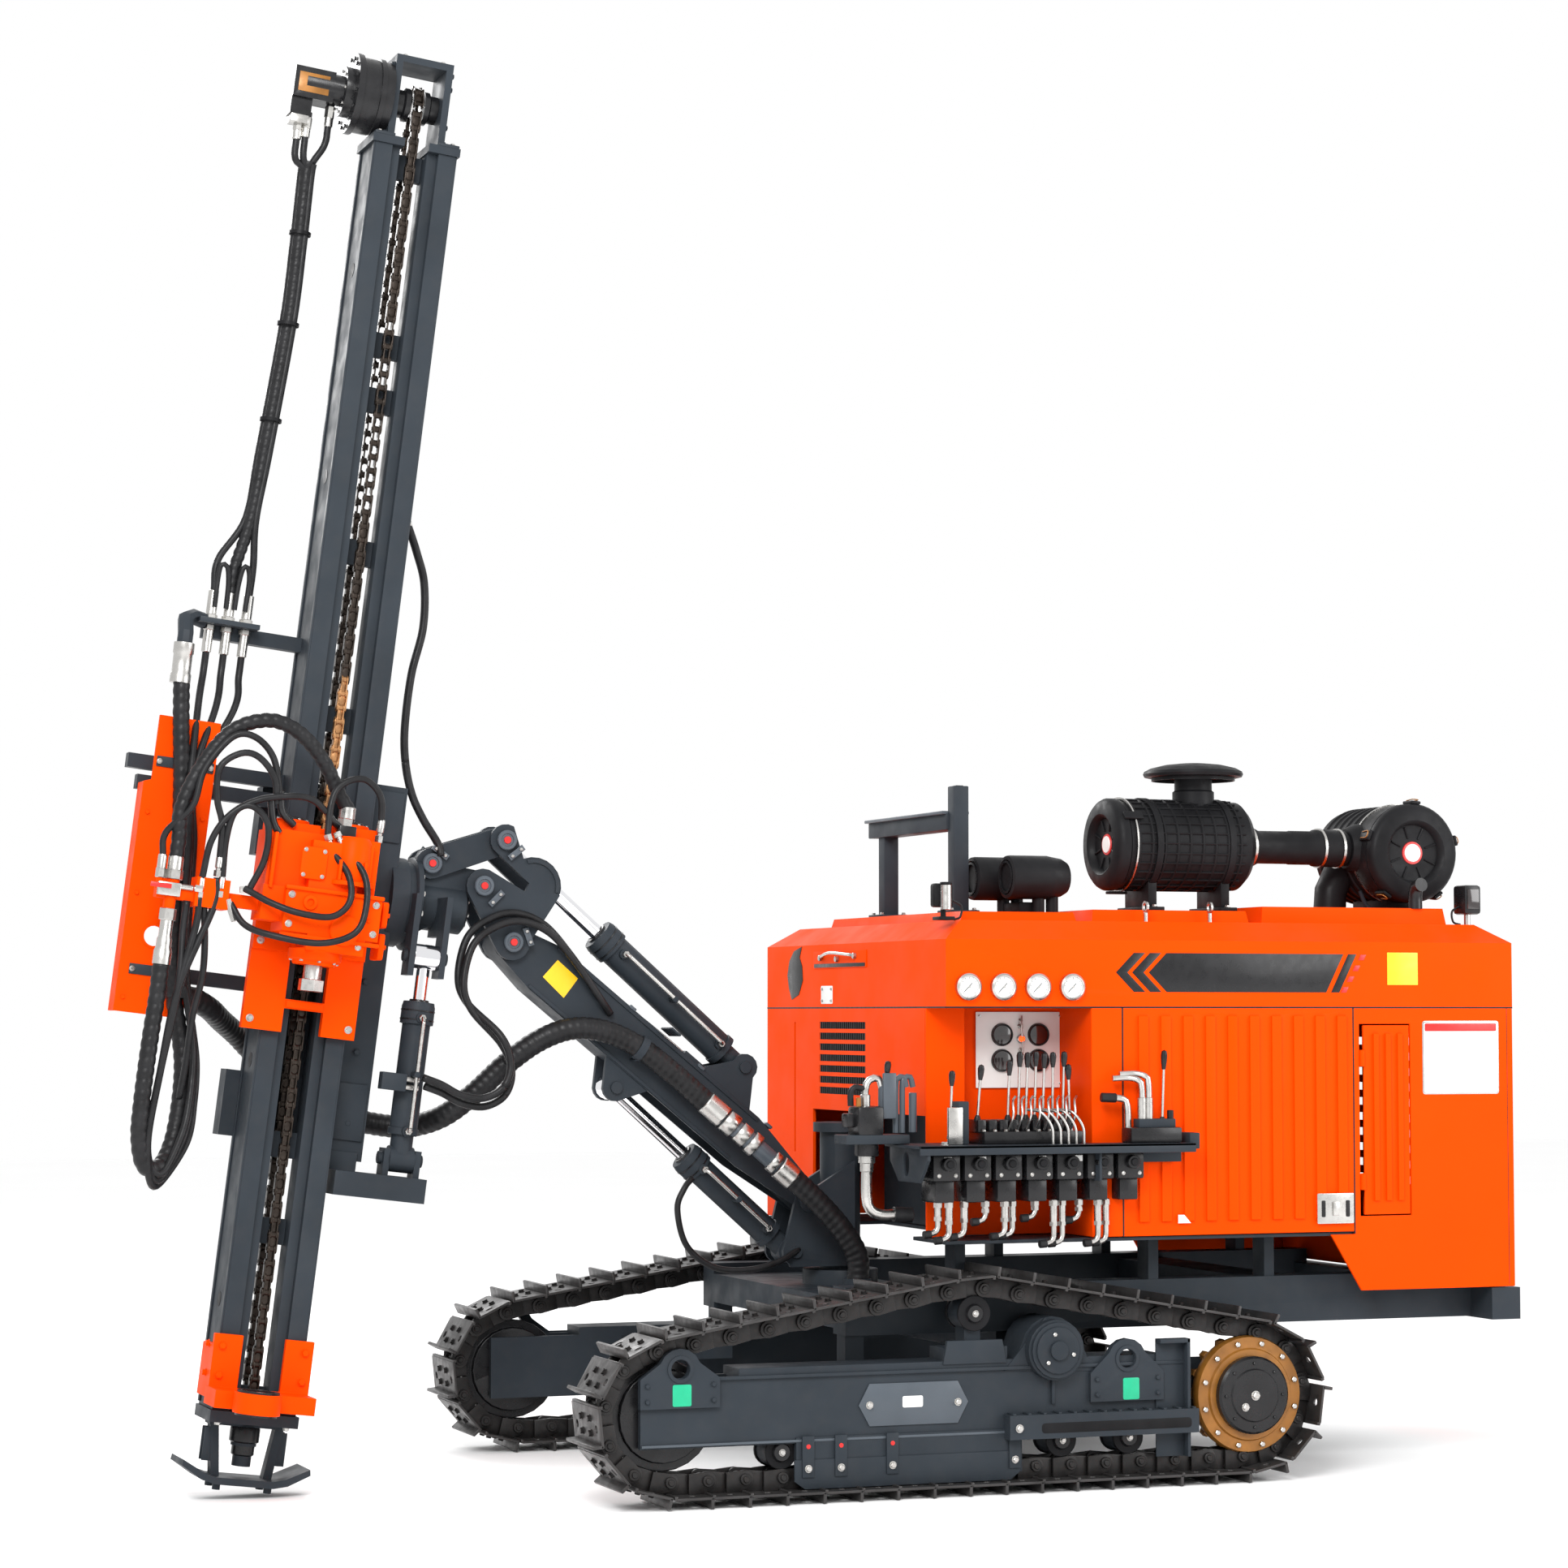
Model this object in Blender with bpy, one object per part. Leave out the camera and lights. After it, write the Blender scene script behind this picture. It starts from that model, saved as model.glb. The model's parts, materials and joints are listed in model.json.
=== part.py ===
# Crawler-mounted down-the-hole drilling rig.
# Metres, +Z up, +X towards the mast, +Y towards the control bench, tracks standing on Z = 0.
import bpy
import bmesh
import math
from mathutils import Matrix, Vector

SEAT = 0.0003        # gap that two touching pieces keep
RUN = 0.001          # clearance of a pin in its bore
CENTRE_X = 0.245     # middle of the rig's length, measured from the middle of its tracks

# Tracks and their frames
HOUSE_HALF = 0.90
BEAM_OUT = HOUSE_HALF - 0.15
SHOE_WIDTH = 0.30
TRACK_Y = BEAM_OUT + SHOE_WIDTH / 2
LINK_WIDTH = 0.12
WHEEL_Z = 0.305
IDLER_X = 1.055
SPROCKET_X = -1.14
CHAIN_RADIUS = 0.22
LINK_HALF = 0.03
SHOE_PITCH = 0.135
SHOE_RISE = 0.043
SHOE_FACE = 0.052
GROUSER_RISE = 0.085
GROUSER_FRONT = 0.006    # from the shoe's front pin
GROUSER_REAR = 0.018
CARRIER_X = -0.079
CARRIER_Z = 0.62
CARRIER_RADIUS = 0.058
ROLLER_RADIUS = 0.053
FRAME_HALF = 0.08
FRAME_LOW = 0.20
FRAME_HIGH = 0.46
CHEEK = 0.024
PIVOT_X = -0.366
PIVOT_Z = 0.489

# Chassis
BEAM_IN = BEAM_OUT - 0.12
BEAM_LOW = 0.537
BEAM_HIGH = 0.705
REAR_X = -2.31
DECK_LOW = 0.855
DECK_HIGH = 0.868

# Machinery house
HOUSE_REAR = -2.29
HOUSE_LOW = DECK_HIGH + 0.002
PANEL_HEIGHT = 0.815
HOOD_WALL = 0.24
HOOD_SLOPE = 0.07
SEAM_Z = HOUSE_LOW + PANEL_HEIGHT
HOOD_EAVE = SEAM_Z + HOOD_WALL
HOOD_TOP = HOOD_EAVE + HOOD_SLOPE
GAUGE_Z = SEAM_Z + 0.072
GAUGE_RADIUS = 0.045
GAUGES_X = (-0.082, -0.216, -0.350, -0.484)
POST_Y = HOUSE_HALF - 0.18       # corner post beside the recess
RECESS_Y = HOUSE_HALF - 0.28     # back wall of the recess
GRILLE_PITCH = 0.041
NICHE_TOP = 1.30
HOOD_INSET = 0.10
SHEET = 0.012
RECESS_REAR = -0.563
DOOR_FRONT = -0.685
DOOR_REAR = -1.618
DOOR_GAP = 0.005
FLUTE = 0.010
HINGE_RADIUS = 0.0107
SERVICE_DOOR = (-1.85, -1.66, HOUSE_LOW + 0.06, SEAM_Z - 0.065)    # x from, x to, bottom, top

# Control bench
BENCH_Z = 1.195
# name, x from, x to, y from, y to, height of the valve block, levers, their pitch
LEVER_ROWS = (
    ("levers_main", -0.50, -0.05, HOUSE_HALF - 0.05, HOUSE_HALF + 0.07, 0.055, 8, 0.055),
    ("levers_rear", -0.86, -0.66, HOUSE_HALF + 0.035, HOUSE_HALF + 0.12, 0.09, 3, 0.06),
)
LEVER_TOP = 1.53

# Boom and its linkage, in the vertical plane Y = 0
POST_X = 0.046
POST_RADIUS = 0.075
BOOM_FOOT = (0.20, 0.98)
BOOM_TIP = (1.346, 1.918)
LIFT_FOOT = (0.26, 0.79)
LIFT_EAR = (0.944, 1.395)
PITCH_FOOT = (0.448, 1.466)
ROD_PIN = (1.372, 2.284)
HEAD_PIN = (1.456, 2.119)
LINK_PIN = (1.640, 2.198)
BOOM_HALF = 0.075
CHANNEL_HALF = 0.0645    # channel under the boom
CHANNEL_ROOF = -0.045
CHEEK_IN = 0.082
CHEEK_OUT = 0.102
EYE_HALF = 0.045
EAR_OUT = 0.068
PIN_RADIUS = 0.022
EYE_RADIUS = 0.046

# Mast, in its own frame: x forwards, y sideways, z up the mast, origin level with the swing shaft
MAST_ORIGIN = (2.0835, 0.0, 2.1006)
MAST_LEAN = math.radians(7.0)
RAIL_OUT = 0.147
RAIL_IN = 0.085
LIP_IN = 0.050
RAIL_BACK = 0.03
RAIL_FRONT = 0.25
MAST_TOP = 2.66
MAST_FOOT = -1.83
FOOT_LOW = -2.071
SHAFT_FACE = -0.345
SHAFT_REAR = -0.56
SWING_X = -0.42
SWING_Y = 0.17
SWING_EYE_Z = -0.19
SWING_FOOT_Z = -0.905
BRACKET_IN = 0.08
BRACKET_OUT = 0.105
BRACKET_TOP = 2.985
FEED_Y = 0.14
CHAIN_PITCH = 0.10       # two links
FEED_Z = 2.83
SPINDLE_X = 0.045
SPINDLE_Y = 0.47

# Hoses. Routes are x, y, z: the first four in the mast's frame, the air hose's in the machine's.
PORT_PLATE = (0.868, 0.885)      # plate that carries the hose fittings
PORT_TOP = 0.99
PORTS_X = (0.356, 0.420, 0.482)
HEAD_TOP = 0.205
ARM_Y = 0.45
ARM_TOP = 0.026
ARCH_X = 0.556
TRAY_Y = 0.1997
HOSE_STEP = 2.6
FEED_HOSE_Y = 0.11
FEED_HOSE_RADIUS = 0.023
TRAY_HOSE_RADIUS = 0.030
ARCH_HOSE_RADIUS = 0.026
AIR_HOSE_RADIUS = 0.041
MOTOR_PORTS = ((0.408, 2.655), (0.378, 2.668), (0.302, 2.722))    # x, height
FEED_ROUTE = [(0.352, 0.13, 2.56), (0.352, 0.12, 2.50), (0.345, 0.11, 2.25), (0.345, 0.11, 1.97), (0.370, 0.11, 1.50),
              (0.386, 0.11, 1.26), (PORTS_X[1], FEED_HOSE_Y, 1.08), (PORTS_X[1], FEED_HOSE_Y, PORT_TOP)]
ELBOW = [(0.50, 0.11, 0.877), (0.545, 0.12, 0.885), (0.58, 0.175, 0.865), (0.584, 0.232, 0.81), (0.584, 0.232, 0.775)]
TRAY_ROUTE = [(0.584, 0.232, 0.775), (0.584, 0.232, 0.71), (0.572, 0.236, 0.60), (0.557, 0.236, 0.48),
              (0.533, 0.236, 0.31), (0.510, 0.236, 0.09), (0.497, 0.236, -0.12), (0.484, 0.236, -0.30), (0.461, 0.238, -0.44)]
LOOP_ROUTE = [(0.430, 0.245, -0.55), (0.407, 0.26, -0.66), (0.404, 0.29, -0.79), (0.420, 0.33, -0.93), (0.461, 0.38, -1.015),
              (0.520, 0.42, -1.02), (0.556, 0.445, -0.93), (0.566, 0.46, -0.81), (0.566, 0.46, -0.62), (0.562, 0.46, -0.46),
              (0.562, 0.46, -0.343)]
ARCH_ROUTE = [(ARCH_X, ARM_Y, ARM_TOP), (ARCH_X, ARM_Y, 0.09), (0.562, 0.455, 0.19), (0.515, 0.455, 0.335), (0.423, 0.45, 0.475),
              (0.303, 0.45, 0.53), (0.195, 0.45, 0.505), (0.095, 0.445, 0.42), (0.02, 0.435, 0.31), (-0.015, 0.43, 0.265), (-0.015, 0.43, HEAD_TOP)]
AIR_ROUTE = [(2.5448, 0.145, 1.7191), (2.5118, 0.145, 1.7150), (2.44, 0.09, 1.68), (2.38, 0.0, 1.64), (2.303, -0.09, 1.588), (2.225, -0.13, 1.515), (2.10, -0.15, 1.40),
             (1.98, -0.155, 1.325), (1.85, -0.15, 1.28), (1.70, -0.10, 1.258), (1.588, 0.0, 1.29), (1.478, 0.055, 1.374),
             (1.366, 0.09, 1.482), (1.250, 0.12, 1.567), (1.129, 0.135, 1.609), (1.002, 0.138, 1.597), (0.874, 0.14, 1.538),
             (0.747, 0.145, 1.443), (0.647, 0.155, 1.357), (0.566, 0.17, 1.285), (0.488, 0.195, 1.205), (0.370, 0.22, 1.107),
             (0.251, 0.245, 1.0), (0.15, 0.26, 0.89), (0.085, 0.27, 0.78), (0.085, 0.27, 0.665)]
# name, body, first and last of the route's points
AIR_HOSES = (
    ("air_hose_mast", "cradle", 0, 7),
    ("air_hose_head", "knuckle", 7, 10),
    ("air_hose_boom", "boom", 10, 19),
    ("air_hose_swing", "swing", 19, 21),
    ("air_hose_rear", "chassis", 21, -1),
)

ORANGE = ("orange_paint", (0.95, 0.13, 0.004), 0.35, 0.0)
GREY = ("grey_paint", (0.045, 0.056, 0.068), 0.45, 0.1)
BLACK = ("black_plastic", (0.012, 0.012, 0.013), 0.5, 0.0)
RUBBER = ("hose_rubber", (0.012, 0.012, 0.013), 0.55, 0.0)
IRON = ("black_metal", (0.015, 0.015, 0.016), 0.5, 0.2)
STEEL = ("track_steel", (0.03, 0.03, 0.032), 0.55, 0.6)
CHROME = ("chrome", (0.8, 0.8, 0.82), 0.12, 1.0)
OCHRE = ("ochre_paint", (0.45, 0.20, 0.03), 0.5, 0.1)

STRAIGHT = Matrix.Identity(4)


def start_scene():
    for item in list(bpy.data.objects):
        bpy.data.objects.remove(item, do_unlink=True)
    rig = bpy.data.collections.new("drilling_rig")
    work = bpy.data.collections.new("workings")
    bpy.context.scene.collection.children.link(rig)
    bpy.context.scene.collection.children.link(work)
    return rig, work


RIG, WORK = start_scene()


def material(kind):
    name, colour, roughness, metallic = kind
    made = bpy.data.materials.get(name) or bpy.data.materials.new(name)
    made.use_nodes = True
    shader = made.node_tree.nodes["Principled BSDF"]
    shader.inputs["Base Color"].default_value = (*colour, 1.0)
    shader.inputs["Roughness"].default_value = roughness
    shader.inputs["Metallic"].default_value = metallic
    return made


def piece(bm, frame=STRAIGHT):
    """A loose shape in the workings, placed by a frame."""
    mesh = bpy.data.meshes.new("shape")
    bm.transform(frame)
    bmesh.ops.recalc_face_normals(bm, faces=bm.faces)
    if bm.calc_volume(signed=True) < 0:
        bmesh.ops.reverse_faces(bm, faces=bm.faces)
    bm.to_mesh(mesh)
    bm.free()
    shape = bpy.data.objects.new("shape", mesh)
    WORK.objects.link(shape)
    return shape


def box(x0, x1, y0, y1, z0, z1, frame=STRAIGHT, inset=0.0):
    """A box between limits; inset narrows its top on all four sides."""
    bm = bmesh.new()
    bmesh.ops.create_cube(bm, size=1.0)
    for vert in bm.verts:
        top = inset if vert.co.z > 0 else 0.0
        vert.co.x = x1 - top if vert.co.x > 0 else x0 + top
        vert.co.y = y1 - top if vert.co.y > 0 else y0 + top
        vert.co.z = z1 if vert.co.z > 0 else z0
    return piece(bm, frame)


def bar(a, b, radius, frame=STRAIGHT, end_radius=None, sides=16):
    """A round bar or cone from point a to point b."""
    a, b = Vector(a), Vector(b)
    bm = bmesh.new()
    tip = radius if end_radius is None else end_radius
    bmesh.ops.create_cone(bm, cap_ends=True, segments=sides, radius1=radius, radius2=tip, depth=(b - a).length)
    turn = (b - a).to_track_quat("Z", "Y").to_matrix().to_4x4()
    return piece(bm, frame @ Matrix.Translation((a + b) / 2) @ turn)


def outline_solid(points, low, high, frame=STRAIGHT):
    """A flat outline in the frame's XY plane, as thick as low to high along its Z."""
    curve = bpy.data.curves.new("outline", "CURVE")
    curve.dimensions = "2D"
    curve.fill_mode = "BOTH"
    curve.extrude = (high - low) / 2
    spline = curve.splines.new("POLY")
    spline.points.add(len(points) - 1)
    for point, (x, y) in zip(spline.points, points):
        point.co = (x, y, 0, 1)
    spline.use_cyclic_u = True
    shape = bpy.data.objects.new("outline", curve)
    WORK.objects.link(shape)
    graph = bpy.context.evaluated_depsgraph_get()
    mesh = bpy.data.meshes.new_from_object(shape.evaluated_get(graph))
    bpy.data.objects.remove(shape)
    bm = bmesh.new()
    bm.from_mesh(mesh)
    bmesh.ops.remove_doubles(bm, verts=bm.verts, dist=0.00005)
    bm.transform(Matrix.Translation((0, 0, (low + high) / 2)))
    return piece(bm, frame)


UPRIGHT = Matrix(((1, 0, 0, 0), (0, 0, 1, 0), (0, 1, 0, 0), (0, 0, 0, 1)))


def side_plate(points, y0, y1, frame=STRAIGHT):
    """An outline drawn in the XZ plane, between two values of Y."""
    bm = bmesh.new()
    solid = outline_solid(points, y0, y1)
    bm.from_mesh(solid.data)
    bpy.data.objects.remove(solid)
    bm.transform(UPRIGHT)
    return piece(bm, frame)


def arc(cx, cy, radius, start, end, steps):
    """Points along an arc, from one angle in degrees to another."""
    angles = [math.radians(start + (end - start) * i / steps) for i in range(steps + 1)]
    return [(cx + radius * math.cos(a), cy + radius * math.sin(a)) for a in angles]


def strip(points, thickness):
    """The outline of a sheet folded along points, lying on their right-hand side."""
    inner = []
    for i, here in enumerate(points):
        here = Vector(here)
        before = Vector(points[i - 1]) if i else None
        after = Vector(points[i + 1]) if i + 1 < len(points) else None
        normals = []
        for a, b in ((before, here), (here, after)):
            if a is not None and b is not None:
                run = (b - a).normalized()
                normals.append(Vector((run.y, -run.x)))
        bend = sum(normals, Vector((0, 0))).normalized()
        inner.append(tuple(here + bend * (thickness / bend.dot(normals[0]))))
    return list(points) + inner[::-1]


def combine(target, others, operation):
    group = bpy.data.collections.new("operands")
    bpy.context.scene.collection.children.link(group)
    for shape in others:
        WORK.objects.unlink(shape)
        group.objects.link(shape)
    boolean = target.modifiers.new("boolean", "BOOLEAN")
    boolean.operation = operation
    boolean.solver = "EXACT"
    boolean.operand_type = "COLLECTION"
    boolean.collection = group
    graph = bpy.context.evaluated_depsgraph_get()
    mesh = bpy.data.meshes.new_from_object(target.evaluated_get(graph))
    target.modifiers.clear()
    target.data = mesh
    for shape in others:
        bpy.data.objects.remove(shape)
    bpy.data.collections.remove(group)
    return target


def fuse(*shapes):
    return combine(shapes[0], shapes[1:], "UNION") if len(shapes) > 1 else shapes[0]


def cut(shape, *cutters):
    return combine(shape, cutters, "DIFFERENCE")


BODIES = {}


def body(name, pivot, parent=None):
    """An empty at a joint, which carries the nodes of one moving body."""
    empty = bpy.data.objects.new(name + "_axis", None)
    RIG.objects.link(empty)
    carrier = BODIES.get(parent)
    empty.parent = carrier[0] if carrier else None
    empty.location = Vector(pivot) - (carrier[1] if carrier else Vector((0, 0, 0)))
    BODIES[name] = (empty, Vector(pivot))


def node(name, on, kind, shape, frame=STRAIGHT):
    """Turns a finished shape, placed by a frame, into a named sub-part of a body."""
    empty, pivot = BODIES[on]
    bm = bmesh.new()
    bm.from_mesh(shape.data)
    bmesh.ops.dissolve_limit(bm, angle_limit=0.001, verts=bm.verts, edges=bm.edges)
    bm.transform(Matrix.Translation(-pivot) @ frame)
    bm.to_mesh(shape.data)
    bm.free()
    shape.name = name
    shape.data.name = name
    shape.data.materials.clear()
    shape.data.materials.append(material(kind))
    shape.data.shade_smooth()
    shape.data.set_sharp_from_angle(angle=math.radians(35))
    WORK.objects.unlink(shape)
    RIG.objects.link(shape)
    shape.parent = empty


def belt(circles, offset, arc_step=12.0):
    """The outline of a belt round circles (x, z, radius) listed anticlockwise."""
    points = []
    count = len(circles)
    for i in range(count):
        arrive = tangent_angle(circles[i - 1], circles[i])
        leave = tangent_angle(circles[i], circles[(i + 1) % count])
        x, z, radius = circles[i]
        turn = (leave - arrive) % (2 * math.pi)
        steps = max(2, round(turn / math.radians(arc_step)))
        for step in range(steps + 1):
            angle = arrive + turn * step / steps
            points.append((x + (radius + offset) * math.cos(angle), z + (radius + offset) * math.sin(angle)))
    return points


def tangent_angle(a, b):
    """The direction in which the outer tangent of two circles touches them."""
    dx, dz = b[0] - a[0], b[1] - a[1]
    return math.atan2(dz, dx) - math.acos((a[2] - b[2]) / math.hypot(dx, dz))


# Tracks

TRACK_CIRCLES = (
    (SPROCKET_X, WHEEL_Z, CHAIN_RADIUS),
    (IDLER_X, WHEEL_Z, CHAIN_RADIUS),
    (CARRIER_X, CARRIER_Z, CARRIER_RADIUS + LINK_HALF + 0.002),
)


def track_pins():
    """The chain's pins, evenly spaced along the belt's line."""
    line = [Vector(p) for p in belt(TRACK_CIRCLES, 0.0, 1.5)]
    closed = line + [line[0]]
    lengths = [0.0]
    for a, b in zip(closed, closed[1:]):
        lengths.append(lengths[-1] + (b - a).length)
    count = round(lengths[-1] / SHOE_PITCH)
    pins, at_point = [], 0
    for i in range(count):
        want = lengths[-1] * i / count
        while lengths[at_point + 1] < want:
            at_point += 1
        share = (want - lengths[at_point]) / (lengths[at_point + 1] - lengths[at_point])
        pins.append(closed[at_point].lerp(closed[at_point + 1], share))
    return pins


def shoe_outline():
    """The outside of all shoes: each is flat, with one grouser behind its front pin."""
    points = []
    pins = track_pins()
    for a, b in zip(pins, pins[1:] + pins[:1]):
        run = (b - a).normalized()
        out = Vector((run.y, -run.x))
        for along, rise in ((GROUSER_FRONT, SHOE_FACE), (GROUSER_FRONT, GROUSER_RISE), (GROUSER_REAR, GROUSER_RISE),
                            (GROUSER_REAR, SHOE_FACE), ((b - a).length, SHOE_FACE)):
            points.append(tuple(a + run * along + out * rise))
    return points


def loop_at(bm, points, y):
    return [bm.verts.new((x, y, z)) for x, z in points]


def wall(bm, near, far):
    """Faces between two loops of as many points."""
    for i in range(len(near)):
        bm.faces.new((near[i - 1], near[i], far[i], far[i - 1]))


def rim(bm, outer, inner):
    """Flat faces between two loops in one plane."""
    edges = [bm.edges.get((loop[i - 1], loop[i])) for loop in (outer, inner) for i in range(len(loop))]
    bmesh.ops.triangle_fill(bm, edges=edges, use_beauty=True, normal=(0, 1, 0))


def build_track(name, side):
    """Shoes all round on a narrower band of links: one closed body."""
    bm = bmesh.new()
    half_link, half_shoe = LINK_WIDTH / 2, SHOE_WIDTH / 2
    seam, hollow = belt(TRACK_CIRCLES, SHOE_RISE - 0.012), belt(TRACK_CIRCLES, -LINK_HALF)
    shoes = [loop_at(bm, shoe_outline(), side * (TRACK_Y + y)) for y in (-half_shoe, half_shoe)]
    seams = [loop_at(bm, seam, side * (TRACK_Y + y)) for y in (-half_shoe, -half_link, half_link, half_shoe)]
    links = [loop_at(bm, hollow, side * (TRACK_Y + y)) for y in (-half_link, half_link)]
    walls = ((shoes[0], shoes[1]), (seams[0], seams[1]), (seams[1], links[0]), (links[0], links[1]),
             (links[1], seams[2]), (seams[2], seams[3]))
    for near, far in walls:
        wall(bm, near, far)
    rim(bm, shoes[0], seams[0])
    rim(bm, shoes[1], seams[3])
    node("track_" + name, "chassis", STEEL, piece(bm))


def build_idler(name, side):
    def wheel(y, radius, width):
        return bar((IDLER_X, side * (y - width / 2), WHEEL_Z), (IDLER_X, side * (y + width / 2), WHEEL_Z), radius, sides=24)
    tread = CHAIN_RADIUS - LINK_HALF - 0.002
    shape = fuse(wheel(TRACK_Y, tread, 0.044), wheel(TRACK_Y, tread - 0.03, 0.085), wheel(TRACK_Y, 0.05, 0.11))
    node("idler_" + name, "chassis", BLACK, shape)


def build_sprocket(name, side):
    def drum(y0, y1, radius, end=None):
        a, b = (SPROCKET_X, side * y0, WHEEL_Z), (SPROCKET_X, side * y1, WHEEL_Z)
        return bar(a, b, radius, end_radius=end, sides=24)
    tread = CHAIN_RADIUS - LINK_HALF - 0.002
    inner = TRACK_Y - FRAME_HALF + CHEEK + SEAT
    y = TRACK_Y
    flange, hub = tread - 0.023, tread - 0.05
    drive = fuse(drum(y - 0.02, y + 0.02, tread), drum(y, y + 0.072, flange), drum(y + 0.05, y + 0.10, hub),
                 drum(y + 0.09, y + 0.12, hub, hub - 0.013))
    node("sprocket_" + name, "chassis", OCHRE, fuse(drive, drum(inner, y - 0.01, hub - 0.018)))


# Bottom roller places along X
ROLLERS_X = (0.64, 0.36, 0.11, -0.15, -0.41, -0.67)


def build_track_frame(name, side):
    def block(x0, x1, y0, y1, z0, z1):
        return box(x0, x1, *sorted((side * y0, side * y1)), z0, z1)

    def across(x, z, radius, y0, y1, sides=16):
        return bar((x, side * y0, z), (x, side * y1, z), radius, sides=sides)

    def plate(points, y0, y1):
        return side_plate(points, *sorted((side * y0, side * y1)))

    inner, outer = TRACK_Y - FRAME_HALF, TRACK_Y + FRAME_HALF
    shapes = [block(-0.80, 0.80, inner, outer, FRAME_LOW, FRAME_HIGH)]
    # Cheeks carry the idler in front and the final drive behind.
    for y0, y1, front, rear in ((inner, inner + CHEEK, 1.152, -1.16), (outer - CHEEK, outer, 1.152, -0.907)):
        shapes.append(block(rear, front, y0, y1, FRAME_LOW, FRAME_HIGH - 0.03))
    shapes.append(across(IDLER_X, WHEEL_Z, 0.035, inner + 0.01, TRACK_Y - 0.055 - SEAT))
    shapes.append(across(IDLER_X, WHEEL_Z, 0.035, TRACK_Y + 0.055 + SEAT, outer - 0.01))
    shapes.append(across(SPROCKET_X, WHEEL_Z, 0.115, inner - 0.10, inner + 0.01))
    # Rollers hang in saddles under the beam, and one carries the upper run.
    roller_z = WHEEL_Z - CHAIN_RADIUS + LINK_HALF + ROLLER_RADIUS + 0.002
    for x in ROLLERS_X:
        shapes.append(across(x, roller_z, ROLLER_RADIUS, TRACK_Y - 0.05, TRACK_Y + 0.05, 16))
        shapes.append(block(x - 0.02, x + 0.02, TRACK_Y - 0.045, TRACK_Y + 0.045, roller_z, FRAME_LOW + 0.02))
    shapes.append(across(CARRIER_X, CARRIER_Z, CARRIER_RADIUS, TRACK_Y - 0.045, TRACK_Y + 0.045, 16))
    shapes.append(block(CARRIER_X - 0.03, CARRIER_X + 0.03, TRACK_Y - 0.04, TRACK_Y + 0.04, FRAME_HIGH - 0.02, CARRIER_Z))
    shapes.append(block(CARRIER_X - 0.12, CARRIER_X + 0.12, TRACK_Y - 0.06, outer - 0.01, FRAME_HIGH - 0.02, 0.505))
    # Lifting lugs, roller guard, step and pivot disc stand on the outer face.
    for x, low, high in ((1.016, 0.335, 0.536), (-0.649, 0.302, 0.52)):
        reach = 0.142
        points = [(x - reach, low), (x + reach, low), (x + reach, low + 0.10)]
        points += arc(x, high - 0.075, 0.075, 20, 160, 6) + [(x - reach, low + 0.10)]
        lug = plate(points, outer - 0.01, outer + 0.018)
        shapes.append(cut(lug, across(x, high - 0.07, 0.033, outer - 0.03, outer + 0.04, 16)))
    shapes.append(block(-0.246, 0.595, outer - 0.014, outer + 0.008, 0.072, FRAME_LOW + 0.02))
    shapes.append(block(-0.91, -0.179, outer - 0.01, outer + 0.058, 0.186, 0.27))
    shapes.append(across(PIVOT_X, PIVOT_Z, 0.097, outer - 0.03, outer + 0.05, 20))
    shapes.append(plate([(PIVOT_X - 0.16, FRAME_HIGH - 0.04), (PIVOT_X + 0.16, FRAME_HIGH - 0.04)]
                        + arc(PIVOT_X, PIVOT_Z, 0.115, 10, 170, 8), inner, outer - 0.005))
    node("track_frame_" + name, "chassis", GREY, fuse(*shapes))


# Chassis

def build_chassis():
    inner = TRACK_Y - FRAME_HALF
    shapes = [bar((PIVOT_X, SEAT - inner, PIVOT_Z), (PIVOT_X, inner - SEAT, PIVOT_Z), 0.06)]
    for side in (1, -1):
        low, high = sorted((side * BEAM_IN, side * BEAM_OUT))
        shapes.append(box(-2.25, 0.32, low, high, BEAM_LOW, BEAM_HIGH))
        for x in (-0.88, -1.35, -1.95, -0.12):
            shapes.append(box(x - 0.02, x + 0.02, low + 0.02, high - 0.01, BEAM_HIGH - 0.01, DECK_LOW - SEAT))
        low, high = sorted((side * (BEAM_IN - 0.01), side * (BEAM_IN + 0.07)))
        shapes.append(box(PIVOT_X - 0.09, PIVOT_X + 0.09, low, high, 0.40, BEAM_LOW + 0.02))
        low, high = sorted((side * (BEAM_IN + 0.02), side * (inner - SEAT)))
        shapes.append(box(0.55, 0.63, low, high, 0.34, 0.42))
        low, high = sorted((side * (BEAM_IN + 0.01), side * (BEAM_OUT - 0.03)))
        shapes.append(box(0.25, 0.63, low, high, 0.34, 0.42))
        shapes.append(box(0.24, 0.31, low, high, 0.34, BEAM_LOW + 0.02))
    shapes.append(box(REAR_X, -2.19, -HOUSE_HALF, HOUSE_HALF, 0.534, 0.651))
    cross = BEAM_IN + 0.01
    shapes.append(box(-0.16, 0.32, -cross, cross, BEAM_LOW + 0.02, BEAM_HIGH - 0.04))
    shapes.append(box(-1.60, -1.40, -cross, cross, BEAM_LOW + 0.02, BEAM_HIGH - 0.02))
    shapes.append(bar((POST_X, 0, 0.60), (POST_X, 0, 0.72 - SEAT), 0.14, sides=20))
    shapes.append(bar((POST_X, 0, 0.70), (POST_X, 0, 1.245), 0.035))
    shapes.append(bar((POST_X, 0, 1.2253), (POST_X, 0, 1.26), 0.10, sides=20))
    node("chassis_frame", "chassis", GREY, fuse(*shapes))


# Machinery house

def build_house():
    build_hood()
    build_front()
    build_sides()
    build_deck_and_engine()


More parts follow.
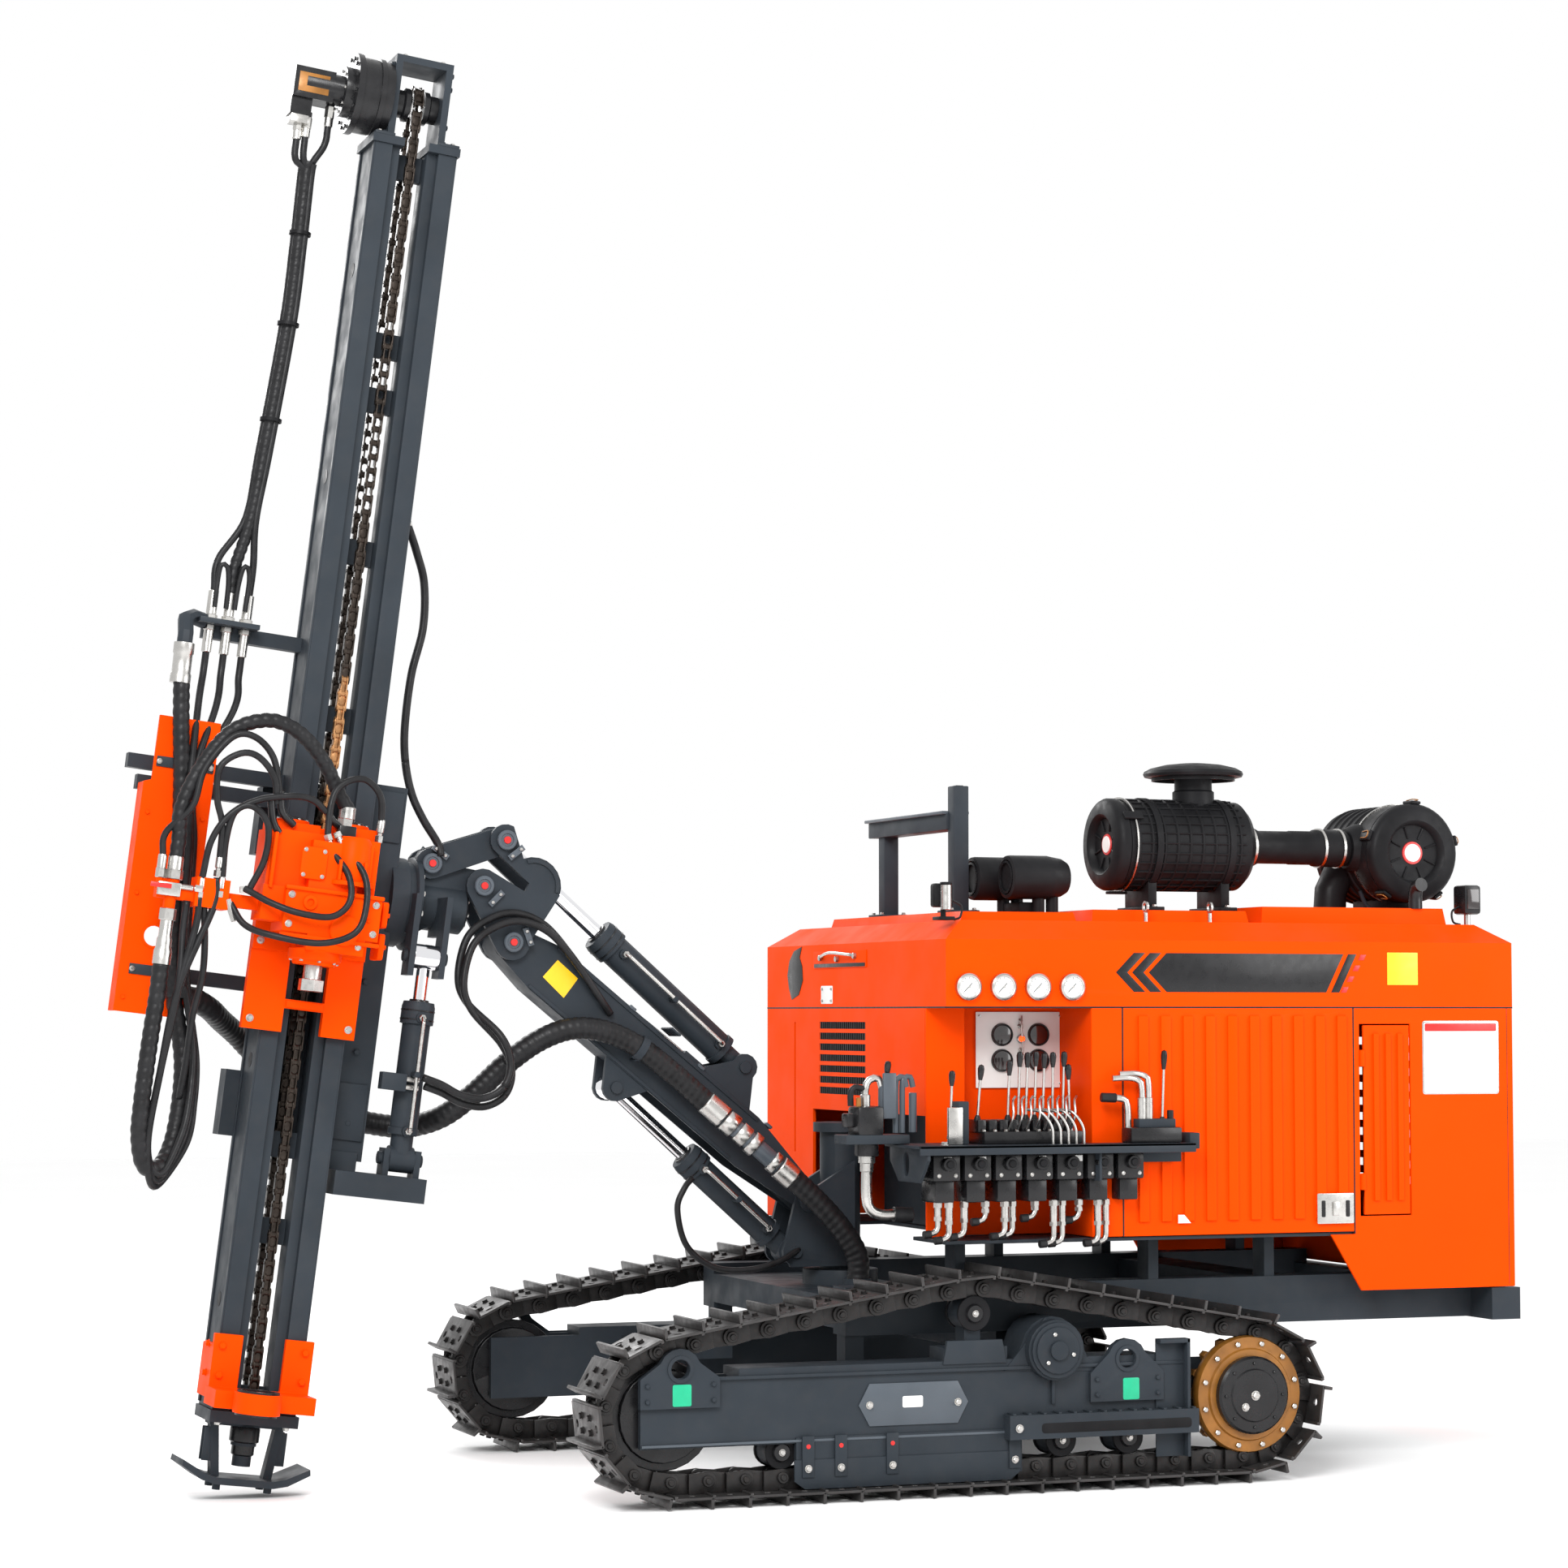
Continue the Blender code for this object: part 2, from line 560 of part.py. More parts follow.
def build_hood():
    rear, half = HOUSE_REAR, HOUSE_HALF
    base = fuse(box(rear, 0, -half, half, SEAM_Z + SEAT, HOOD_EAVE),
                box(rear, 0, -half, half, HOOD_EAVE - 0.0001, HOOD_TOP, inset=HOOD_INSET))
    inside = fuse(box(rear + SHEET, -SHEET, SHEET - half, half - SHEET, SEAM_Z - 0.1, HOOD_EAVE - 0.01),
                  box(rear + SHEET, -SHEET, SHEET - half, half - SHEET, HOOD_EAVE - 0.0101, HOOD_TOP - SHEET,
                      inset=HOOD_INSET - 0.01))
    shape = cut(base, inside)
    # Raised roof covers: x from, x to, y from, y to, height
    covers = ((-0.62, -0.16, -0.62, 0.66, 0.035), (-1.30, -0.66, -0.70, 0.70, 0.045), (-2.12, -1.34, -0.72, 0.72, 0.062))
    blocks = [box(x0, x1, y0, y1, HOOD_TOP - 0.005, HOOD_TOP + rise, inset=0.01) for x0, x1, y0, y1, rise in covers]
    # Four round gauges on the near side
    gauges = [bar((x, half - 0.006, GAUGE_Z), (x, half + 0.016, GAUGE_Z), GAUGE_RADIUS, sides=20) for x in GAUGES_X]
    node("hood", "chassis", ORANGE, fuse(shape, *blocks, *gauges))


def build_front():
    low, high = HOUSE_LOW + SEAT, SEAM_Z
    panel = box(-SHEET, 0, -HOUSE_HALF, POST_Y - SHEET - SEAT, low, high)
    notch = box(-0.1, 0.1, -0.40, HOUSE_HALF, HOUSE_LOW - 0.1, NICHE_TOP)
    grille_low = SEAM_Z - 0.325
    slots = [box(-0.1, 0.1, -0.33, 0.14, grille_low + GRILLE_PITCH * i, grille_low + GRILLE_PITCH * i + 0.026) for i in range(7)]
    slots.append(box(-0.1, 0.1, -0.60, -0.585, SEAM_Z - 0.555, SEAM_Z - 0.055))
    node("front_panel", "chassis", ORANGE, cut(panel, notch, *slots))
    niche = strip([(-0.30, low), (-0.30, NICHE_TOP), (-SHEET - SEAT, NICHE_TOP)], -SHEET)
    node("front_niche", "chassis", GREY, side_plate(niche, -0.415, POST_Y - 0.12))
    folds = [(0, POST_Y), (-0.15, POST_Y), (-0.15, RECESS_Y), (RECESS_REAR, RECESS_Y), (RECESS_REAR, HOUSE_HALF),
             (DOOR_FRONT, HOUSE_HALF)]
    node("control_recess", "chassis", ORANGE, outline_solid(strip(folds, -SHEET), low, high))


def fluted(x0, x1, low, high, side, count):
    """An upright sheet with pressed flutes on its outer face."""
    near, far = side * HOUSE_HALF, side * (HOUSE_HALF - SHEET)
    shapes = [box(x0, x1, *sorted((near, far)), low, high)]
    pitch = (x1 - x0 - 0.04) / count
    for i in range(count):
        x = x0 + 0.03 + pitch * i
        shapes.append(box(x, x + pitch * 0.45, *sorted((near - side * 0.004, near + side * FLUTE)), low + 0.05, high - 0.03))
    return shapes


def door(name, x0, x1, low, high, side, count):
    """A fluted door on two hinges at its front edge."""
    hinge = x1 + 0.006
    shapes = fluted(x0, x1, low, high, side, count)
    for z in (low + 0.12, high - 0.12):
        shapes.append(bar((hinge, side * HOUSE_HALF, z - 0.03), (hinge, side * HOUSE_HALF, z + 0.03), HINGE_RADIUS, sides=16))
    body(name, (hinge, side * HOUSE_HALF, (low + high) / 2), "chassis")
    node(name, name, ORANGE, fuse(*shapes))


def build_sides():
    low, high = HOUSE_LOW + SEAT, SEAM_Z
    door_x0, door_x1, door_low, door_high = SERVICE_DOOR
    node("left_side_panel", "chassis", ORANGE,
         fuse(*fluted(DOOR_REAR + SEAT, DOOR_FRONT - SEAT, low, high, 1, 10)))
    for side, name in ((1, "left"), (-1, "right")):
        y0, y1 = sorted((side * HOUSE_HALF, side * (HOUSE_HALF - SHEET)))
        skirt = [(DOOR_REAR, high), (HOUSE_REAR, high), (HOUSE_REAR, 0.655), (-1.645, 0.655), (-1.52, 0.860), (DOOR_REAR, 0.860)]
        panel = side_plate(skirt, y0, y1)
        if side == 1:
            gap = DOOR_GAP
            panel = cut(panel, box(door_x0 - gap, door_x1 + gap + 0.012, y0 - 0.1, y1 + 0.1, door_low - gap, door_high + gap))
        node(name + "_rear_panel", "chassis", ORANGE, panel)
    door("left_service_door", door_x0, door_x1, door_low, door_high, 1, 3)
    door("right_door", DOOR_REAR + DOOR_GAP, DOOR_FRONT - DOOR_GAP - 0.012, low + 0.006, high - 0.006, -1, 10)
    node("right_front_panel", "chassis", ORANGE,
         box(DOOR_FRONT, -SHEET - SEAT, -HOUSE_HALF, SHEET - HOUSE_HALF, low, high))
    half = HOUSE_HALF - SHEET - SEAT
    rear = box(HOUSE_REAR, HOUSE_REAR + SHEET, -half, half, 0.66, high)
    slots = [box(HOUSE_REAR - 0.1, HOUSE_REAR + 0.1, -0.62, 0.62, 1.00 + 0.06 * i, 1.03 + 0.06 * i) for i in range(10)]
    node("rear_panel", "chassis", ORANGE, cut(rear, *slots))


def build_deck_and_engine():
    half = HOUSE_HALF - SHEET - SEAT
    deck = box(HOUSE_REAR + SHEET + SEAT, -0.002, -half, half, DECK_LOW, DECK_HIGH)
    notch = box(-0.29, 0.1, -0.40, 0.59, DECK_LOW - 0.1, DECK_HIGH + 0.1)
    node("deck", "chassis", GREY, cut(deck, notch))
    low = DECK_HIGH + SEAT
    engine = fuse(box(-1.45, -0.62, -0.30, 0.30, low, 1.52), box(-1.35, -0.75, -0.38, 0.38, 1.10, 1.38),
                  bar((-1.45, 0, 1.20), (-1.95, 0, 1.20), 0.26, sides=20), box(-1.90, -1.60, -0.2, 0.2, low, 1.1))
    node("power_unit", "chassis", GREY, engine)


# Roof fittings

def build_roof():
    top = HOOD_TOP
    y = HOUSE_HALF / 2
    filter_z = top + 0.294
    front = fuse(bar((-0.86, y, filter_z), (-1.36, y, filter_z), 0.172, sides=20),
                 bar((-0.83, y, filter_z), (-0.87, y, filter_z), 0.15, sides=20),
                 bar((-1.35, y, filter_z), (-1.40, y, filter_z), 0.165, end_radius=0.14, sides=20),
                 bar((-1.38, y, filter_z), (-1.86, y, filter_z), 0.062, sides=16),
                 bar((-1.20, y, filter_z), (-1.20, y, filter_z + 0.251), 0.075),
                 bar((-1.20, y, filter_z + 0.226), (-1.20, y, filter_z + 0.271), 0.15, end_radius=0.187, sides=20),
                 bar((-1.20, y, filter_z + 0.271), (-1.20, y, filter_z + 0.311), 0.187, end_radius=0.11, sides=20),
                 box(-1.30, -0.92, y - 0.10, y + 0.10, top + 0.0453, filter_z - 0.109))
    node("air_filter_front", "chassis", BLACK, front)
    rear_x = -2.05
    rear_z = top + 0.275
    rear = fuse(bar((rear_x, y + 0.15, rear_z), (rear_x, y - 0.31, rear_z), 0.187, sides=20),
                bar((rear_x, y + 0.19, rear_z), (rear_x, y + 0.14, rear_z), 0.15, sides=20),
                box(rear_x - 0.07, rear_x + 0.15, y - 0.25, y + 0.10, top + 0.0623, rear_z - 0.12))
    node("air_filter_rear", "chassis", BLACK, rear)
    drum_z = top + 0.165
    drums = fuse(bar((-0.42, 0.52, drum_z), (-0.66, 0.52, drum_z), 0.078), bar((-0.36, 0.34, drum_z), (-0.60, 0.34, drum_z), 0.078),
                 box(-0.58, -0.44, 0.32, 0.54, top + 0.0353, drum_z - 0.02))
    node("precleaners", "chassis", BLACK, drums)
    # Rest for the folded mast: a tall post, a shorter one and a beam across them
    rest = fuse(box(-0.32, -0.26, 0.31, 0.37, top + 0.0353, top + 0.505), box(-0.32, -0.26, -0.37, -0.31, top + 0.0353, top + 0.385),
                box(-0.33, -0.25, -0.45, 0.34, top + 0.335, top + 0.415))
    node("mast_rest", "chassis", GREY, rest)


# Control bench

def build_controls():
    """A bench of lever valves, carried by brackets on the recess wall and reaching past the house's side."""
    clear = HOUSE_HALF + FLUTE + 0.012
    post, wall, edge = POST_Y + SEAT, RECESS_Y + SEAT, HOUSE_HALF + 0.15
    bench = fuse(box(-0.55, 0.16, post, edge, BENCH_Z, BENCH_Z + 0.01), box(-0.90, -0.54, clear, edge, BENCH_Z, BENCH_Z + 0.01),
                 box(-0.90, -0.54, clear, clear + 0.01, BENCH_Z - 0.06, BENCH_Z + 0.005),
                 box(-0.545, -0.535, wall + 0.04, edge - 0.03, BENCH_Z - 0.12, BENCH_Z + 0.005),
                 box(0.12, 0.13, post, edge - 0.02, BENCH_Z - 0.11, BENCH_Z + 0.005),
                 box(-0.54, -0.16, wall, post + 0.01, BENCH_Z - 0.02, BENCH_Z + 0.005))
    # Valve group at the bench's front end: block, stem below, two bent pipes and a lever
    x, y, z = 0.26, POST_Y + 0.08, BENCH_Z
    group = [box(0.12, 0.36, y - 0.06, y + 0.06, z + 0.004, z + 0.045), box(x - 0.045, x + 0.085, y - 0.05, y + 0.06, z + 0.04, z + 0.145),
             bar((x, y, z - 0.17), (x, y, z + 0.05), 0.026), bar((x + 0.01, y, z - 0.19), (x - 0.17, y, z - 0.235), 0.024),
             bar((x - 0.002, y, z - 0.13), (x - 0.002, y, z - 0.195), 0.024),
             bar((x + 0.005, y, z + 0.13), (x + 0.005, y, z + 0.24), 0.016, sides=10), bar((x - 0.065, y, z + 0.04), (x - 0.065, y, z + 0.22), 0.02),
             bar((x - 0.12, y, z + 0.04), (x - 0.12, y, z + 0.24), 0.012, sides=10), bar((x - 0.175, y, z + 0.004), (x - 0.175, y, z + 0.19), 0.014, sides=10),
             bar((x - 0.07, y, z + 0.21), (x - 0.07, y, 1.50), 0.010, sides=8)]
    node("control_bench", "chassis", GREY, fuse(bench, *group))
    low = BENCH_Z - SEAT
    y = HOUSE_HALF
    shapes = [box(-0.53, 0.11, y - 0.10, y + 0.08, BENCH_Z - 0.125, low), box(-0.52, 0.08, y - 0.07, y + 0.05, BENCH_Z - 0.205, BENCH_Z - 0.11)]
    # Hose fittings hang below: x, y from the house's side, length
    for x, dy, drop in ((0.03, 0.03, 0.11), (-0.05, 0.04, 0.12), (-0.14, 0.02, 0.07), (-0.22, 0.04, 0.12), (-0.33, 0.02, 0.06),
                        (-0.41, 0.04, 0.15), (-0.50, 0.02, 0.07)):
        shapes.append(bar((x, y + dy, BENCH_Z - 0.20), (x, y + dy, BENCH_Z - 0.20 - drop), 0.014, sides=8))
    node("valve_bank", "chassis", IRON, fuse(*shapes))
    high = BENCH_Z + 0.01 + SEAT
    for name, x0, x1, y0, y1, rise, count, pitch in LEVER_ROWS:
        levers = [box(x0, x1, y0, y1, high, high + rise)]
        middle = (y0 + y1) / 2
        for i in range(count):
            x = x1 - 0.04 - pitch * i
            levers.append(bar((x, middle, high + rise - 0.01), (x, middle + 0.02, LEVER_TOP - 0.03), 0.007, sides=8))
            levers.append(bar((x, middle + 0.02, LEVER_TOP - 0.04), (x, middle + 0.023, LEVER_TOP), 0.013, sides=10))
        node(name, "chassis", IRON, fuse(*levers))


# Hoses

def smooth(points, step):
    """A smooth curve through points, as points about a step apart, and the places of the given ones in it."""
    points = [Vector(p) for p in points]
    ends = [points[0] * 2 - points[1], *points, points[-1] * 2 - points[-2]]
    path, places = [], []
    for a, b, c, d in zip(ends, ends[1:], ends[2:], ends[3:]):
        count = max(1, round((c - b).length / step))
        places.append(len(path))
        for i in range(count):
            t = i / count
            path.append(0.5 * (2 * b + (c - a) * t + (2 * a - 5 * b + 4 * c - d) * t ** 2 + (3 * b - a - 3 * c + d) * t ** 3))
    places.append(len(path))
    path.append(points[-1])
    return path, places


def hose(route, radius, first=0, last=-1):
    """A tube along a smooth curve through the route, from one of its points to another, a seat short at each end."""
    path, places = smooth(route, radius * HOSE_STEP)
    start, stop = places[first], places[last]
    ends = []
    for i in (start, stop):
        if i == 0:
            along = Vector(route[1]) - Vector(route[0])
        elif i == len(path) - 1:
            along = Vector(route[-1]) - Vector(route[-2])
        else:
            along = path[i + 1] - path[i - 1]
        ends.append(along.normalized())
    head = [path[start] + ends[0] * SEAT, path[start] + ends[0] * radius * 0.4]
    tail = [path[stop] - ends[1] * radius * 0.4, path[stop] - ends[1] * SEAT]
    path = head + path[start + 1:stop] + tail
    curve = bpy.data.curves.new("hose", "CURVE")
    curve.dimensions = "3D"
    curve.bevel_depth = radius
    curve.bevel_resolution = 2
    curve.use_fill_caps = True
    spline = curve.splines.new("POLY")
    spline.points.add(len(path) - 1)
    for point, place in zip(spline.points, path):
        point.co = (*place, 1)
    tube = bpy.data.objects.new("hose", curve)
    WORK.objects.link(tube)
    mesh = bpy.data.meshes.new_from_object(tube.evaluated_get(bpy.context.evaluated_depsgraph_get()))
    bpy.data.objects.remove(tube)
    bm = bmesh.new()
    bm.from_mesh(mesh)
    bmesh.ops.remove_doubles(bm, verts=bm.verts, dist=0.00005)
    return piece(bm)


def build_hoses():
    feed = [hose(FEED_ROUTE, FEED_HOSE_RADIUS)]
    for x, z in MOTOR_PORTS:
        feed.append(hose([(x, FEED_Y, z), (x, FEED_Y, z - 0.04), (x * 0.9 + 0.035, FEED_Y, z - 0.10), FEED_ROUTE[1]], 0.013))
    node("feed_hose", "mast", RUBBER, fuse(*feed), MAST)
    split = len(TRAY_ROUTE) - 1
    fall = TRAY_ROUTE + LOOP_ROUTE
    node("tray_hose", "mast", RUBBER, hose(fall, TRAY_HOSE_RADIUS, 0, split), MAST)
    node("loop_hose", "carriage", RUBBER, hose(fall, TRAY_HOSE_RADIUS, split, -1), MAST)
    node("arch_hose", "carriage", RUBBER, hose(ARCH_ROUTE, ARCH_HOSE_RADIUS), MAST)
    for name, on, first, last in AIR_HOSES:
        node(name, on, RUBBER, hose(AIR_ROUTE, AIR_HOSE_RADIUS, first, last))


# Cylinders

def cylinder(name, foot, eye, across, barrel_end, rod_start, bore_start, radius, rod_radius):
    """A hydraulic cylinder, drawn along x from its foot pin and then laid from foot to rod eye."""
    foot, eye, across = Vector(foot), Vector(eye), Vector(across).normalized()
    run = (eye - foot).normalized()
    length = (eye - foot).length
    frame = Matrix((run, across, run.cross(across))).transposed().to_4x4()
    frame.translation = foot
    half = EYE_HALF

    def eye_ring(x):
        return pin((x, 0), -half, half, EYE_RADIUS)

    def eye_hole(x):
        return pin((x, 0), -half - 0.02, half + 0.02, PIN_RADIUS + RUN)

    def along(x0, x1, thick):
        return bar((x0, 0, 0), (x1, 0, 0), thick)

    barrel = fuse(along(0.085, barrel_end, radius), along(0.02, 0.10, 0.04), eye_ring(0),
                  along(barrel_end - 0.06, barrel_end + 0.004, radius + 0.006))
    barrel = cut(barrel, eye_hole(0), along(bore_start, barrel_end + 0.05, rod_radius + RUN))
    node(name + "_barrel", name + "_barrel", GREY, barrel, frame)
    rod = cut(fuse(along(rod_start, length - 0.02, rod_radius), eye_ring(length)), eye_hole(length))
    node(name + "_rod", name + "_rod", CHROME, rod, frame)


def at(point, y=0.0):
    """A point of the boom's plane, in space."""
    return Vector((point[0], y, point[1]))


def pin(point, y0, y1, radius=PIN_RADIUS, sides=16):
    """A bar across the plane of motion, at (x, z)."""
    return bar(at(point, y0), at(point, y1), radius, sides=sides)


def placed(point, undo):
    """A point (x, z) of the boom's plane in another frame of that plane."""
    moved = undo @ at(point)
    return (moved.x, moved.z)


# Boom

def build_swing_post():
    body("swing", (POST_X, 0, 0.9), "chassis")
    column = bar((POST_X, 0, 0.72), (POST_X, 0, 1.225), POST_RADIUS, sides=20)
    column = cut(column, bar((POST_X, 0, 0.6), (POST_X, 0, 1.4), 0.036))
    foot_x, foot_z = BOOM_FOOT
    lift_x, lift_z = LIFT_FOOT
    cheek = [(POST_X - 0.02, 0.735), (lift_x + 0.02, 0.735)] + arc(lift_x, lift_z, 0.05, -60, 30, 4)
    cheek += arc(foot_x, foot_z, 0.06, 10, 120, 5) + [(POST_X - 0.02, 1.12)]
    shapes = [column]
    for side in (1, -1):
        y0, y1 = sorted((side * CHEEK_IN, side * CHEEK_OUT))
        shapes.append(side_plate(cheek, y0, y1))
        shapes.append(pin(LIFT_FOOT, side * (EYE_HALF + SEAT), side * (CHEEK_IN + 0.01), 0.036))
    shapes.append(box(POST_X - 0.05, POST_X + 0.05, -CHEEK_IN - 0.01, CHEEK_IN + 0.01, 0.735, 0.80))
    shapes = [fuse(*shapes)]
    shapes[0] = cut(shapes[0], bar((POST_X, 0, 0.6), (POST_X, 0, 1.4), 0.036))
    shapes += [pin(BOOM_FOOT, -CHEEK_OUT - 0.012, CHEEK_OUT + 0.012), pin(LIFT_FOOT, -CHEEK_OUT - 0.012, CHEEK_OUT + 0.012)]
    node("swing_post", "swing", GREY, fuse(*shapes))


def build_boom():
    body("boom", at(BOOM_FOOT), "swing")
    start, end = at(BOOM_FOOT), at(BOOM_TIP)
    length = (end - start).length
    slope = math.atan2(end.z - start.z, end.x - start.x)
    frame = Matrix.Translation(start) @ Matrix.Rotation(-slope, 4, "Y")
    lift_x, lift_z = lift = placed(LIFT_EAR, frame.inverted())
    foot_x, foot_z = foot = placed(PITCH_FOOT, frame.inverted())
    outline = arc(0, 0, 0.05, 110, 250, 6) + [(0.30, -0.085), (length - 0.16, -0.085)]
    outline += arc(length, 0, 0.065, -100, 90, 8) + [(length - 0.16, 0.11), (0.34, 0.11)]
    # A channel along the underside takes in the lift cylinder when the boom is raised.
    channel = box(-0.06, lift_x + 0.075, -CHANNEL_HALF, CHANNEL_HALF, -0.2, CHANNEL_ROOF)
    shapes = [cut(side_plate(outline, -BOOM_HALF, BOOM_HALF), channel)]
    for side in (1, -1):
        y0, y1 = sorted((side * (EYE_HALF + SEAT), side * EAR_OUT))
        hang = [(lift_x + 0.13, CHANNEL_ROOF + 0.005), (lift_x - 0.13, CHANNEL_ROOF + 0.005)]
        hang += arc(lift_x, lift_z, 0.05, 200, 340, 6)
        stand = [(foot_x - 0.12, 0.10), (foot_x + 0.14, 0.10)] + arc(foot_x, foot_z, 0.05, -10, 190, 8)
        shapes.append(side_plate(hang, y0, y1))
        shapes.append(side_plate(stand, y0, y1))
    beam = cut(fuse(*shapes), pin((0, 0), -0.2, 0.2, PIN_RADIUS + RUN), pin((length, 0), -0.2, 0.2, 0.03 + RUN))
    stubs = [pin(foot, -EAR_OUT - 0.012, EAR_OUT + 0.012)]
    stubs += [pin(lift, side * (EYE_HALF + SEAT), side * (EAR_OUT + 0.012)) for side in (1, -1)]
    node("boom", "boom", GREY, fuse(beam, *stubs), frame)


def build_knuckle():
    """Cheek plates that turn on the boom's tip, the link above them and the head they carry."""
    body("knuckle", at(BOOM_TIP), "boom")
    tip_x, tip_z = BOOM_TIP
    rod_x, rod_z = ROD_PIN
    pin_x, pin_z = HEAD_PIN
    outline = arc(tip_x, tip_z, 0.065, 180, 330, 7)
    outline += arc(pin_x, pin_z, 0.062, -20, 110, 6) + [(1.30, 2.10)]
    outline += [(1.285, 2.13)] + arc(rod_x, rod_z, 0.058, -35, 120, 7) + arc(1.27, 2.12, 0.105, 70, 200, 8)
    shapes = []
    for side in (1, -1):
        y0, y1 = sorted((side * CHEEK_IN, side * CHEEK_OUT))
        shapes.append(side_plate(outline, y0, y1))
        shapes.append(pin(ROD_PIN, side * (EAR_OUT + SEAT), side * (CHEEK_OUT + 0.012)))
    shapes += [pin(BOOM_TIP, -CHEEK_OUT - 0.012, CHEEK_OUT + 0.012, 0.03), pin(HEAD_PIN, -CHEEK_OUT - 0.012, CHEEK_OUT + 0.012, 0.03)]
    node("knuckle_plates", "knuckle", GREY, fuse(*shapes))
    build_link()
    build_head()


def build_link():
    link_x, link_z = LINK_PIN
    rod_x, rod_z = ROD_PIN
    slope = math.degrees(math.atan2(rod_z - link_z, rod_x - link_x))
    outline = arc(link_x, link_z, 0.055, slope - 270, slope - 90, 8) + arc(rod_x, rod_z, 0.05, slope - 90, slope + 90, 8)
    shapes = [side_plate(outline, *sorted((side * (EYE_HALF + SEAT), side * EAR_OUT))) for side in (1, -1)]
    middle = Vector(((link_x * 0.62 + rod_x * 0.38), 0, (link_z * 0.62 + rod_z * 0.38)))
    shapes.append(bar(middle - Vector((0, 0.05, 0)), middle + Vector((0, 0.05, 0)), 0.022))
    shapes.append(pin(LINK_PIN, -EAR_OUT - 0.015, EAR_OUT + 0.015))
    node("head_link", "knuckle", GREY, fuse(*shapes))


MAST = Matrix.Translation(MAST_ORIGIN) @ Matrix.Rotation(-MAST_LEAN, 4, "Y")


def build_head():
    """The casting between the knuckle and the mast's swing shaft, in the mast's frame."""
    undo = MAST.inverted()
    link_x, link_z = link = placed(LINK_PIN, undo)
    head_x, head_z = head = placed(HEAD_PIN, undo)
    lug = [(-0.41, -0.10), (-0.36, -0.10), (-0.36, 0.13), (-0.40, 0.19)] + arc(link_x, link_z, 0.052, 60, 170, 6)
    lug += arc(head_x, head_z, 0.055, 90, 250, 8) + [(-0.50, 0.02), (-0.47, -0.06)]
    shapes = [side_plate(lug, SEAT - EYE_HALF, EYE_HALF - SEAT), pin(head, SEAT - CHEEK_IN, CHEEK_IN - SEAT, 0.05),
              bar((SHAFT_FACE - SEAT, 0, 0), (SHAFT_FACE - 0.025, 0, 0), 0.15, sides=24),
              bar((SHAFT_FACE - 0.02, 0, 0), (SHAFT_REAR, 0, 0), 0.085, sides=20)]
    # A fork under the shaft takes the swing cylinder's eye.
    for x in (SWING_X - EYE_HALF - 0.022, SWING_X + EYE_HALF + SEAT):
        shapes.append(box(x, x + 0.0217, 0.0, SWING_Y + 0.045, -0.11, 0.03))
        shapes.append(box(x, x + 0.0217, SWING_Y - 0.045, SWING_Y + 0.045, -0.26, -0.05))
    casting = cut(fuse(*shapes), pin(link, -0.2, 0.2, PIN_RADIUS + RUN), pin(head, -0.2, 0.2, 0.03 + RUN))
    eye = SWING_EYE_Z
    stubs = [bar((SWING_X + side * (EYE_HALF + SEAT), SWING_Y, eye), (SWING_X + side * (EYE_HALF + 0.035), SWING_Y, eye), PIN_RADIUS)
             for side in (1, -1)]
    node("mast_head", "knuckle", GREY, fuse(casting, *stubs), MAST)


# Mast

def build_cradle():
    body("cradle", MAST @ Vector((SHAFT_FACE, 0, 0)), "knuckle")
    back = RAIL_BACK - SEAT
    shapes = [box(-0.30, -0.165, -0.09, 0.11, -0.93, 0.40), box(-0.20, 0.10, -0.06, 0.0, -0.90, 0.38),
              bar((-0.28, 0, 0), (SHAFT_FACE, 0, 0), 0.16, sides=24)]
    for low, high in ((-0.89, -0.66), (0.10, 0.34)):
        shapes.append(box(-0.205, 0.205, -0.05, back, low, high))
        for side in (1, -1):
            x0, x1 = sorted((side * (RAIL_OUT + 0.006), side * 0.205))
            shapes.append(box(x0, x1, 0.0, 0.044, low, high))
    # The lower arm carries the swing cylinder's foot.
    shapes.append(box(SWING_X - 0.09, -0.18, 0.06, SWING_Y + 0.07, -1.05, -0.965))
    shapes.append(box(-0.28, -0.18, 0.02, 0.12, -1.05, -0.90))
    for x in (SWING_X - EYE_HALF - 0.022, SWING_X + EYE_HALF + SEAT):
        shapes.append(box(x, x + 0.0217, SWING_Y - 0.04, SWING_Y + 0.04, -1.0, SWING_FOOT_Z + 0.035))
    shapes.append(bar((SWING_X - EYE_HALF - 0.035, SWING_Y, SWING_FOOT_Z), (SWING_X + EYE_HALF + 0.035, SWING_Y, SWING_FOOT_Z), PIN_RADIUS))
    node("cradle", "cradle", GREY, fuse(*shapes), MAST)


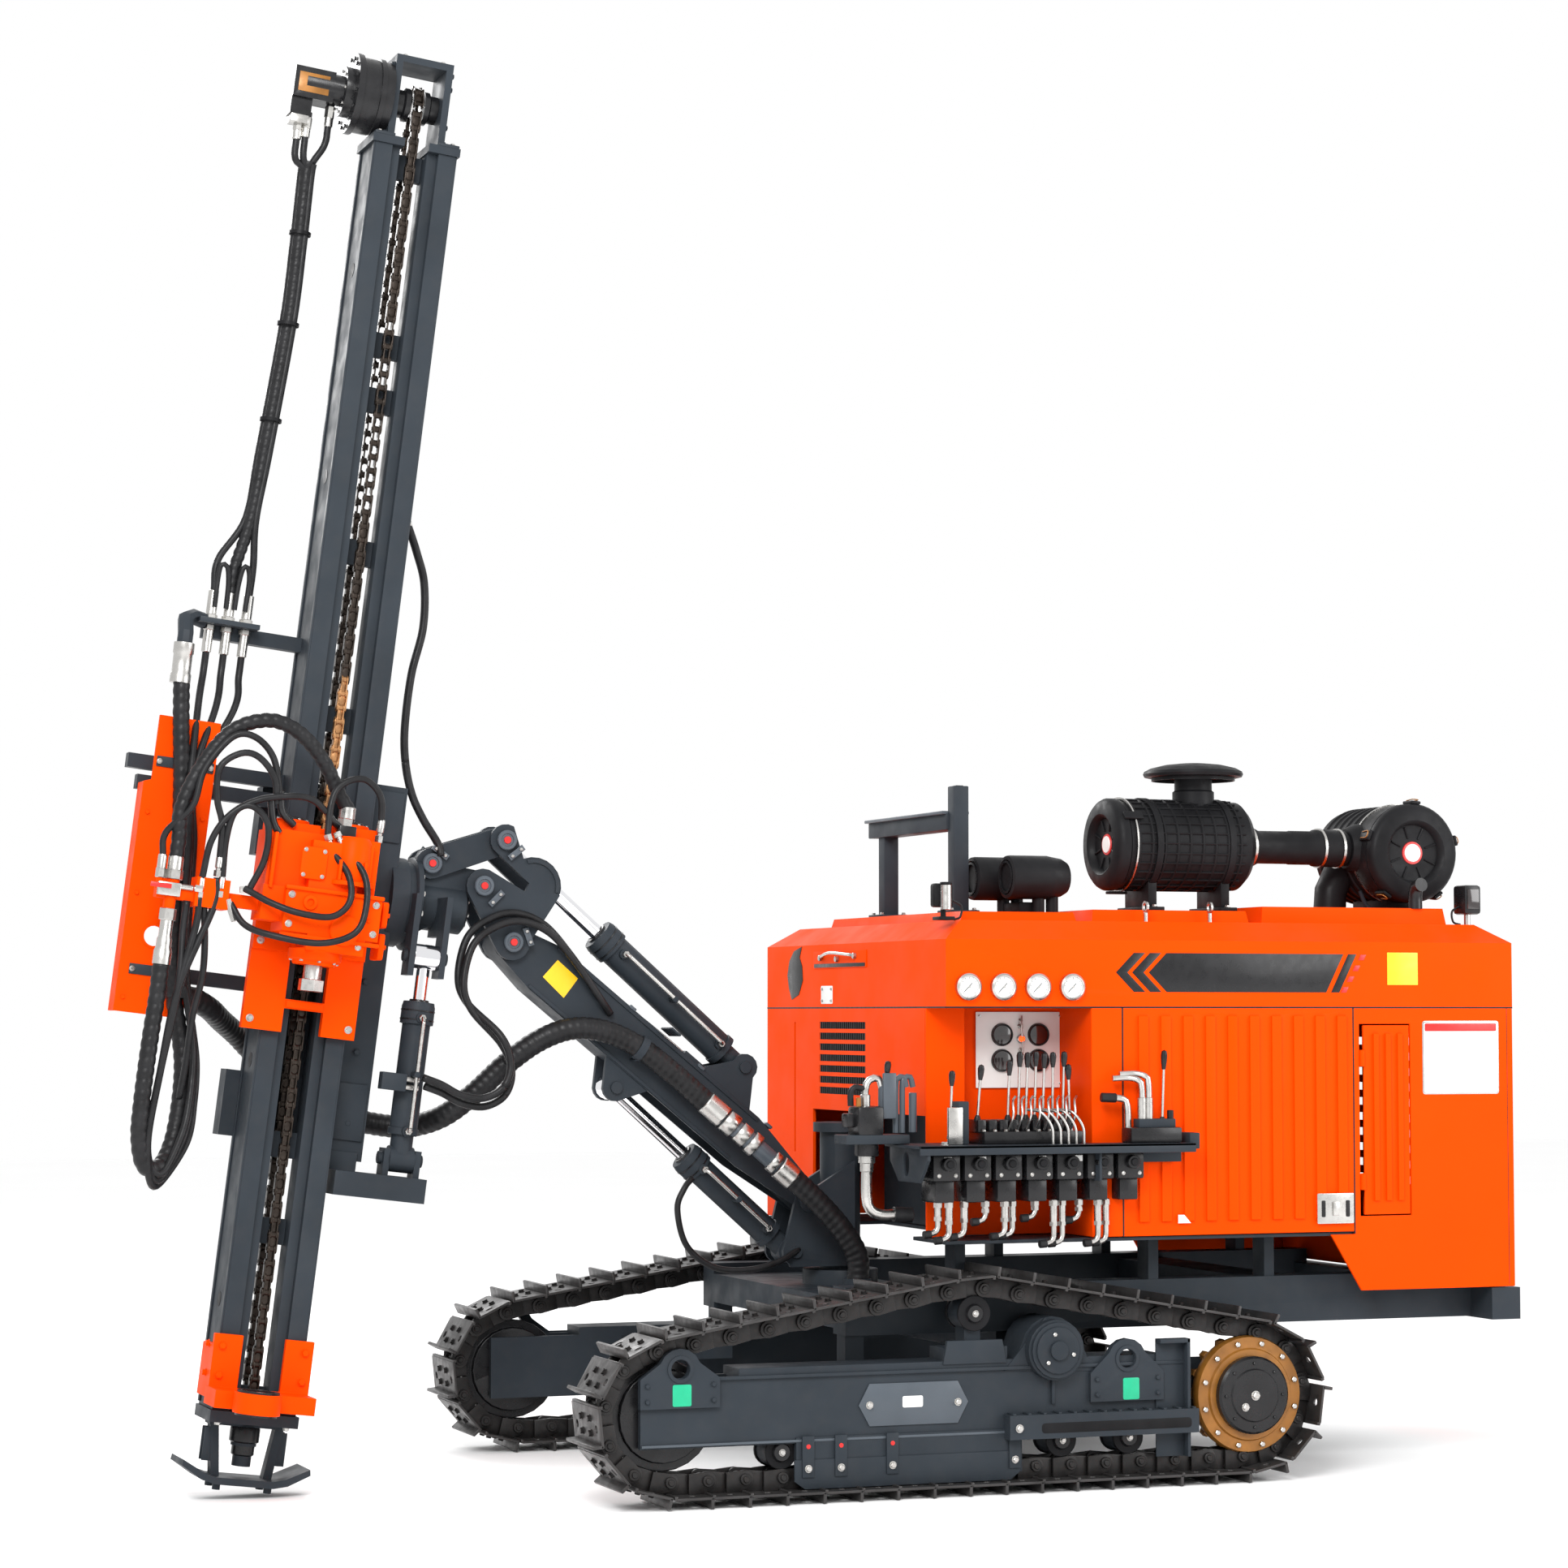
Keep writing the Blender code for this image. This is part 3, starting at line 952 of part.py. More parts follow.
def build_mast():
    body("mast", MAST @ Vector((0, 0, 0)), "cradle")
    shapes = []
    for side in (1, -1):
        x0, x1 = sorted((side * RAIL_IN, side * RAIL_OUT))
        shapes.append(box(x0, x1, RAIL_BACK, RAIL_FRONT, MAST_FOOT, MAST_TOP))
        x0, x1 = sorted((side * LIP_IN, side * (RAIL_IN + 0.01)))
        shapes.append(box(x0, x1, 0.12, 0.22, MAST_FOOT, MAST_TOP))
    # Cross plates behind the chain: height along the mast
    for z in (-1.78, -1.2, -0.90, -0.1, 0.6, 1.2, 1.75, 1.95, 2.60):
        shapes.append(box(-RAIL_IN - 0.01, RAIL_IN + 0.01, 0.125, 0.15, z - 0.045, z + 0.045))
    shapes.append(box(-0.155, 0.155, 0.02, 0.27, MAST_FOOT - 0.03, MAST_FOOT + 0.01))
    for x0, x1 in ((-0.16, -0.045), (0.045, 0.16)):
        shapes.append(box(x0, x1, 0.02, 0.26, MAST_TOP - 0.01, MAST_TOP + 0.02))
    # Arms that carry the hose tray and the hose plate: x reach, height
    for reach, z in ((0.70, 0.36), (0.66, 0.29), (0.60, -0.36)):
        shapes.append(box(RAIL_OUT - 0.01, reach, 0.05, 0.0997, z - 0.025, z + 0.025))
    low, high = PORT_PLATE
    shapes.append(box(RAIL_OUT - 0.01, 0.50, 0.05, 0.10, low - 0.045, low + 0.005))
    shapes.append(box(0.318, 0.53, 0.04, 0.18, low, high))
    for x in PORTS_X:
        shapes.append(bar((x, FEED_HOSE_Y, low - 0.07), (x, FEED_HOSE_Y, PORT_TOP), 0.016, sides=12))
    shapes.append(hose(ELBOW, 0.028))
    # Bracket over the feed sprocket
    for side in (1, -1):
        x0, x1 = sorted((side * BRACKET_IN, side * BRACKET_OUT))
        shapes.append(box(x0, x1, 0.05, 0.23, MAST_TOP, BRACKET_TOP - 0.01))
    shapes.append(box(-BRACKET_OUT, BRACKET_OUT, 0.05, 0.23, BRACKET_TOP - 0.025, BRACKET_TOP))
    node("mast_rails", "mast", GREY, fuse(*shapes), MAST)
    build_feed()
    build_guide_and_foot()
    # Tray behind the hoses: a plate, stepped on its outer edge, with a folded rim on each side and a round hole
    inner, outer, upper_outer, step_z, low, high = 0.413, 0.655, 0.628, 0.285, -0.51, 0.52
    plate = [(inner, low), (outer, low), (outer, step_z), (upper_outer, step_z + 0.01), (upper_outer, high), (inner, high)]
    tray = fuse(side_plate(plate, TRAY_Y - 0.015, TRAY_Y), box(inner, inner + 0.012, 0.10, TRAY_Y - 0.01, low, high),
                box(outer - 0.012, outer, 0.10, TRAY_Y - 0.01, low, step_z))
    tray = cut(tray, bar((0.549, 0.0, -0.24), (0.549, 0.3, -0.24), 0.035))
    node("hose_tray", "mast", ORANGE, tray, MAST)


def build_feed():
    z, y = FEED_Z, FEED_Y
    x = BRACKET_OUT + SEAT
    drive = fuse(bar((x, y, z), (x + 0.118, y, z), 0.135, sides=24), bar((x + 0.112, y, z), (x + 0.135, y, z), 0.145, sides=24),
                 bar((x + 0.13, y, z), (x + 0.165, y, z), 0.09), bar((x + 0.16, y, z), (x + 0.30, y, z), 0.055),
                 box(x + 0.20, x + 0.345, y - 0.05, y + 0.05, z - 0.06, z + 0.05),
                 box(x + 0.27, x + 0.345, y - 0.035, y + 0.035, z - 0.12, z - 0.05),
                 *[bar((px, y, z - 0.10), (px, y, pz), 0.015, sides=10) for px, pz in MOTOR_PORTS[:2]],
                 bar((MOTOR_PORTS[2][0], y, z), (MOTOR_PORTS[2][0], y, MOTOR_PORTS[2][1]), 0.015, sides=10))
    node("feed_drive", "mast", IRON, drive, MAST)
    half = BRACKET_IN - SEAT
    # The chain's front run: wide and narrow links in turn
    wide, narrow, low = 0.024, 0.017, -1.74
    count = round((z - low) / CHAIN_PITCH)
    step = (z - low) / count
    edge = []
    for i in range(count):
        start = low + step * i
        edge += [(wide, start), (wide, start + step * 0.55), (narrow, start + step * 0.62), (narrow, start + step * 0.93)]
    outline = edge + [(-width, height) for width, height in reversed(edge)]
    bush = [bar((side * 0.018, y, z), (side * half, y, z), 0.062, sides=14) for side in (1, -1)]
    chain = fuse(side_plate(outline, FEED_Y + 0.03, FEED_Y + 0.075), bar((-half, y, z), (half, y, z), 0.035), *bush,
                 bar((-0.012, y, z), (0.012, y, z), 0.07), box(-wide, wide, 0.1503, 0.20, MAST_FOOT + 0.01 + SEAT, -1.70))
    node("feed_chain", "mast", STEEL, chain, MAST)


def build_guide_and_foot():
    front = RAIL_FRONT + SEAT
    shapes = [box(-0.17, 0.18, front, 0.42, -1.80, -1.74)]
    for side in (1, -1):
        x0, x1 = sorted((side * 0.075, side * 0.175))
        shapes.append(box(x0, x1, front, 0.275, -1.80, -1.56))
        x0, x1 = sorted((side * (RAIL_OUT + SEAT), side * 0.175))
        shapes.append(box(x0, x1, 0.10, 0.27, -1.78, -1.60))
    guide = fuse(*shapes, bar((SPINDLE_X, SPINDLE_Y, -1.805), (SPINDLE_X, SPINDLE_Y, -1.735), 0.082))
    guide = cut(guide, bar((SPINDLE_X, SPINDLE_Y, -1.9), (SPINDLE_X, SPINDLE_Y, -1.6), 0.055))
    node("drill_guide", "mast", ORANGE, guide, MAST)
    top = MAST_FOOT - 0.03 - SEAT
    low = FOOT_LOW
    # Dished sole with raised ends, on two square legs
    sole = [(-0.225, low + 0.055), (-0.15, low + 0.012), (-0.10, low), (0.10, low), (0.15, low + 0.012), (0.225, low + 0.055),
            (0.222, low + 0.075), (0.14, low + 0.034), (0.10, low + 0.024), (-0.10, low + 0.024), (-0.14, low + 0.034), (-0.222, low + 0.075)]
    shapes = [side_plate(sole, 0.05, 0.25), bar((0, 0.15, top - 0.01), (0, 0.15, top - 0.08), 0.045), bar((0, 0.15, top - 0.075), (0, 0.15, top - 0.15), 0.033),
              box(-0.135, 0.135, 0.11, 0.19, top - 0.014, top)]
    for side in (1, -1):
        leg = [(side * 0.075, low + 0.01), (side * 0.105, low + 0.01), (side * 0.13, top - 0.008), (side * 0.10, top - 0.008)]
        shapes.append(side_plate(leg, 0.125, 0.175))
        for y in (0.09, 0.21):
            shapes.append(bar((side * 0.09, y, low - 0.02), (side * 0.09, y, low + 0.01), 0.014))
    node("mast_foot", "mast", GREY, fuse(*shapes), MAST)


def build_carriage():
    body("carriage", MAST @ Vector((0, RAIL_FRONT, -0.15)), "mast")
    front = RAIL_FRONT + SEAT
    shapes = []
    # Plate with two legs; between them a bar under the spindle
    low, bar_low, bar_high, slot_high, high = -0.515, -0.432, -0.400, -0.24, 0.20
    for x0, x1 in ((-0.175, -0.055), (0.085, 0.225)):
        shapes.append(box(x0, x1, front, 0.285, low, slot_high + 0.01))
    shapes = [box(-0.175, 0.225, front, 0.30, slot_high, high), *shapes, box(-0.06, 0.09, front, 0.285, bar_low, bar_high)]
    for side in (1, -1):
        x0, x1 = sorted((side * (RAIL_OUT + 0.003), side * 0.165))
        shapes.append(box(x0, x1, 0.16, 0.28, -0.36, 0.18))
    node("sled", "carriage", ORANGE, fuse(*shapes), MAST)
    x, y = SPINDLE_X, SPINDLE_Y
    # Gearbox, its upper casing with the motor's housing, and the sleeve round the spindle
    shapes = [box(-0.145, 0.19, 0.38, 0.56, -0.18, -0.03), box(-0.128, 0.255, 0.3003, 0.50, -0.06, 0.165),
              box(-0.10, 0.10, 0.3003, 0.56, -0.235, -0.17), box(0.18, 0.262, 0.38, 0.52, -0.15, -0.03),
              box(-0.055, 0.115, 0.49, 0.545, -0.05, 0.14), bar((x, y, -0.17), (x, y, -0.28), 0.075, end_radius=0.062)]
    shapes.append(box(-0.12, 0.03, 0.33, 0.47, 0.15, HEAD_TOP))
    shapes.append(box(0.08, 0.25, 0.33, 0.47, 0.15, HEAD_TOP - 0.01))
    # Arm with its valve block; fittings for the hoses stand on its end and hang under it
    shapes.append(box(0.24, 0.612, 0.42, 0.47, -0.12, -0.075))
    shapes.append(box(0.371, 0.485, 0.40, 0.50, -0.135, -0.035))
    for hose_x, size in ((ARCH_X, 0.022), (ARCH_X + 0.047, 0.012)):
        shapes.append(bar((hose_x, ARM_Y, -0.09), (hose_x, ARM_Y, ARM_TOP), size, sides=12))
    loop_x, loop_y, loop_z = LOOP_ROUTE[-1]
    shapes.append(bar((loop_x, loop_y, -0.10), (loop_x, loop_y, loop_z), 0.021, sides=12))
    node("rotary_head", "carriage", ORANGE, fuse(*shapes), MAST)
    body("spindle", MAST @ Vector((x, y, -0.3)), "carriage")
    node("spindle", "spindle", CHROME, fuse(bar((x, y, -0.2803), (x, y, -0.34), 0.032), bar((x, y, -0.33), (x, y, -0.37), 0.045, sides=6)), MAST)


def build_cylinders():
    side = (0, -1, 0)
    for name, parent, foot in (("lift", "swing", LIFT_FOOT), ("pitch", "boom", PITCH_FOOT)):
        body(name + "_barrel", at(foot), parent)
        body(name + "_rod", at(foot), name + "_barrel")
    foot, eye = (MAST @ Vector((SWING_X, SWING_Y, z)) for z in (SWING_FOOT_Z, SWING_EYE_Z))
    body("mast_swing_barrel", foot, "cradle")
    body("mast_swing_rod", foot, "mast_swing_barrel")
    cylinder("lift", at(LIFT_FOOT), at(LIFT_EAR), side, 0.53, 0.20, 0.10, 0.052, 0.027)
    cylinder("pitch", at(PITCH_FOOT), at(ROD_PIN), side, 0.725, 0.42, 0.08, 0.058, 0.030)
    cylinder("mast_swing", foot, eye, MAST.to_3x3() @ Vector((1, 0, 0)), 0.55, 0.20, 0.10, 0.05, 0.024)


def build_rig():
    body("chassis", (0, 0, 0))
    build_chassis()
    for name, side in (("left", 1), ("right", -1)):
        build_track(name, side)
        build_track_frame(name, side)
        build_idler(name, side)
        build_sprocket(name, side)
    build_house()
    build_roof()
    build_controls()
    build_swing_post()
    build_boom()
    build_knuckle()
    build_cradle()
    build_mast()
    build_carriage()
    build_cylinders()
    build_hoses()
    BODIES["chassis"][0].location.x = -CENTRE_X


build_rig()
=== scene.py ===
# Looks of a crawler-mounted down-the-hole drilling rig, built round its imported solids.
import bpy
import bmesh
import itertools
import json
from math import acos, atan2, cos, hypot, pi, radians, sin
from mathutils import Matrix, Vector


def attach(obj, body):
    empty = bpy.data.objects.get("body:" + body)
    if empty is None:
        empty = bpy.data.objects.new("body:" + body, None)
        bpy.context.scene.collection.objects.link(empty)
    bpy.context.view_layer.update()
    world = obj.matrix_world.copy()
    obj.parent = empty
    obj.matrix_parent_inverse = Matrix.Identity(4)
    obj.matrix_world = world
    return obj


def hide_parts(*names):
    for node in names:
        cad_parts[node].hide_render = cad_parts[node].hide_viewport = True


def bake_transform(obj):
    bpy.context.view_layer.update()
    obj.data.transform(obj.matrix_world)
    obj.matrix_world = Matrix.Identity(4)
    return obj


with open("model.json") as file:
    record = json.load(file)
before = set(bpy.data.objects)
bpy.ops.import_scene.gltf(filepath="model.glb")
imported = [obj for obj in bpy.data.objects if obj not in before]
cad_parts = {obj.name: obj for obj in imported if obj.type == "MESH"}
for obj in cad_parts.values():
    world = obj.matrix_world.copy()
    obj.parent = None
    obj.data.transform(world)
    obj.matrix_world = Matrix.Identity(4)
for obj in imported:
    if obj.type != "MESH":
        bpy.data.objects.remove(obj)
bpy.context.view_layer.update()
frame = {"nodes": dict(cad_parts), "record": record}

# Directions, in the machine's frame or in the mast's
FORWARD = (1, 0, 0)
BACKWARD = (-1, 0, 0)
LEFT = (0, 1, 0)
UP = (0, 0, 1)
DOWN = (0, 0, -1)

# Frames: the machine's own one has its origin midway between the idlers and sprockets
CENTRE_X = 0.245
MACHINE = Matrix.Translation((-CENTRE_X, 0, 0))
MAST_LEAN = radians(7.0)
MAST_AT = (2.0835, 0.0, 2.1006)
MAST = MACHINE @ Matrix.Translation(MAST_AT) @ Matrix.Rotation(-MAST_LEAN, 4, "Y")

# Camera: focal length in pixels of the square photograph, and its place in the machine's frame
PHOTO_SIZE = 1932
FOCAL_PIXELS = 4600
SENSOR = 36
CAMERA_YAW = radians(20.6)
CAMERA_PITCH = radians(3.53)
CAMERA_AT = (5.14852, 12.98312, 1.66034)

# Angles past which an edge is drawn sharp, on forms made here and on softened solids
SHARP_FORM = radians(38)
SHARP_SOLID = radians(35)


def look_from_photo():
    data = bpy.data.cameras.new("photo_camera")
    data.sensor_width = SENSOR
    data.sensor_height = SENSOR
    data.lens = SENSOR * FOCAL_PIXELS / PHOTO_SIZE
    data.clip_end = 200
    camera = bpy.data.objects.new("photo_camera", data)
    bpy.context.scene.collection.objects.link(camera)
    level = Vector((-sin(CAMERA_YAW), -cos(CAMERA_YAW), 0))
    forward = level * cos(CAMERA_PITCH) + Vector((0, 0, sin(CAMERA_PITCH)))
    right = Vector((-cos(CAMERA_YAW), sin(CAMERA_YAW), 0))
    up = right.cross(forward)
    camera.matrix_world = MACHINE @ Matrix.Translation(CAMERA_AT) @ Matrix((right, up,
                                                                            -forward)).transposed().to_4x4()
    bpy.context.scene.camera = camera


# Materials

def fresh(name):
    made = bpy.data.materials.new(name)
    made.use_nodes = True
    return made, made.node_tree, made.node_tree.nodes["Principled BSDF"]


def noise(tree, scale, detail=3.0, stretch=None):
    coords = tree.nodes.new("ShaderNodeTexCoord")
    texture = tree.nodes.new("ShaderNodeTexNoise")
    texture.inputs["Scale"].default_value = scale
    texture.inputs["Detail"].default_value = detail
    if stretch:
        mapping = tree.nodes.new("ShaderNodeMapping")
        mapping.inputs["Scale"].default_value = stretch
        tree.links.new(coords.outputs["Object"], mapping.inputs["Vector"])
        tree.links.new(mapping.outputs["Vector"], texture.inputs["Vector"])
    else:
        tree.links.new(coords.outputs["Object"], texture.inputs["Vector"])
    return texture.outputs["Fac"]


def ramp(tree, fac, stops):
    made = tree.nodes.new("ShaderNodeValToRGB")
    element = made.color_ramp.elements
    element[0].position, element[0].color = stops[0][0], (*stops[0][1], 1)
    element[1].position, element[1].color = stops[-1][0], (*stops[-1][1], 1)
    for place, colour in stops[1:-1]:
        element.new(place).color = (*colour, 1)
    tree.links.new(fac, made.inputs["Fac"])
    return made.outputs["Color"]


def bump(tree, shader, fac, strength, distance=0.001):
    made = tree.nodes.new("ShaderNodeBump")
    made.inputs["Strength"].default_value = strength
    made.inputs["Distance"].default_value = distance
    tree.links.new(fac, made.inputs["Height"])
    tree.links.new(made.outputs["Normal"], shader.inputs["Normal"])


def tint(colour, share):
    return tuple(min(1.0, max(0.0, c * share)) for c in colour)


def finish(name, colour, roughness, metallic=0.0, coat=0.0, spread=0.12, mottle=6.0, grain=300.0,
           grain_depth=0.05, stretch=None, dust=None, specular=0.5):
    """A painted, cast or moulded surface: uneven tone and gloss, a fine grain and some dust."""
    made, tree, shader = fresh(name)
    patches = noise(tree, mottle, 4.0, stretch)
    colours = ramp(tree, patches, ((0.3, tint(colour, 1 - spread)), (0.5, colour),
                                   (0.72, tint(colour, 1 + spread))))
    if dust:
        amount, dust_colour = dust
        specks = ramp(tree, noise(tree, mottle * 5, 6.0),
                      ((0.45, (0, 0, 0)), (0.8, (amount, amount, amount))))
        mix = tree.nodes.new("ShaderNodeMix")
        mix.data_type = "RGBA"
        mix.inputs["B"].default_value = (*dust_colour, 1)
        tree.links.new(specks, mix.inputs["Factor"])
        tree.links.new(colours, mix.inputs["A"])
        colours = mix.outputs["Result"]
    tree.links.new(colours, shader.inputs["Base Color"])
    gloss = ramp(tree, noise(tree, mottle * 2.7, 3.0, stretch),
                 ((0.35, (roughness * 0.8,) * 3), (0.7, (min(1, roughness * 1.25),) * 3)))
    tree.links.new(gloss, shader.inputs["Roughness"])
    shader.inputs["Metallic"].default_value = metallic
    shader.inputs["Specular IOR Level"].default_value = specular
    if coat:
        shader.inputs["Coat Weight"].default_value = coat
        shader.inputs["Coat Roughness"].default_value = 0.12
    bump(tree, shader, noise(tree, grain, 2.0), grain_depth)
    return made


def glowing(name, colour, strength):
    made, tree, shader = fresh(name)
    shader.inputs["Base Color"].default_value = (*colour, 1)
    shader.inputs["Emission Color"].default_value = (*colour, 1)
    shader.inputs["Emission Strength"].default_value = strength
    bump(tree, shader, noise(tree, 200.0), 0.05)
    return made


DUST = (0.10, 0.085, 0.07)
ORANGE = finish("orange_enamel", (0.80, 0.054, 0.0), 0.45, spread=0.04, mottle=2.0, grain=420.0,
                specular=0.03)
GREY = finish("grey_enamel", (0.025, 0.031, 0.038), 0.50, spread=0.14, mottle=3.5, dust=(0.06, DUST),
              specular=0.12)
PALE_GREY = finish("pale_grey_enamel", (0.060, 0.073, 0.088), 0.42, coat=0.1, spread=0.12, mottle=5.0,
                   specular=0.35)
MATT_BLACK = finish("black_moulding", (0.010, 0.010, 0.011), 0.45, spread=0.25, mottle=9.0, grain=500.0,
                    grain_depth=0.12, specular=0.10)
GLOSS_BLACK = finish("black_enamel", (0.009, 0.009, 0.010), 0.30, coat=0.05, spread=0.25, mottle=12.0,
                     specular=0.30)
RUBBER = finish("hose_rubber", (0.012, 0.012, 0.013), 0.42, spread=0.3, mottle=20.0, grain=600.0,
                grain_depth=0.1, specular=0.20)
CAST = finish("track_iron", (0.016, 0.015, 0.015), 0.42, metallic=0.45, spread=0.35, mottle=14.0,
              grain=260.0, grain_depth=0.25, dust=(0.18, (0.05, 0.03, 0.02)))
SHOE = finish("shoe_iron", (0.045, 0.043, 0.043), 0.40, metallic=0.55, spread=0.30, mottle=11.0, grain=240.0,
              grain_depth=0.25, dust=(0.2, (0.06, 0.045, 0.035)))
STEEL = finish("bright_steel", (0.50, 0.49, 0.47), 0.30, metallic=1.0, spread=0.08, mottle=18.0,
               grain_depth=0.006)
ROD = finish("chromed_rod", (0.80, 0.80, 0.82), 0.09, metallic=1.0, spread=0.03, mottle=6.0,
             grain_depth=0.01)
OCHRE = finish("ochre_enamel", (0.26, 0.105, 0.015), 0.40, metallic=0.2, spread=0.25, mottle=14.0)
CHAIN = finish("oiled_chain", (0.030, 0.022, 0.017), 0.36, metallic=0.7, spread=0.35, mottle=25.0)
RUSTY_CHAIN = finish("bare_chain", (0.34, 0.17, 0.07), 0.38, metallic=0.7, spread=0.4, mottle=30.0)
DIAL = finish("dial_face", (0.78, 0.79, 0.78), 0.35, coat=0.6, spread=0.03, mottle=30.0, grain_depth=0.01)
WHITE = finish("white_plate", (0.74, 0.74, 0.72), 0.38, spread=0.04, mottle=8.0)
YELLOW = finish("yellow_label", (0.85, 0.50, 0.01), 0.38, spread=0.05, mottle=10.0)
GREEN = finish("green_label", (0.0, 0.40, 0.20), 0.38, spread=0.08, mottle=20.0)
RED = finish("red_label", (0.55, 0.012, 0.010), 0.35, spread=0.1, mottle=20.0)
LENS = finish("tinted_lens", (0.015, 0.010, 0.010), 0.08, coat=0.9, spread=0.3, mottle=40.0, grain_depth=0.0)
LAMP = glowing("warning_lamp", (1.0, 0.09, 0.01), 1.6)


# Shapes

class Form:
    """Closed shapes gathered into one mesh, each with its own material."""

    def __init__(self, place=MACHINE):
        self.bm = bmesh.new()
        self.place = place
        self.kinds = []

    def gather(self, bm, kind, place=None, smooth=False):
        """Adds a closed shape in one material."""
        if kind not in self.kinds:
            self.kinds.append(kind)
        bm.transform(self.place if place is None else self.place @ place)
        bmesh.ops.recalc_face_normals(bm, faces=bm.faces)
        for face in bm.faces:
            face.material_index = self.kinds.index(kind)
            face.smooth = smooth
        mesh = bpy.data.meshes.new("lump")
        bm.to_mesh(mesh)
        bm.free()
        self.bm.from_mesh(mesh)
        bpy.data.meshes.remove(mesh)

    def box(self, x0, x1, y0, y1, z0, z1, kind, bevel=0.003, place=None):
        """A block with rounded edges."""
        bm = bmesh.new()
        bmesh.ops.create_cube(bm, size=1.0)
        for vert in bm.verts:
            vert.co.x = x1 if vert.co.x > 0 else x0
            vert.co.y = y1 if vert.co.y > 0 else y0
            vert.co.z = z1 if vert.co.z > 0 else z0
        width = min(bevel, 0.3 * min(x1 - x0, y1 - y0, z1 - z0))
        if width > 0:
            bmesh.ops.bevel(bm, geom=bm.edges[:], offset=width, segments=2, affect="EDGES", profile=0.5)
        self.gather(bm, kind, place)

    def bar(self, a, b, radius, kind, end_radius=None, sides=24, bevel=0.002, place=None):
        """A round bar or cone from a to b, its rims rounded."""
        a, b = Vector(a), Vector(b)
        tip = radius if end_radius is None else end_radius
        length = (b - a).length
        rim = min(bevel, 0.3 * min(radius, tip, length))
        profile = [(0, 0), (radius - rim, 0), (radius, rim), (tip, length - rim), (tip - rim, length),
                   (0, length)]
        self.turned(profile, a, b - a, kind, sides, place)

    def turned(self, profile, at, along, kind, sides=24, place=None, smooth=True):
        """A profile (radius, height) turned about an axis. It starts and ends there, or closes on itself."""
        bm = bmesh.new()
        rings = []
        for radius, height in profile:
            if radius < 1e-6:
                rings.append([bm.verts.new((0, 0, height))])
                continue
            turn = [2 * pi * i / sides for i in range(sides)]
            rings.append([bm.verts.new((radius * cos(t), radius * sin(t), height)) for t in turn])
        pairs = list(zip(rings, rings[1:]))
        if len(rings[0]) > 1:
            pairs.append((rings[-1], rings[0]))
        for low, high in pairs:
            for i in range(sides):
                j = (i + 1) % sides
                loop = [low[i % len(low)], low[j % len(low)], high[j % len(high)], high[i % len(high)]]
                loop = [v for k, v in enumerate(loop) if v not in loop[:k]]
                if len(loop) > 2:
                    bm.faces.new(loop)
        turn = Vector(along).to_track_quat("Z", "Y").to_matrix().to_4x4()
        here = Matrix.Translation(Vector(at)) @ turn
        self.gather(bm, kind, here if place is None else place @ here, smooth)

    def plate(self, outline, y0, y1, kind, holes=(), bevel=0.002, place=None, flat=False):
        """An outline in XZ between two values of Y, or, flat, one in XY between two values of Z."""
        curve = bpy.data.curves.new("outline", "CURVE")
        curve.dimensions = "2D"
        curve.fill_mode = "BOTH"
        low, high = sorted((y0, y1))
        rim = min(bevel, (high - low) * 0.3)
        curve.extrude = (high - low) / 2 - rim
        curve.bevel_depth = rim
        curve.bevel_resolution = 1
        curve.offset = -rim
        for points in (outline, *holes):
            spline = curve.splines.new("POLY")
            spline.points.add(len(points) - 1)
            for point, (x, y) in zip(spline.points, points):
                point.co = (x, y, 0, 1)
            spline.use_cyclic_u = True
        shape = bpy.data.objects.new("outline", curve)
        bpy.context.scene.collection.objects.link(shape)
        mesh = bpy.data.meshes.new_from_object(shape.evaluated_get(bpy.context.evaluated_depsgraph_get()))
        bpy.data.objects.remove(shape)
        bm = bmesh.new()
        bm.from_mesh(mesh)
        bpy.data.meshes.remove(mesh)
        bmesh.ops.remove_doubles(bm, verts=bm.verts, dist=0.00002)
        bm.transform(Matrix.Translation((0, 0, (low + high) / 2)))
        if not flat:
            bm.transform(Matrix(((1, 0, 0, 0), (0, 0, 1, 0), (0, 1, 0, 0), (0, 0, 0, 1))))
        self.gather(bm, kind, place)

    def bolt(self, at, along, size, kind=STEEL, place=None, washer=True):
        """A hexagon head on its washer."""
        at, along = Vector(at), Vector(along).normalized()
        if washer:
            self.bar(at, at + along * size * 0.22, size * 1.25, kind, sides=16, bevel=0.0005, place=place)
        self.turned([(0, 0), (size, 0), (size, size * 0.75), (size * 0.8, size * 0.9), (0, size * 0.9)],
                    at + along * size * 0.15, along, kind, 6, place, smooth=False)

    def bolts(self, xs, ys, zs, along, size, kind=STEEL, washer=True):
        """Bolts at every crossing of the places in x, y and z, each given as one value or several."""
        several = [value if isinstance(value, (tuple, list)) else (value,) for value in (xs, ys, zs)]
        for at in itertools.product(*several):
            self.bolt(at, along, size, kind, washer=washer)

    def post(self, x, y, z0, z1, radius, kind, sides=24):
        """An upright round bar."""
        self.bar((x, y, z0), (x, y, z1), radius, kind, sides=sides)

    def tube(self, points, radius, kind, place=None, sides=12):
        """A bent tube through points, round in section and closed at its ends."""
        self.sweep(smooth_path(points, radius * 1.2), radius, kind, place, sides)

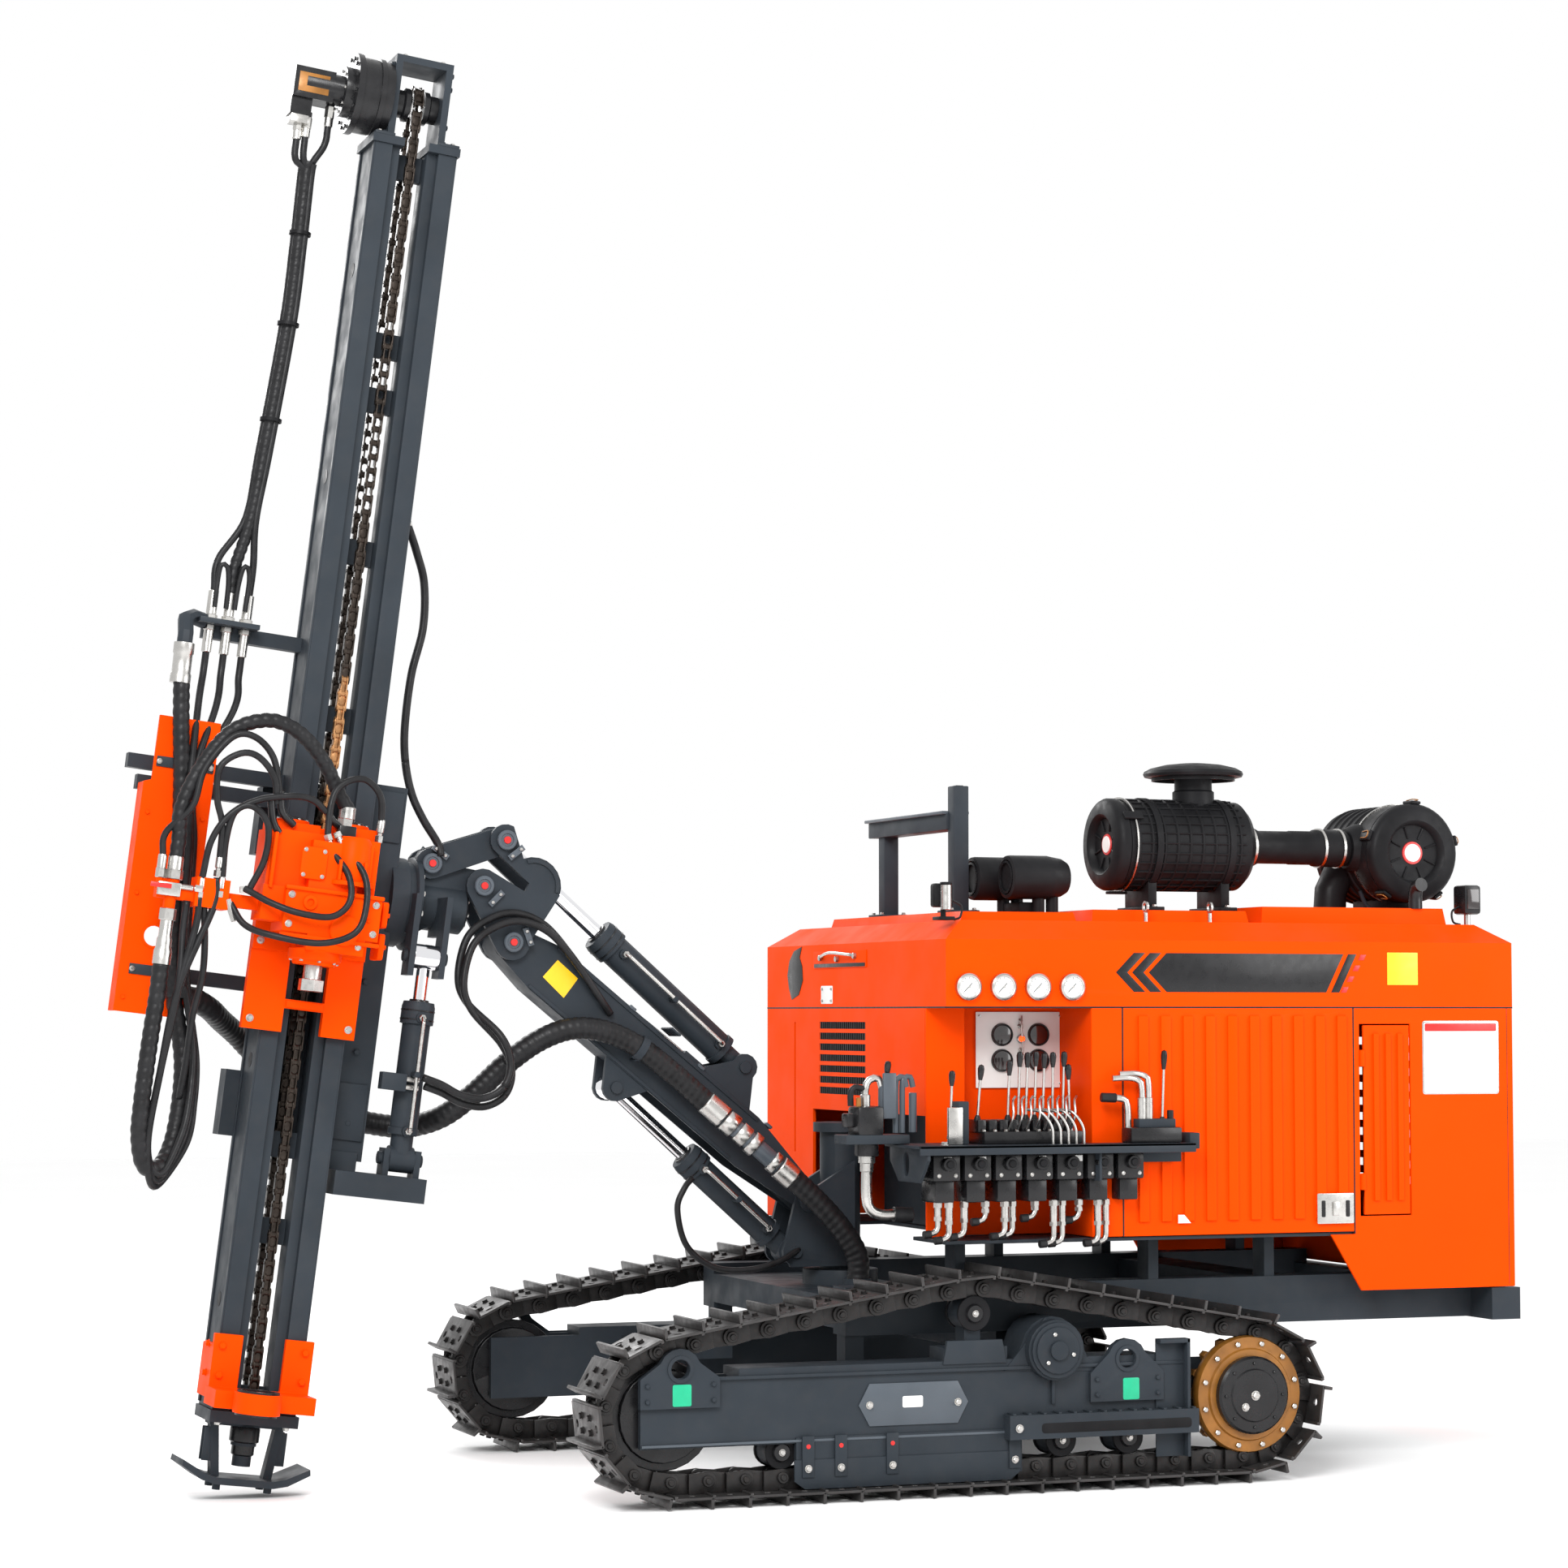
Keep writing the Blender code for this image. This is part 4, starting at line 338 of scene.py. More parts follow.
    def sweep(self, path, reach, kind, place=None, sides=12, travelled=0.0):
        """A skin round a path. Its reach is a radius, or a function of angle and way travelled."""
        bm = bmesh.new()
        rings = []
        side = None
        for i, here in enumerate(path):
            ahead = (path[min(i + 1, len(path) - 1)] - path[max(i - 1, 0)]).normalized()
            side = ahead.orthogonal() if side is None else side - ahead * side.dot(ahead)
            side.normalize()
            other = ahead.cross(side)
            travelled += (here - path[i - 1]).length if i else 0.0
            turn = [2 * pi * k / sides for k in range(sides)]
            far = [reach(t, travelled) if callable(reach) else reach for t in turn]
            rings.append([bm.verts.new(here + (side * cos(t) + other * sin(t)) * r) for t,
                          r in zip(turn, far)])
        for low, high in zip(rings, rings[1:]):
            for k in range(sides):
                bm.faces.new((low[k], low[(k + 1) % sides], high[(k + 1) % sides], high[k]))
        bm.faces.new(rings[0][::-1])
        bm.faces.new(rings[-1])
        self.gather(bm, kind, place, True)
        return travelled

    def stamp(self, mesh, places):
        """Copies of a ready mesh, whose materials this form then shares."""
        for place in places:
            start = len(self.bm.faces)
            self.bm.from_mesh(mesh)
            self.bm.faces.ensure_lookup_table()
            fresh_faces = self.bm.faces[start:]
            verts = {v for face in fresh_faces for v in face.verts}
            bmesh.ops.transform(self.bm, matrix=place, verts=list(verts))

    def mesh(self, name):
        mesh = bpy.data.meshes.new(name)
        self.bm.to_mesh(mesh)
        self.bm.free()
        for kind in self.kinds:
            mesh.materials.append(kind)
        return mesh

    def piece(self, name, body, *stands_for, slot=None):
        """The finished object, which rides on a body and stands for solids."""
        mesh = self.mesh(name)
        made = bpy.data.objects.new(name, mesh)
        bpy.context.scene.collection.objects.link(made)
        mesh.set_sharp_from_angle(angle=SHARP_FORM)
        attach(made, body)
        if stands_for:
            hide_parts(*stands_for)
        return made


def arc(cx, cy, radius, start, end, steps):
    angles = [radians(start + (end - start) * i / steps) for i in range(steps + 1)]
    return [(cx + radius * cos(a), cy + radius * sin(a)) for a in angles]


def disc(radius, height):
    """The profile of a plain disc, for turned."""
    return [(0, 0), (radius, 0), (radius, height), (0, height)]


def ring(inner, outer, low, high):
    """The profile of a plain ring, for turned."""
    return [(inner, low), (outer, low), (outer, high), (inner, high)]


def smooth_path(points, step):
    """A smooth curve through points, as points about a step apart."""
    points = [Vector(p) for p in points]
    ends = [points[0] * 2 - points[1], *points, points[-1] * 2 - points[-2]]
    path = []
    for a, b, c, d in zip(ends, ends[1:], ends[2:], ends[3:]):
        count = max(1, round((c - b).length / step))
        for i in range(count):
            t = i / count
            path.append(0.5 * (2 * b + (c - a) * t + (2 * a - 5 * b + 4 * c - d) * t ** 2
                               + (3 * b - a - 3 * c + d) * t ** 3))
    path.append(points[-1])
    return path


def nearest(path, point):
    """Index of the path's point that lies closest to a point."""
    return min(range(len(path)), key=lambda i: (path[i] - Vector(point)).length)


def rounded(name, kind, width=0.004):
    """A copy of a carried-over solid with softened edges."""
    solid = frame["nodes"][name]
    bm = bmesh.new()
    bm.from_mesh(solid.data)
    bmesh.ops.remove_doubles(bm, verts=bm.verts, dist=0.00005)
    bmesh.ops.dissolve_limit(bm, angle_limit=0.01, verts=bm.verts, edges=bm.edges)
    mesh = bpy.data.meshes.new(name + "_rounded")
    bm.to_mesh(mesh)
    bm.free()
    made = bpy.data.objects.new(name + "_rounded", mesh)
    bpy.context.scene.collection.objects.link(made)
    mesh.materials.append(kind)
    mesh.shade_smooth()
    mesh.set_sharp_from_angle(angle=SHARP_SOLID)
    soften = made.modifiers.new("edges", "BEVEL")
    soften.width = width
    soften.segments = 2
    soften.limit_method = "ANGLE"
    soften.angle_limit = SHARP_SOLID
    soften.harden_normals = True
    body = next(b for b, members in frame["record"]["behaviour"]["bodies"].items() if name in members)
    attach(made, body)
    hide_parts(name)
    return made


# Tracks

TRACK_Y = 0.90
WHEEL_Z = 0.305
CHAIN_RADIUS = 0.22
CARRIER = (-0.079, 0.62, 0.09)
TRACK_CIRCLES = ((-1.14, WHEEL_Z, CHAIN_RADIUS), (1.055, WHEEL_Z, CHAIN_RADIUS), CARRIER)
SHOE_PITCH = 0.135


def tangent_angle(a, b):
    dx, dz = b[0] - a[0], b[1] - a[1]
    return atan2(dz, dx) - acos((a[2] - b[2]) / hypot(dx, dz))


def belt_line():
    """Points closely set along the pin line of the track."""
    points = []
    count = len(TRACK_CIRCLES)
    for i in range(count):
        arrive = tangent_angle(TRACK_CIRCLES[i - 1], TRACK_CIRCLES[i])
        leave = tangent_angle(TRACK_CIRCLES[i], TRACK_CIRCLES[(i + 1) % count])
        x, z, radius = TRACK_CIRCLES[i]
        turn = (leave - arrive) % (2 * pi)
        for step in range(61):
            angle = arrive + turn * step / 60
            points.append(Vector((x + radius * cos(angle), 0, z + radius * sin(angle))))
    return points


def evenly(points, count):
    """Points evenly spaced along a closed line."""
    closed = points + [points[0]]
    lengths = [0.0]
    for a, b in zip(closed, closed[1:]):
        lengths.append(lengths[-1] + (b - a).length)
    found = []
    at = 0
    for i in range(count):
        want = lengths[-1] * i / count
        while lengths[at + 1] < want:
            at += 1
        share = (want - lengths[at]) / max(1e-9, lengths[at + 1] - lengths[at])
        found.append(closed[at].lerp(closed[at + 1], share))
    return found


def shoe_mesh():
    """One shoe and its two links: x along the track, z outwards, its front pin at x = half a pitch."""
    form = Form(Matrix.Identity(4))
    half = SHOE_PITCH / 2
    slots = [arc(0.0, side * 0.105, 0.014, 0, 330, 9) for side in (1, -1)]
    body = [(-half - 0.004, -0.15), (half - 0.008, -0.15), (half - 0.008, 0.15), (-half - 0.004, 0.15)]
    form.plate(body, 0.043, 0.052, SHOE, holes=slots, bevel=0.001, flat=True)
    form.box(half - 0.018, half - 0.006, -0.15, 0.15, 0.044, 0.084, SHOE, 0.003)
    form.box(-half - 0.012, -half, -0.15, 0.15, 0.036, 0.050, SHOE, 0.003)
    form.bolts((-0.032, 0.018), (-0.045, 0.045), 0.052, UP, 0.0105, CAST)
    for side in (1, -1):
        rear = [(-half, -0.03), (0.0, -0.024), (0.0, 0.043), (-half, 0.043)] + arc(-half, 0.0, 0.03, 110,
                                                                                   250, 6)
        front = [(0.0, -0.024), (half, -0.03)] + arc(half, 0.0, 0.03, -70, 70, 6) + [(half - 0.02, 0.043),
                                                                                     (0.0, 0.043)]
        form.plate(rear, side * 0.036, side * 0.050, CAST, bevel=0.002)
        form.plate(front, side * 0.049, side * 0.063, CAST, bevel=0.002)
        form.bar((half, side * 0.060, 0), (half, side * 0.074, 0), 0.020, CAST, sides=16)
        form.bar((half, side * 0.072, 0), (half, side * 0.080, 0), 0.011, CAST, sides=12)
    form.bar((half, -0.05, 0), (half, 0.05, 0), 0.021, CAST, sides=14)
    return form.mesh("shoe")


def dress_tracks():
    line = belt_line()
    length = sum((b - a).length for a, b in zip(line, line[1:] + line[:1]))
    count = round(length / SHOE_PITCH)
    pins = evenly(line, count)
    shoe = shoe_mesh()
    for name, side in (("left", 1), ("right", -1)):
        places = []
        for a, b in zip(pins, pins[1:] + pins[:1]):
            run = (a - b).normalized()
            out = Vector((0, -1, 0)).cross(run)
            turn = Matrix((run, LEFT, run.cross(Vector(LEFT)))).transposed().to_4x4()
            if turn.col[2].xyz.dot(out) < 0:
                out = -out
            middle = (a + b) / 2 + Vector((0, side * TRACK_Y, 0))
            places.append(MACHINE @ Matrix.Translation(middle) @ turn)
        form = Form()
        form.kinds = [SHOE, CAST]
        form.stamp(shoe, places)
        form.piece("track_shoes_" + name, "chassis", "track_" + name, slot="track_steel")


# Machinery house

HOUSE_Y = 0.90
SEAM_Z = 1.685
HOOD_TOP = 1.995
HOUSE_REAR = -2.29
PROUD = 0.0012       # how far a label, or a black plate of painted shade, stands out of its panel
# Turns a side plate to the front: its x becomes Y
FACING_FRONT = Matrix(((0, 1, 0, 0), (1, 0, 0, 0), (0, 0, 1, 0), (0, 0, 0, 1)))


def side_label_and_shade(form, points, kind, y=HOUSE_Y, depth=PROUD):
    form.plate(points, y + 0.0002, y + depth, kind, bevel=0.0003)


def front_label_and_shade(form, points, kind, x=0.0, depth=PROUD):
    """Points are (Y, Z) on a face that looks forwards."""
    form.plate(points, x + 0.0002, x + depth, kind, bevel=0.0003, place=FACING_FRONT)


def oblong(x0, x1, z0, z1, radius=0.006):
    """A rectangle with round corners."""
    low, high = sorted((x0, x1))
    low, high, z0, z1 = low + radius, high - radius, z0 + radius, z1 - radius
    corners = ((high, z0, -90), (high, z1, 0), (low, z1, 90), (low, z0, 180))
    return [point for x, z, start in corners for point in arc(x, z, radius, start, start + 90, 3)]


def dress_labels():
    """Stripes and bare plates on the house, and the handle and a leaf-shaped opening on the hood; black
    plates paint the shade in the slots and in the opening.
    """
    form = Form()
    low, high, middle = 1.740, 1.880, 1.810
    for x in (-0.660, -0.724):
        side_label_and_shade(form, [(x, middle), (x - 0.071, high), (x - 0.116, high), (x - 0.045, middle),
                          (x - 0.116, low), (x - 0.071, low)], GLOSS_BLACK)
    side_label_and_shade(form, [(-0.790, middle), (-0.861, high), (-1.580, high), (-1.508, low), (-0.861, low)],
               GLOSS_BLACK)
    side_label_and_shade(form, [(-1.600, high), (-1.634, high), (-1.562, low), (-1.528, low)], GLOSS_BLACK)
    for i in range(4):
        x, z = -1.652 + 0.0245 * i, high - 0.022 - 0.0395 * i
        side_label_and_shade(form, [(x, z + 0.020), (x - 0.022, z + 0.020), (x - 0.012, z), (x + 0.010, z)], RED)
    side_label_and_shade(form, oblong(-1.890, -1.762, 1.768, 1.887, 0.002), YELLOW)
    side_label_and_shade(form, oblong(-2.229, -1.906, 1.366, 1.636, 0.010), STEEL)
    side_label_and_shade(form, oblong(-2.223, -1.912, 1.372, 1.630, 0.008), WHITE, depth=0.0018)
    side_label_and_shade(form, oblong(-2.219, -1.916, 1.598, 1.627, 0.005), RED, depth=0.0024)
    side_label_and_shade(form, [(-0.896, 0.944), (-0.896, 0.914), (-0.947, 0.914), (-0.920, 0.944)], WHITE,
               y=HOUSE_Y + 0.010)
    # Latch plate over the panel's lower rear corner, with black plates that paint the shade in its two slots
    side_label_and_shade(form, oblong(-1.607, -1.457, 0.901, 1.010, 0.004), STEEL, y=HOUSE_Y + 0.010, depth=0.004)
    for x in (-1.582, -1.482):
        side_label_and_shade(form, oblong(x - 0.008, x + 0.008, 0.925, 0.985, 0.004), GLOSS_BLACK, y=HOUSE_Y + 0.014)
    form.box(-1.545, -1.519, HOUSE_Y + 0.013, HOUSE_Y + 0.022, 0.93, 0.98, STEEL, 0.003)
    # Small plate, slot and handle on the hood's front, and the opening beside them; a black strip paints the
    # shade in the slot
    front_label_and_shade(form, oblong(-0.310, -0.191, 1.700, 1.768, 0.004), WHITE)
    form.bolts(0.001, (-0.298, -0.203), (1.712, 1.756), FORWARD, 0.005)
    front_label_and_shade(form, oblong(-0.387, 0.156, 1.834, 1.900, 0.004), ORANGE, depth=0.003)
    front_label_and_shade(form, oblong(-0.375, 0.145, 1.838, 1.852, 0.003), GLOSS_BLACK, depth=0.005)
    form.tube([(0.004, -0.29, 1.878), (0.020, -0.26, 1.880), (0.024, -0.16, 1.892), (0.020, 0.0, 1.884),
               (0.004, 0.04, 1.880)], 0.006, STEEL)
    for y, z in ((-0.30, 1.874), (-0.13, 1.868), (0.05, 1.878)):
        form.bar((0.002, y, z), (0.016, y, z), 0.011, STEEL, sides=14)
    # The black leaf paints the shade in the opening
    leaf = [(-0.625, 1.717), (-0.655, 1.760), (-0.672, 1.812), (-0.650, 1.868), (-0.600, 1.905),
            (-0.515, 1.921), (-0.540, 1.880), (-0.512, 1.845), (-0.505, 1.790), (-0.550, 1.735)]
    front_label_and_shade(form, leaf, GLOSS_BLACK, depth=0.002)
    form.piece("house_labels_and_painted_shade", "chassis", slot="black_metal")


def dress_seams():
    """Rubber lines in the joints between the panels."""
    form = Form()
    half, y = 0.0028, HOUSE_Y
    for z0, z1, x in ((0.872, SEAM_Z, -0.685), (0.862, SEAM_Z, -1.618)):
        form.box(x - half, x + half, y - 0.004, y + 0.0006, z0, z1, RUBBER, 0.0)
    for side in (1, -1):
        y0, y1 = sorted((side * (y - 0.004), side * (y + 0.0006)))
        form.box(HOUSE_REAR + 0.001, 0.0006, y0, y1, SEAM_Z - half, SEAM_Z + half, RUBBER, 0.0)
        form.box(-2.266, -2.264, y0, y1, 0.665, SEAM_Z, RUBBER, 0.0)
    form.box(-0.004, 0.0006, -y, y, SEAM_Z - half, SEAM_Z + half, RUBBER, 0.0)
    form.box(HOUSE_REAR - 0.0006, HOUSE_REAR + 0.004, -y, y, SEAM_Z - half, SEAM_Z + half, RUBBER, 0.0)
    form.piece("panel_seals", "chassis")


def dress_gauges():
    """Four pressure gauges in a row above the levers."""
    form = Form()
    for i in range(4):
        place = Matrix.Translation((-0.082 - 0.134 * i, HOUSE_Y + 0.016, 1.757))
        rim = [(0.036, 0.003), (0.0365, 0.008), (0.041, 0.010), (0.0475, 0.004), (0.048, -0.014),
               (0.0455, -0.016), (0.0455, 0.0005), (0.036, 0.0005)]
        form.turned(rim, (0, 0, 0), LEFT, STEEL, 36, place)
        form.turned(ring(0, 0.0368, 0.0008, 0.0022), (0, 0, 0), LEFT, DIAL, 32, place)
        for tick in range(11):
            angle = radians(225 - 27 * tick)
            outer, inner = 0.033, 0.033 - (0.007 if tick % 5 == 0 else 0.004)
            a = Vector((cos(angle) * -inner, 0.0026, sin(angle) * inner))
            b = Vector((cos(angle) * -outer, 0.0026, sin(angle) * outer))
            form.bar(a, b, 0.0007, GLOSS_BLACK, sides=6, bevel=0, place=place)
        form.bar((-0.011, 0.0035, 0.013), (0.019, 0.0035, -0.017), 0.0012, GLOSS_BLACK, sides=8, bevel=0,
                 place=place)
        form.bar((0, 0.002, 0), (0, 0.006, 0), 0.0042, STEEL, sides=14, place=place)
    form.piece("pressure_gauges", "chassis", slot="chrome")


def dress_instruments():
    """White panel in the recess, with four dials, a warning lamp, switches and a bent handle."""
    form = Form()
    y = 0.6265
    form.plate(oblong(-0.581, -0.232, 1.396, 1.669, 0.003), y, y + 0.0025, WHITE)
    form.bolts((-0.566, -0.247), y + 0.0025, (1.411, 1.654), LEFT, 0.005)
    for x, z in ((-0.334, 1.587), (-0.478, 1.587), (-0.334, 1.494), (-0.478, 1.494)):
        form.turned([(0.036, 0.0), (0.0365, 0.010), (0.040, 0.011), (0.042, 0.0)], (x, y + 0.002, z), LEFT,
                    GLOSS_BLACK, 32)
        form.turned([(0, 0), (0.0368, 0), (0.034, 0.0065), (0.02, 0.0082), (0, 0.009)], (x, y + 0.0024, z),
                    LEFT, LENS, 32)
    form.bar((-0.408, y + 0.002, 1.572), (-0.408, y + 0.014, 1.572), 0.016, STEEL, sides=20)
    glass = [(0, 0), (0.0115, 0), (0.0105, 0.007), (0.006, 0.0105), (0, 0.0115)]
    form.turned(glass, (-0.408, y + 0.013, 1.572), LEFT, LAMP, 20)
    for z, size in ((1.638, 0.007), (1.618, 0.010), (1.530, 0.009), (1.508, 0.012), (1.480, 0.008)):
        form.bolt((-0.408, y + 0.002, z), LEFT, size)
    handle = [(-0.408, y + 0.014, 1.655), (-0.404, y + 0.020, 1.61), (-0.41, y + 0.018, 1.55),
              (-0.406, y + 0.016, 1.49)]
    form.tube(handle, 0.0035, STEEL)
    form.piece("instrument_panel", "chassis", slot="chrome")


def dress_front():
    """Fins in the grille, and the dark mesh behind it."""
    # Black blocks in the grille's slots and black sheets behind the front panel: painted shade of the dark
    # inside of the house.
    form = Form()
    rows, shade_blocks, low, pitch = 7, 22, 1.36, 0.041
    for row in range(rows):
        z = low + pitch * row
        for i in range(shade_blocks):
            y = -0.33 + 0.47 * (i + 0.5) / shade_blocks
            form.box(-0.0105, -0.0012, y - 0.0048, y + 0.0048, z - 0.001, z + 0.027, MATT_BLACK, 0.0)
    # Black sheets behind the grille and beside it: painted shade of the house's inside
    form.box(-0.020, -0.0125, -0.345, 0.155, 1.345, 1.65, MATT_BLACK, 0.002)
    form.box(-0.020, -0.0125, -0.61, -0.57, 1.12, 1.64, MATT_BLACK, 0.002)
    form.piece("grille_painted_shade", "chassis", slot="black_plastic")


def filter_end(form, at, along, r):
    """A filter's service cover: stepped rim, dished face and a white centre in a red ring."""
    form.turned([(0, 0), (r, 0), (r, 0.022), (r * 0.965, 0.034), (r * 0.90, 0.044), (r * 0.66, 0.049),
                 (r * 0.60, 0.042), (r * 0.56, 0.022), (r * 0.30, 0.019), (0, 0.019)], at, along, MATT_BLACK,
                48)
    at, along = Vector(at), Vector(along).normalized()
    for lift, share, height, kind in ((0.018, 0.235, 0.004, RED), (0.022, 0.185, 0.003, WHITE)):
        button = [(0, 0), (r * share, 0), (r * (share - 0.01), height), (0, height + 0.001)]
        form.turned(button, at + along * lift, along, kind, 28)
    side = along.orthogonal().normalized()
    for k in range(8):
        spoke = Matrix.Rotation(radians(45 * k + 20), 3, along) @ side * r
        form.bar(at + along * 0.021 + spoke * 0.30, at + along * 0.026 + spoke * 0.55, 0.0035, MATT_BLACK,
                 sides=8)


def ribs(r, first, pitch, count, width):
    """Part of a filter's profile: ribs that stand 6 mm out of its skin."""
    profile = []
    for i in range(count):
        s = first + pitch * i
        profile += [(r - 0.006, s), (r, s + 0.004), (r, s + width), (r - 0.006, s + width + 0.004)]
    return profile


def dress_front_filter():
    """The air filter that lies along the hood, its rain cap and feet, and the duct to the rear one."""
    y, z, r = 0.45, 2.289, 0.172
    form = Form()
    body = [(0, 0), (0.155, 0), (r - 0.006, 0.006), *ribs(r, 0.03, 0.052, 9, 0.010),
            (r - 0.006, 0.50), (r - 0.03, 0.525), (0.10, 0.545), (0, 0.545)]
    form.turned(body, (-0.862, y, z), BACKWARD, MATT_BLACK, 64)
    for k in range(28):
        angle = 2 * pi * k / 28
        dy, dz = (r - 0.003) * cos(angle), (r - 0.003) * sin(angle)
        form.bar((-0.90, y + dy, z + dz), (-1.335, y + dy, z + dz), 0.0035, MATT_BLACK, sides=6, bevel=0)
    filter_end(form, (-0.862, y, z), FORWARD, r)
    for angle in (35, 150, 270):
        dy, dz = (r + 0.006) * cos(radians(angle)), (r + 0.006) * sin(radians(angle))
        place = Matrix.Translation((0, y + dy, z + dz)) @ Matrix.Rotation(radians(angle - 90), 4, "X")
        form.box(-0.918, -0.842, -0.016, 0.016, -0.005, 0.006, MATT_BLACK, 0.004, place=place)
    form.turned(ring(r - 0.002, r + 0.0045, 0, 0.006), (-0.885, y, z), BACKWARD, STEEL, 64)
    neck = [(0, 0), (0.078, 0), (0.078, 0.10), (0.070, 0.106), (0.070, 0.165), (0, 0.165)]
    form.turned(neck, (-1.20, y, 2.39), UP, MATT_BLACK, 36)
    cap = [(0, 0.010), (0.165, 0.0), (0.182, 0.004), (0.187, 0.014), (0.183, 0.024), (0.160, 0.036),
           (0.110, 0.048), (0.050, 0.0545), (0, 0.056)]
    form.turned(cap, (-1.20, y, 2.543), UP, MATT_BLACK, 56)
    form.turned(ring(0.150, 0.156, 0.0, 0.016), (-1.20, y, 2.532), UP, MATT_BLACK, 48)
    duct = [(0, 0), (0.072, 0), (0.072, 0.05), (0.062, 0.07), (0.062, 0.20), (0.064, 0.205), (0.064, 0.30),
            (0.070, 0.31), (0.072, 0.42), (0.066, 0.44), (0, 0.44)]
    form.turned(duct, (-1.395, y, z), BACKWARD, MATT_BLACK, 36)
    for x in (-1.425, -1.72, -1.80):
        form.turned(ring(0.070, 0.0755, 0, 0.010), (x, y, z), BACKWARD, STEEL, 36)
    for x in (-1.28, -0.98):
        form.box(x - 0.035, x + 0.035, y - 0.13, y + 0.13, HOOD_TOP + 0.0455, HOOD_TOP + 0.062, MATT_BLACK,
                 0.003)
        form.box(x - 0.018, x + 0.018, y - 0.10, y + 0.10, HOOD_TOP + 0.050, 2.16, MATT_BLACK, 0.004)
        form.turned(ring(r - 0.002, r + 0.004, 0, 0.025), (x + 0.0125, y, z), BACKWARD, MATT_BLACK, 48)
        form.bolts(x, (y - 0.115, y + 0.115), HOOD_TOP + 0.062, UP, 0.009)
    form.piece("air_filter_front_detail", "chassis", "air_filter_front")


def dress_rear_filter():
    """The air filter that lies across the hood, its latches, and the elbow down into the hood."""
    x, z, r = -2.05, 2.27, 0.187
    foot = HOOD_TOP + 0.0625
    form = Form()
    body = [(0, 0), (0.10, 0), (r - 0.03, 0.012), (r - 0.006, 0.030), *ribs(r, 0.06, 0.05, 5, 0.012),
            (r - 0.006, 0.33), (r, 0.34), (r, 0.43), (0, 0.43)]
    form.turned(body, (x, 0.14, z), LEFT, MATT_BLACK, 64)
    filter_end(form, (x, 0.575, z), LEFT, r)
    form.turned(ring(r - 0.002, r + 0.0045, 0, 0.007), (x, 0.468, z), LEFT, STEEL, 64)
    for angle in (20, 95, 165, 235, 305):
        dx, dz = (r + 0.006) * cos(radians(angle)), (r + 0.006) * sin(radians(angle))
        place = Matrix.Translation((x + dx, 0, z + dz)) @ Matrix.Rotation(radians(90 - angle), 4, "Y")
        form.box(-0.020, 0.020, 0.53, 0.60, -0.006, 0.006, MATT_BLACK, 0.004, place=place)
        latch = [(-0.012, 0.545, 0.008), (-0.012, 0.59, 0.011), (0.012, 0.59, 0.011), (0.012, 0.545, 0.008)]
        form.tube(latch, 0.0022, OCHRE, place=place)
    socket = [(0, 0), (0.100, 0), (0.092, 0.05), (0.074, 0.085), (0, 0.085)]
    form.turned(socket, (-1.925, 0.45, 2.289), FORWARD, MATT_BLACK, 36)
    bend = [(-1.95, 0.33, 2.24), (-1.88, 0.33, 2.20), (-1.845, 0.33, 2.13), (-1.84, 0.33, HOOD_TOP + 0.063)]
    form.tube(bend, 0.062, MATT_BLACK, sides=24)
    form.box(-2.11, -1.99, 0.24, 0.50, foot, 2.115, MATT_BLACK, 0.005)
    for dx in (-0.08, 0.08):
        form.tube([(x + dx, 0.42, foot), (x + dx * 1.3, 0.42, 2.08), (x + dx * 1.6, 0.42, 2.13)], 0.008,
                  GREY)
    form.piece("air_filter_rear_detail", "chassis", "air_filter_rear")


def dress_precleaners():
    form = Form()
    drum = [(0, 0.010), (0.058, 0.008), (0.066, 0.0), (0.078, 0.004), (0.080, 0.014), (0.080, 0.16),
            (0.078, 0.168), (0.070, 0.215), (0.058, 0.236), (0, 0.240)]
    for x, y in ((-0.40, 0.52), (-0.34, 0.34)):
        form.turned(drum, (x, y, 2.16), BACKWARD, MATT_BLACK, 44)
        form.turned(ring(0.052, 0.060, -0.002, 0.004), (x, y, 2.16), BACKWARD, GLOSS_BLACK, 40)
        for dx in (0.13, 0.185):
            form.post(x - dx, y, HOOD_TOP + 0.0355, 2.10, 0.023, MATT_BLACK)
    form.box(-0.56, -0.46, 0.35, 0.51, HOOD_TOP + 0.0355, 2.07, MATT_BLACK, 0.004)
    form.piece("precleaner_drums", "chassis", "precleaners")


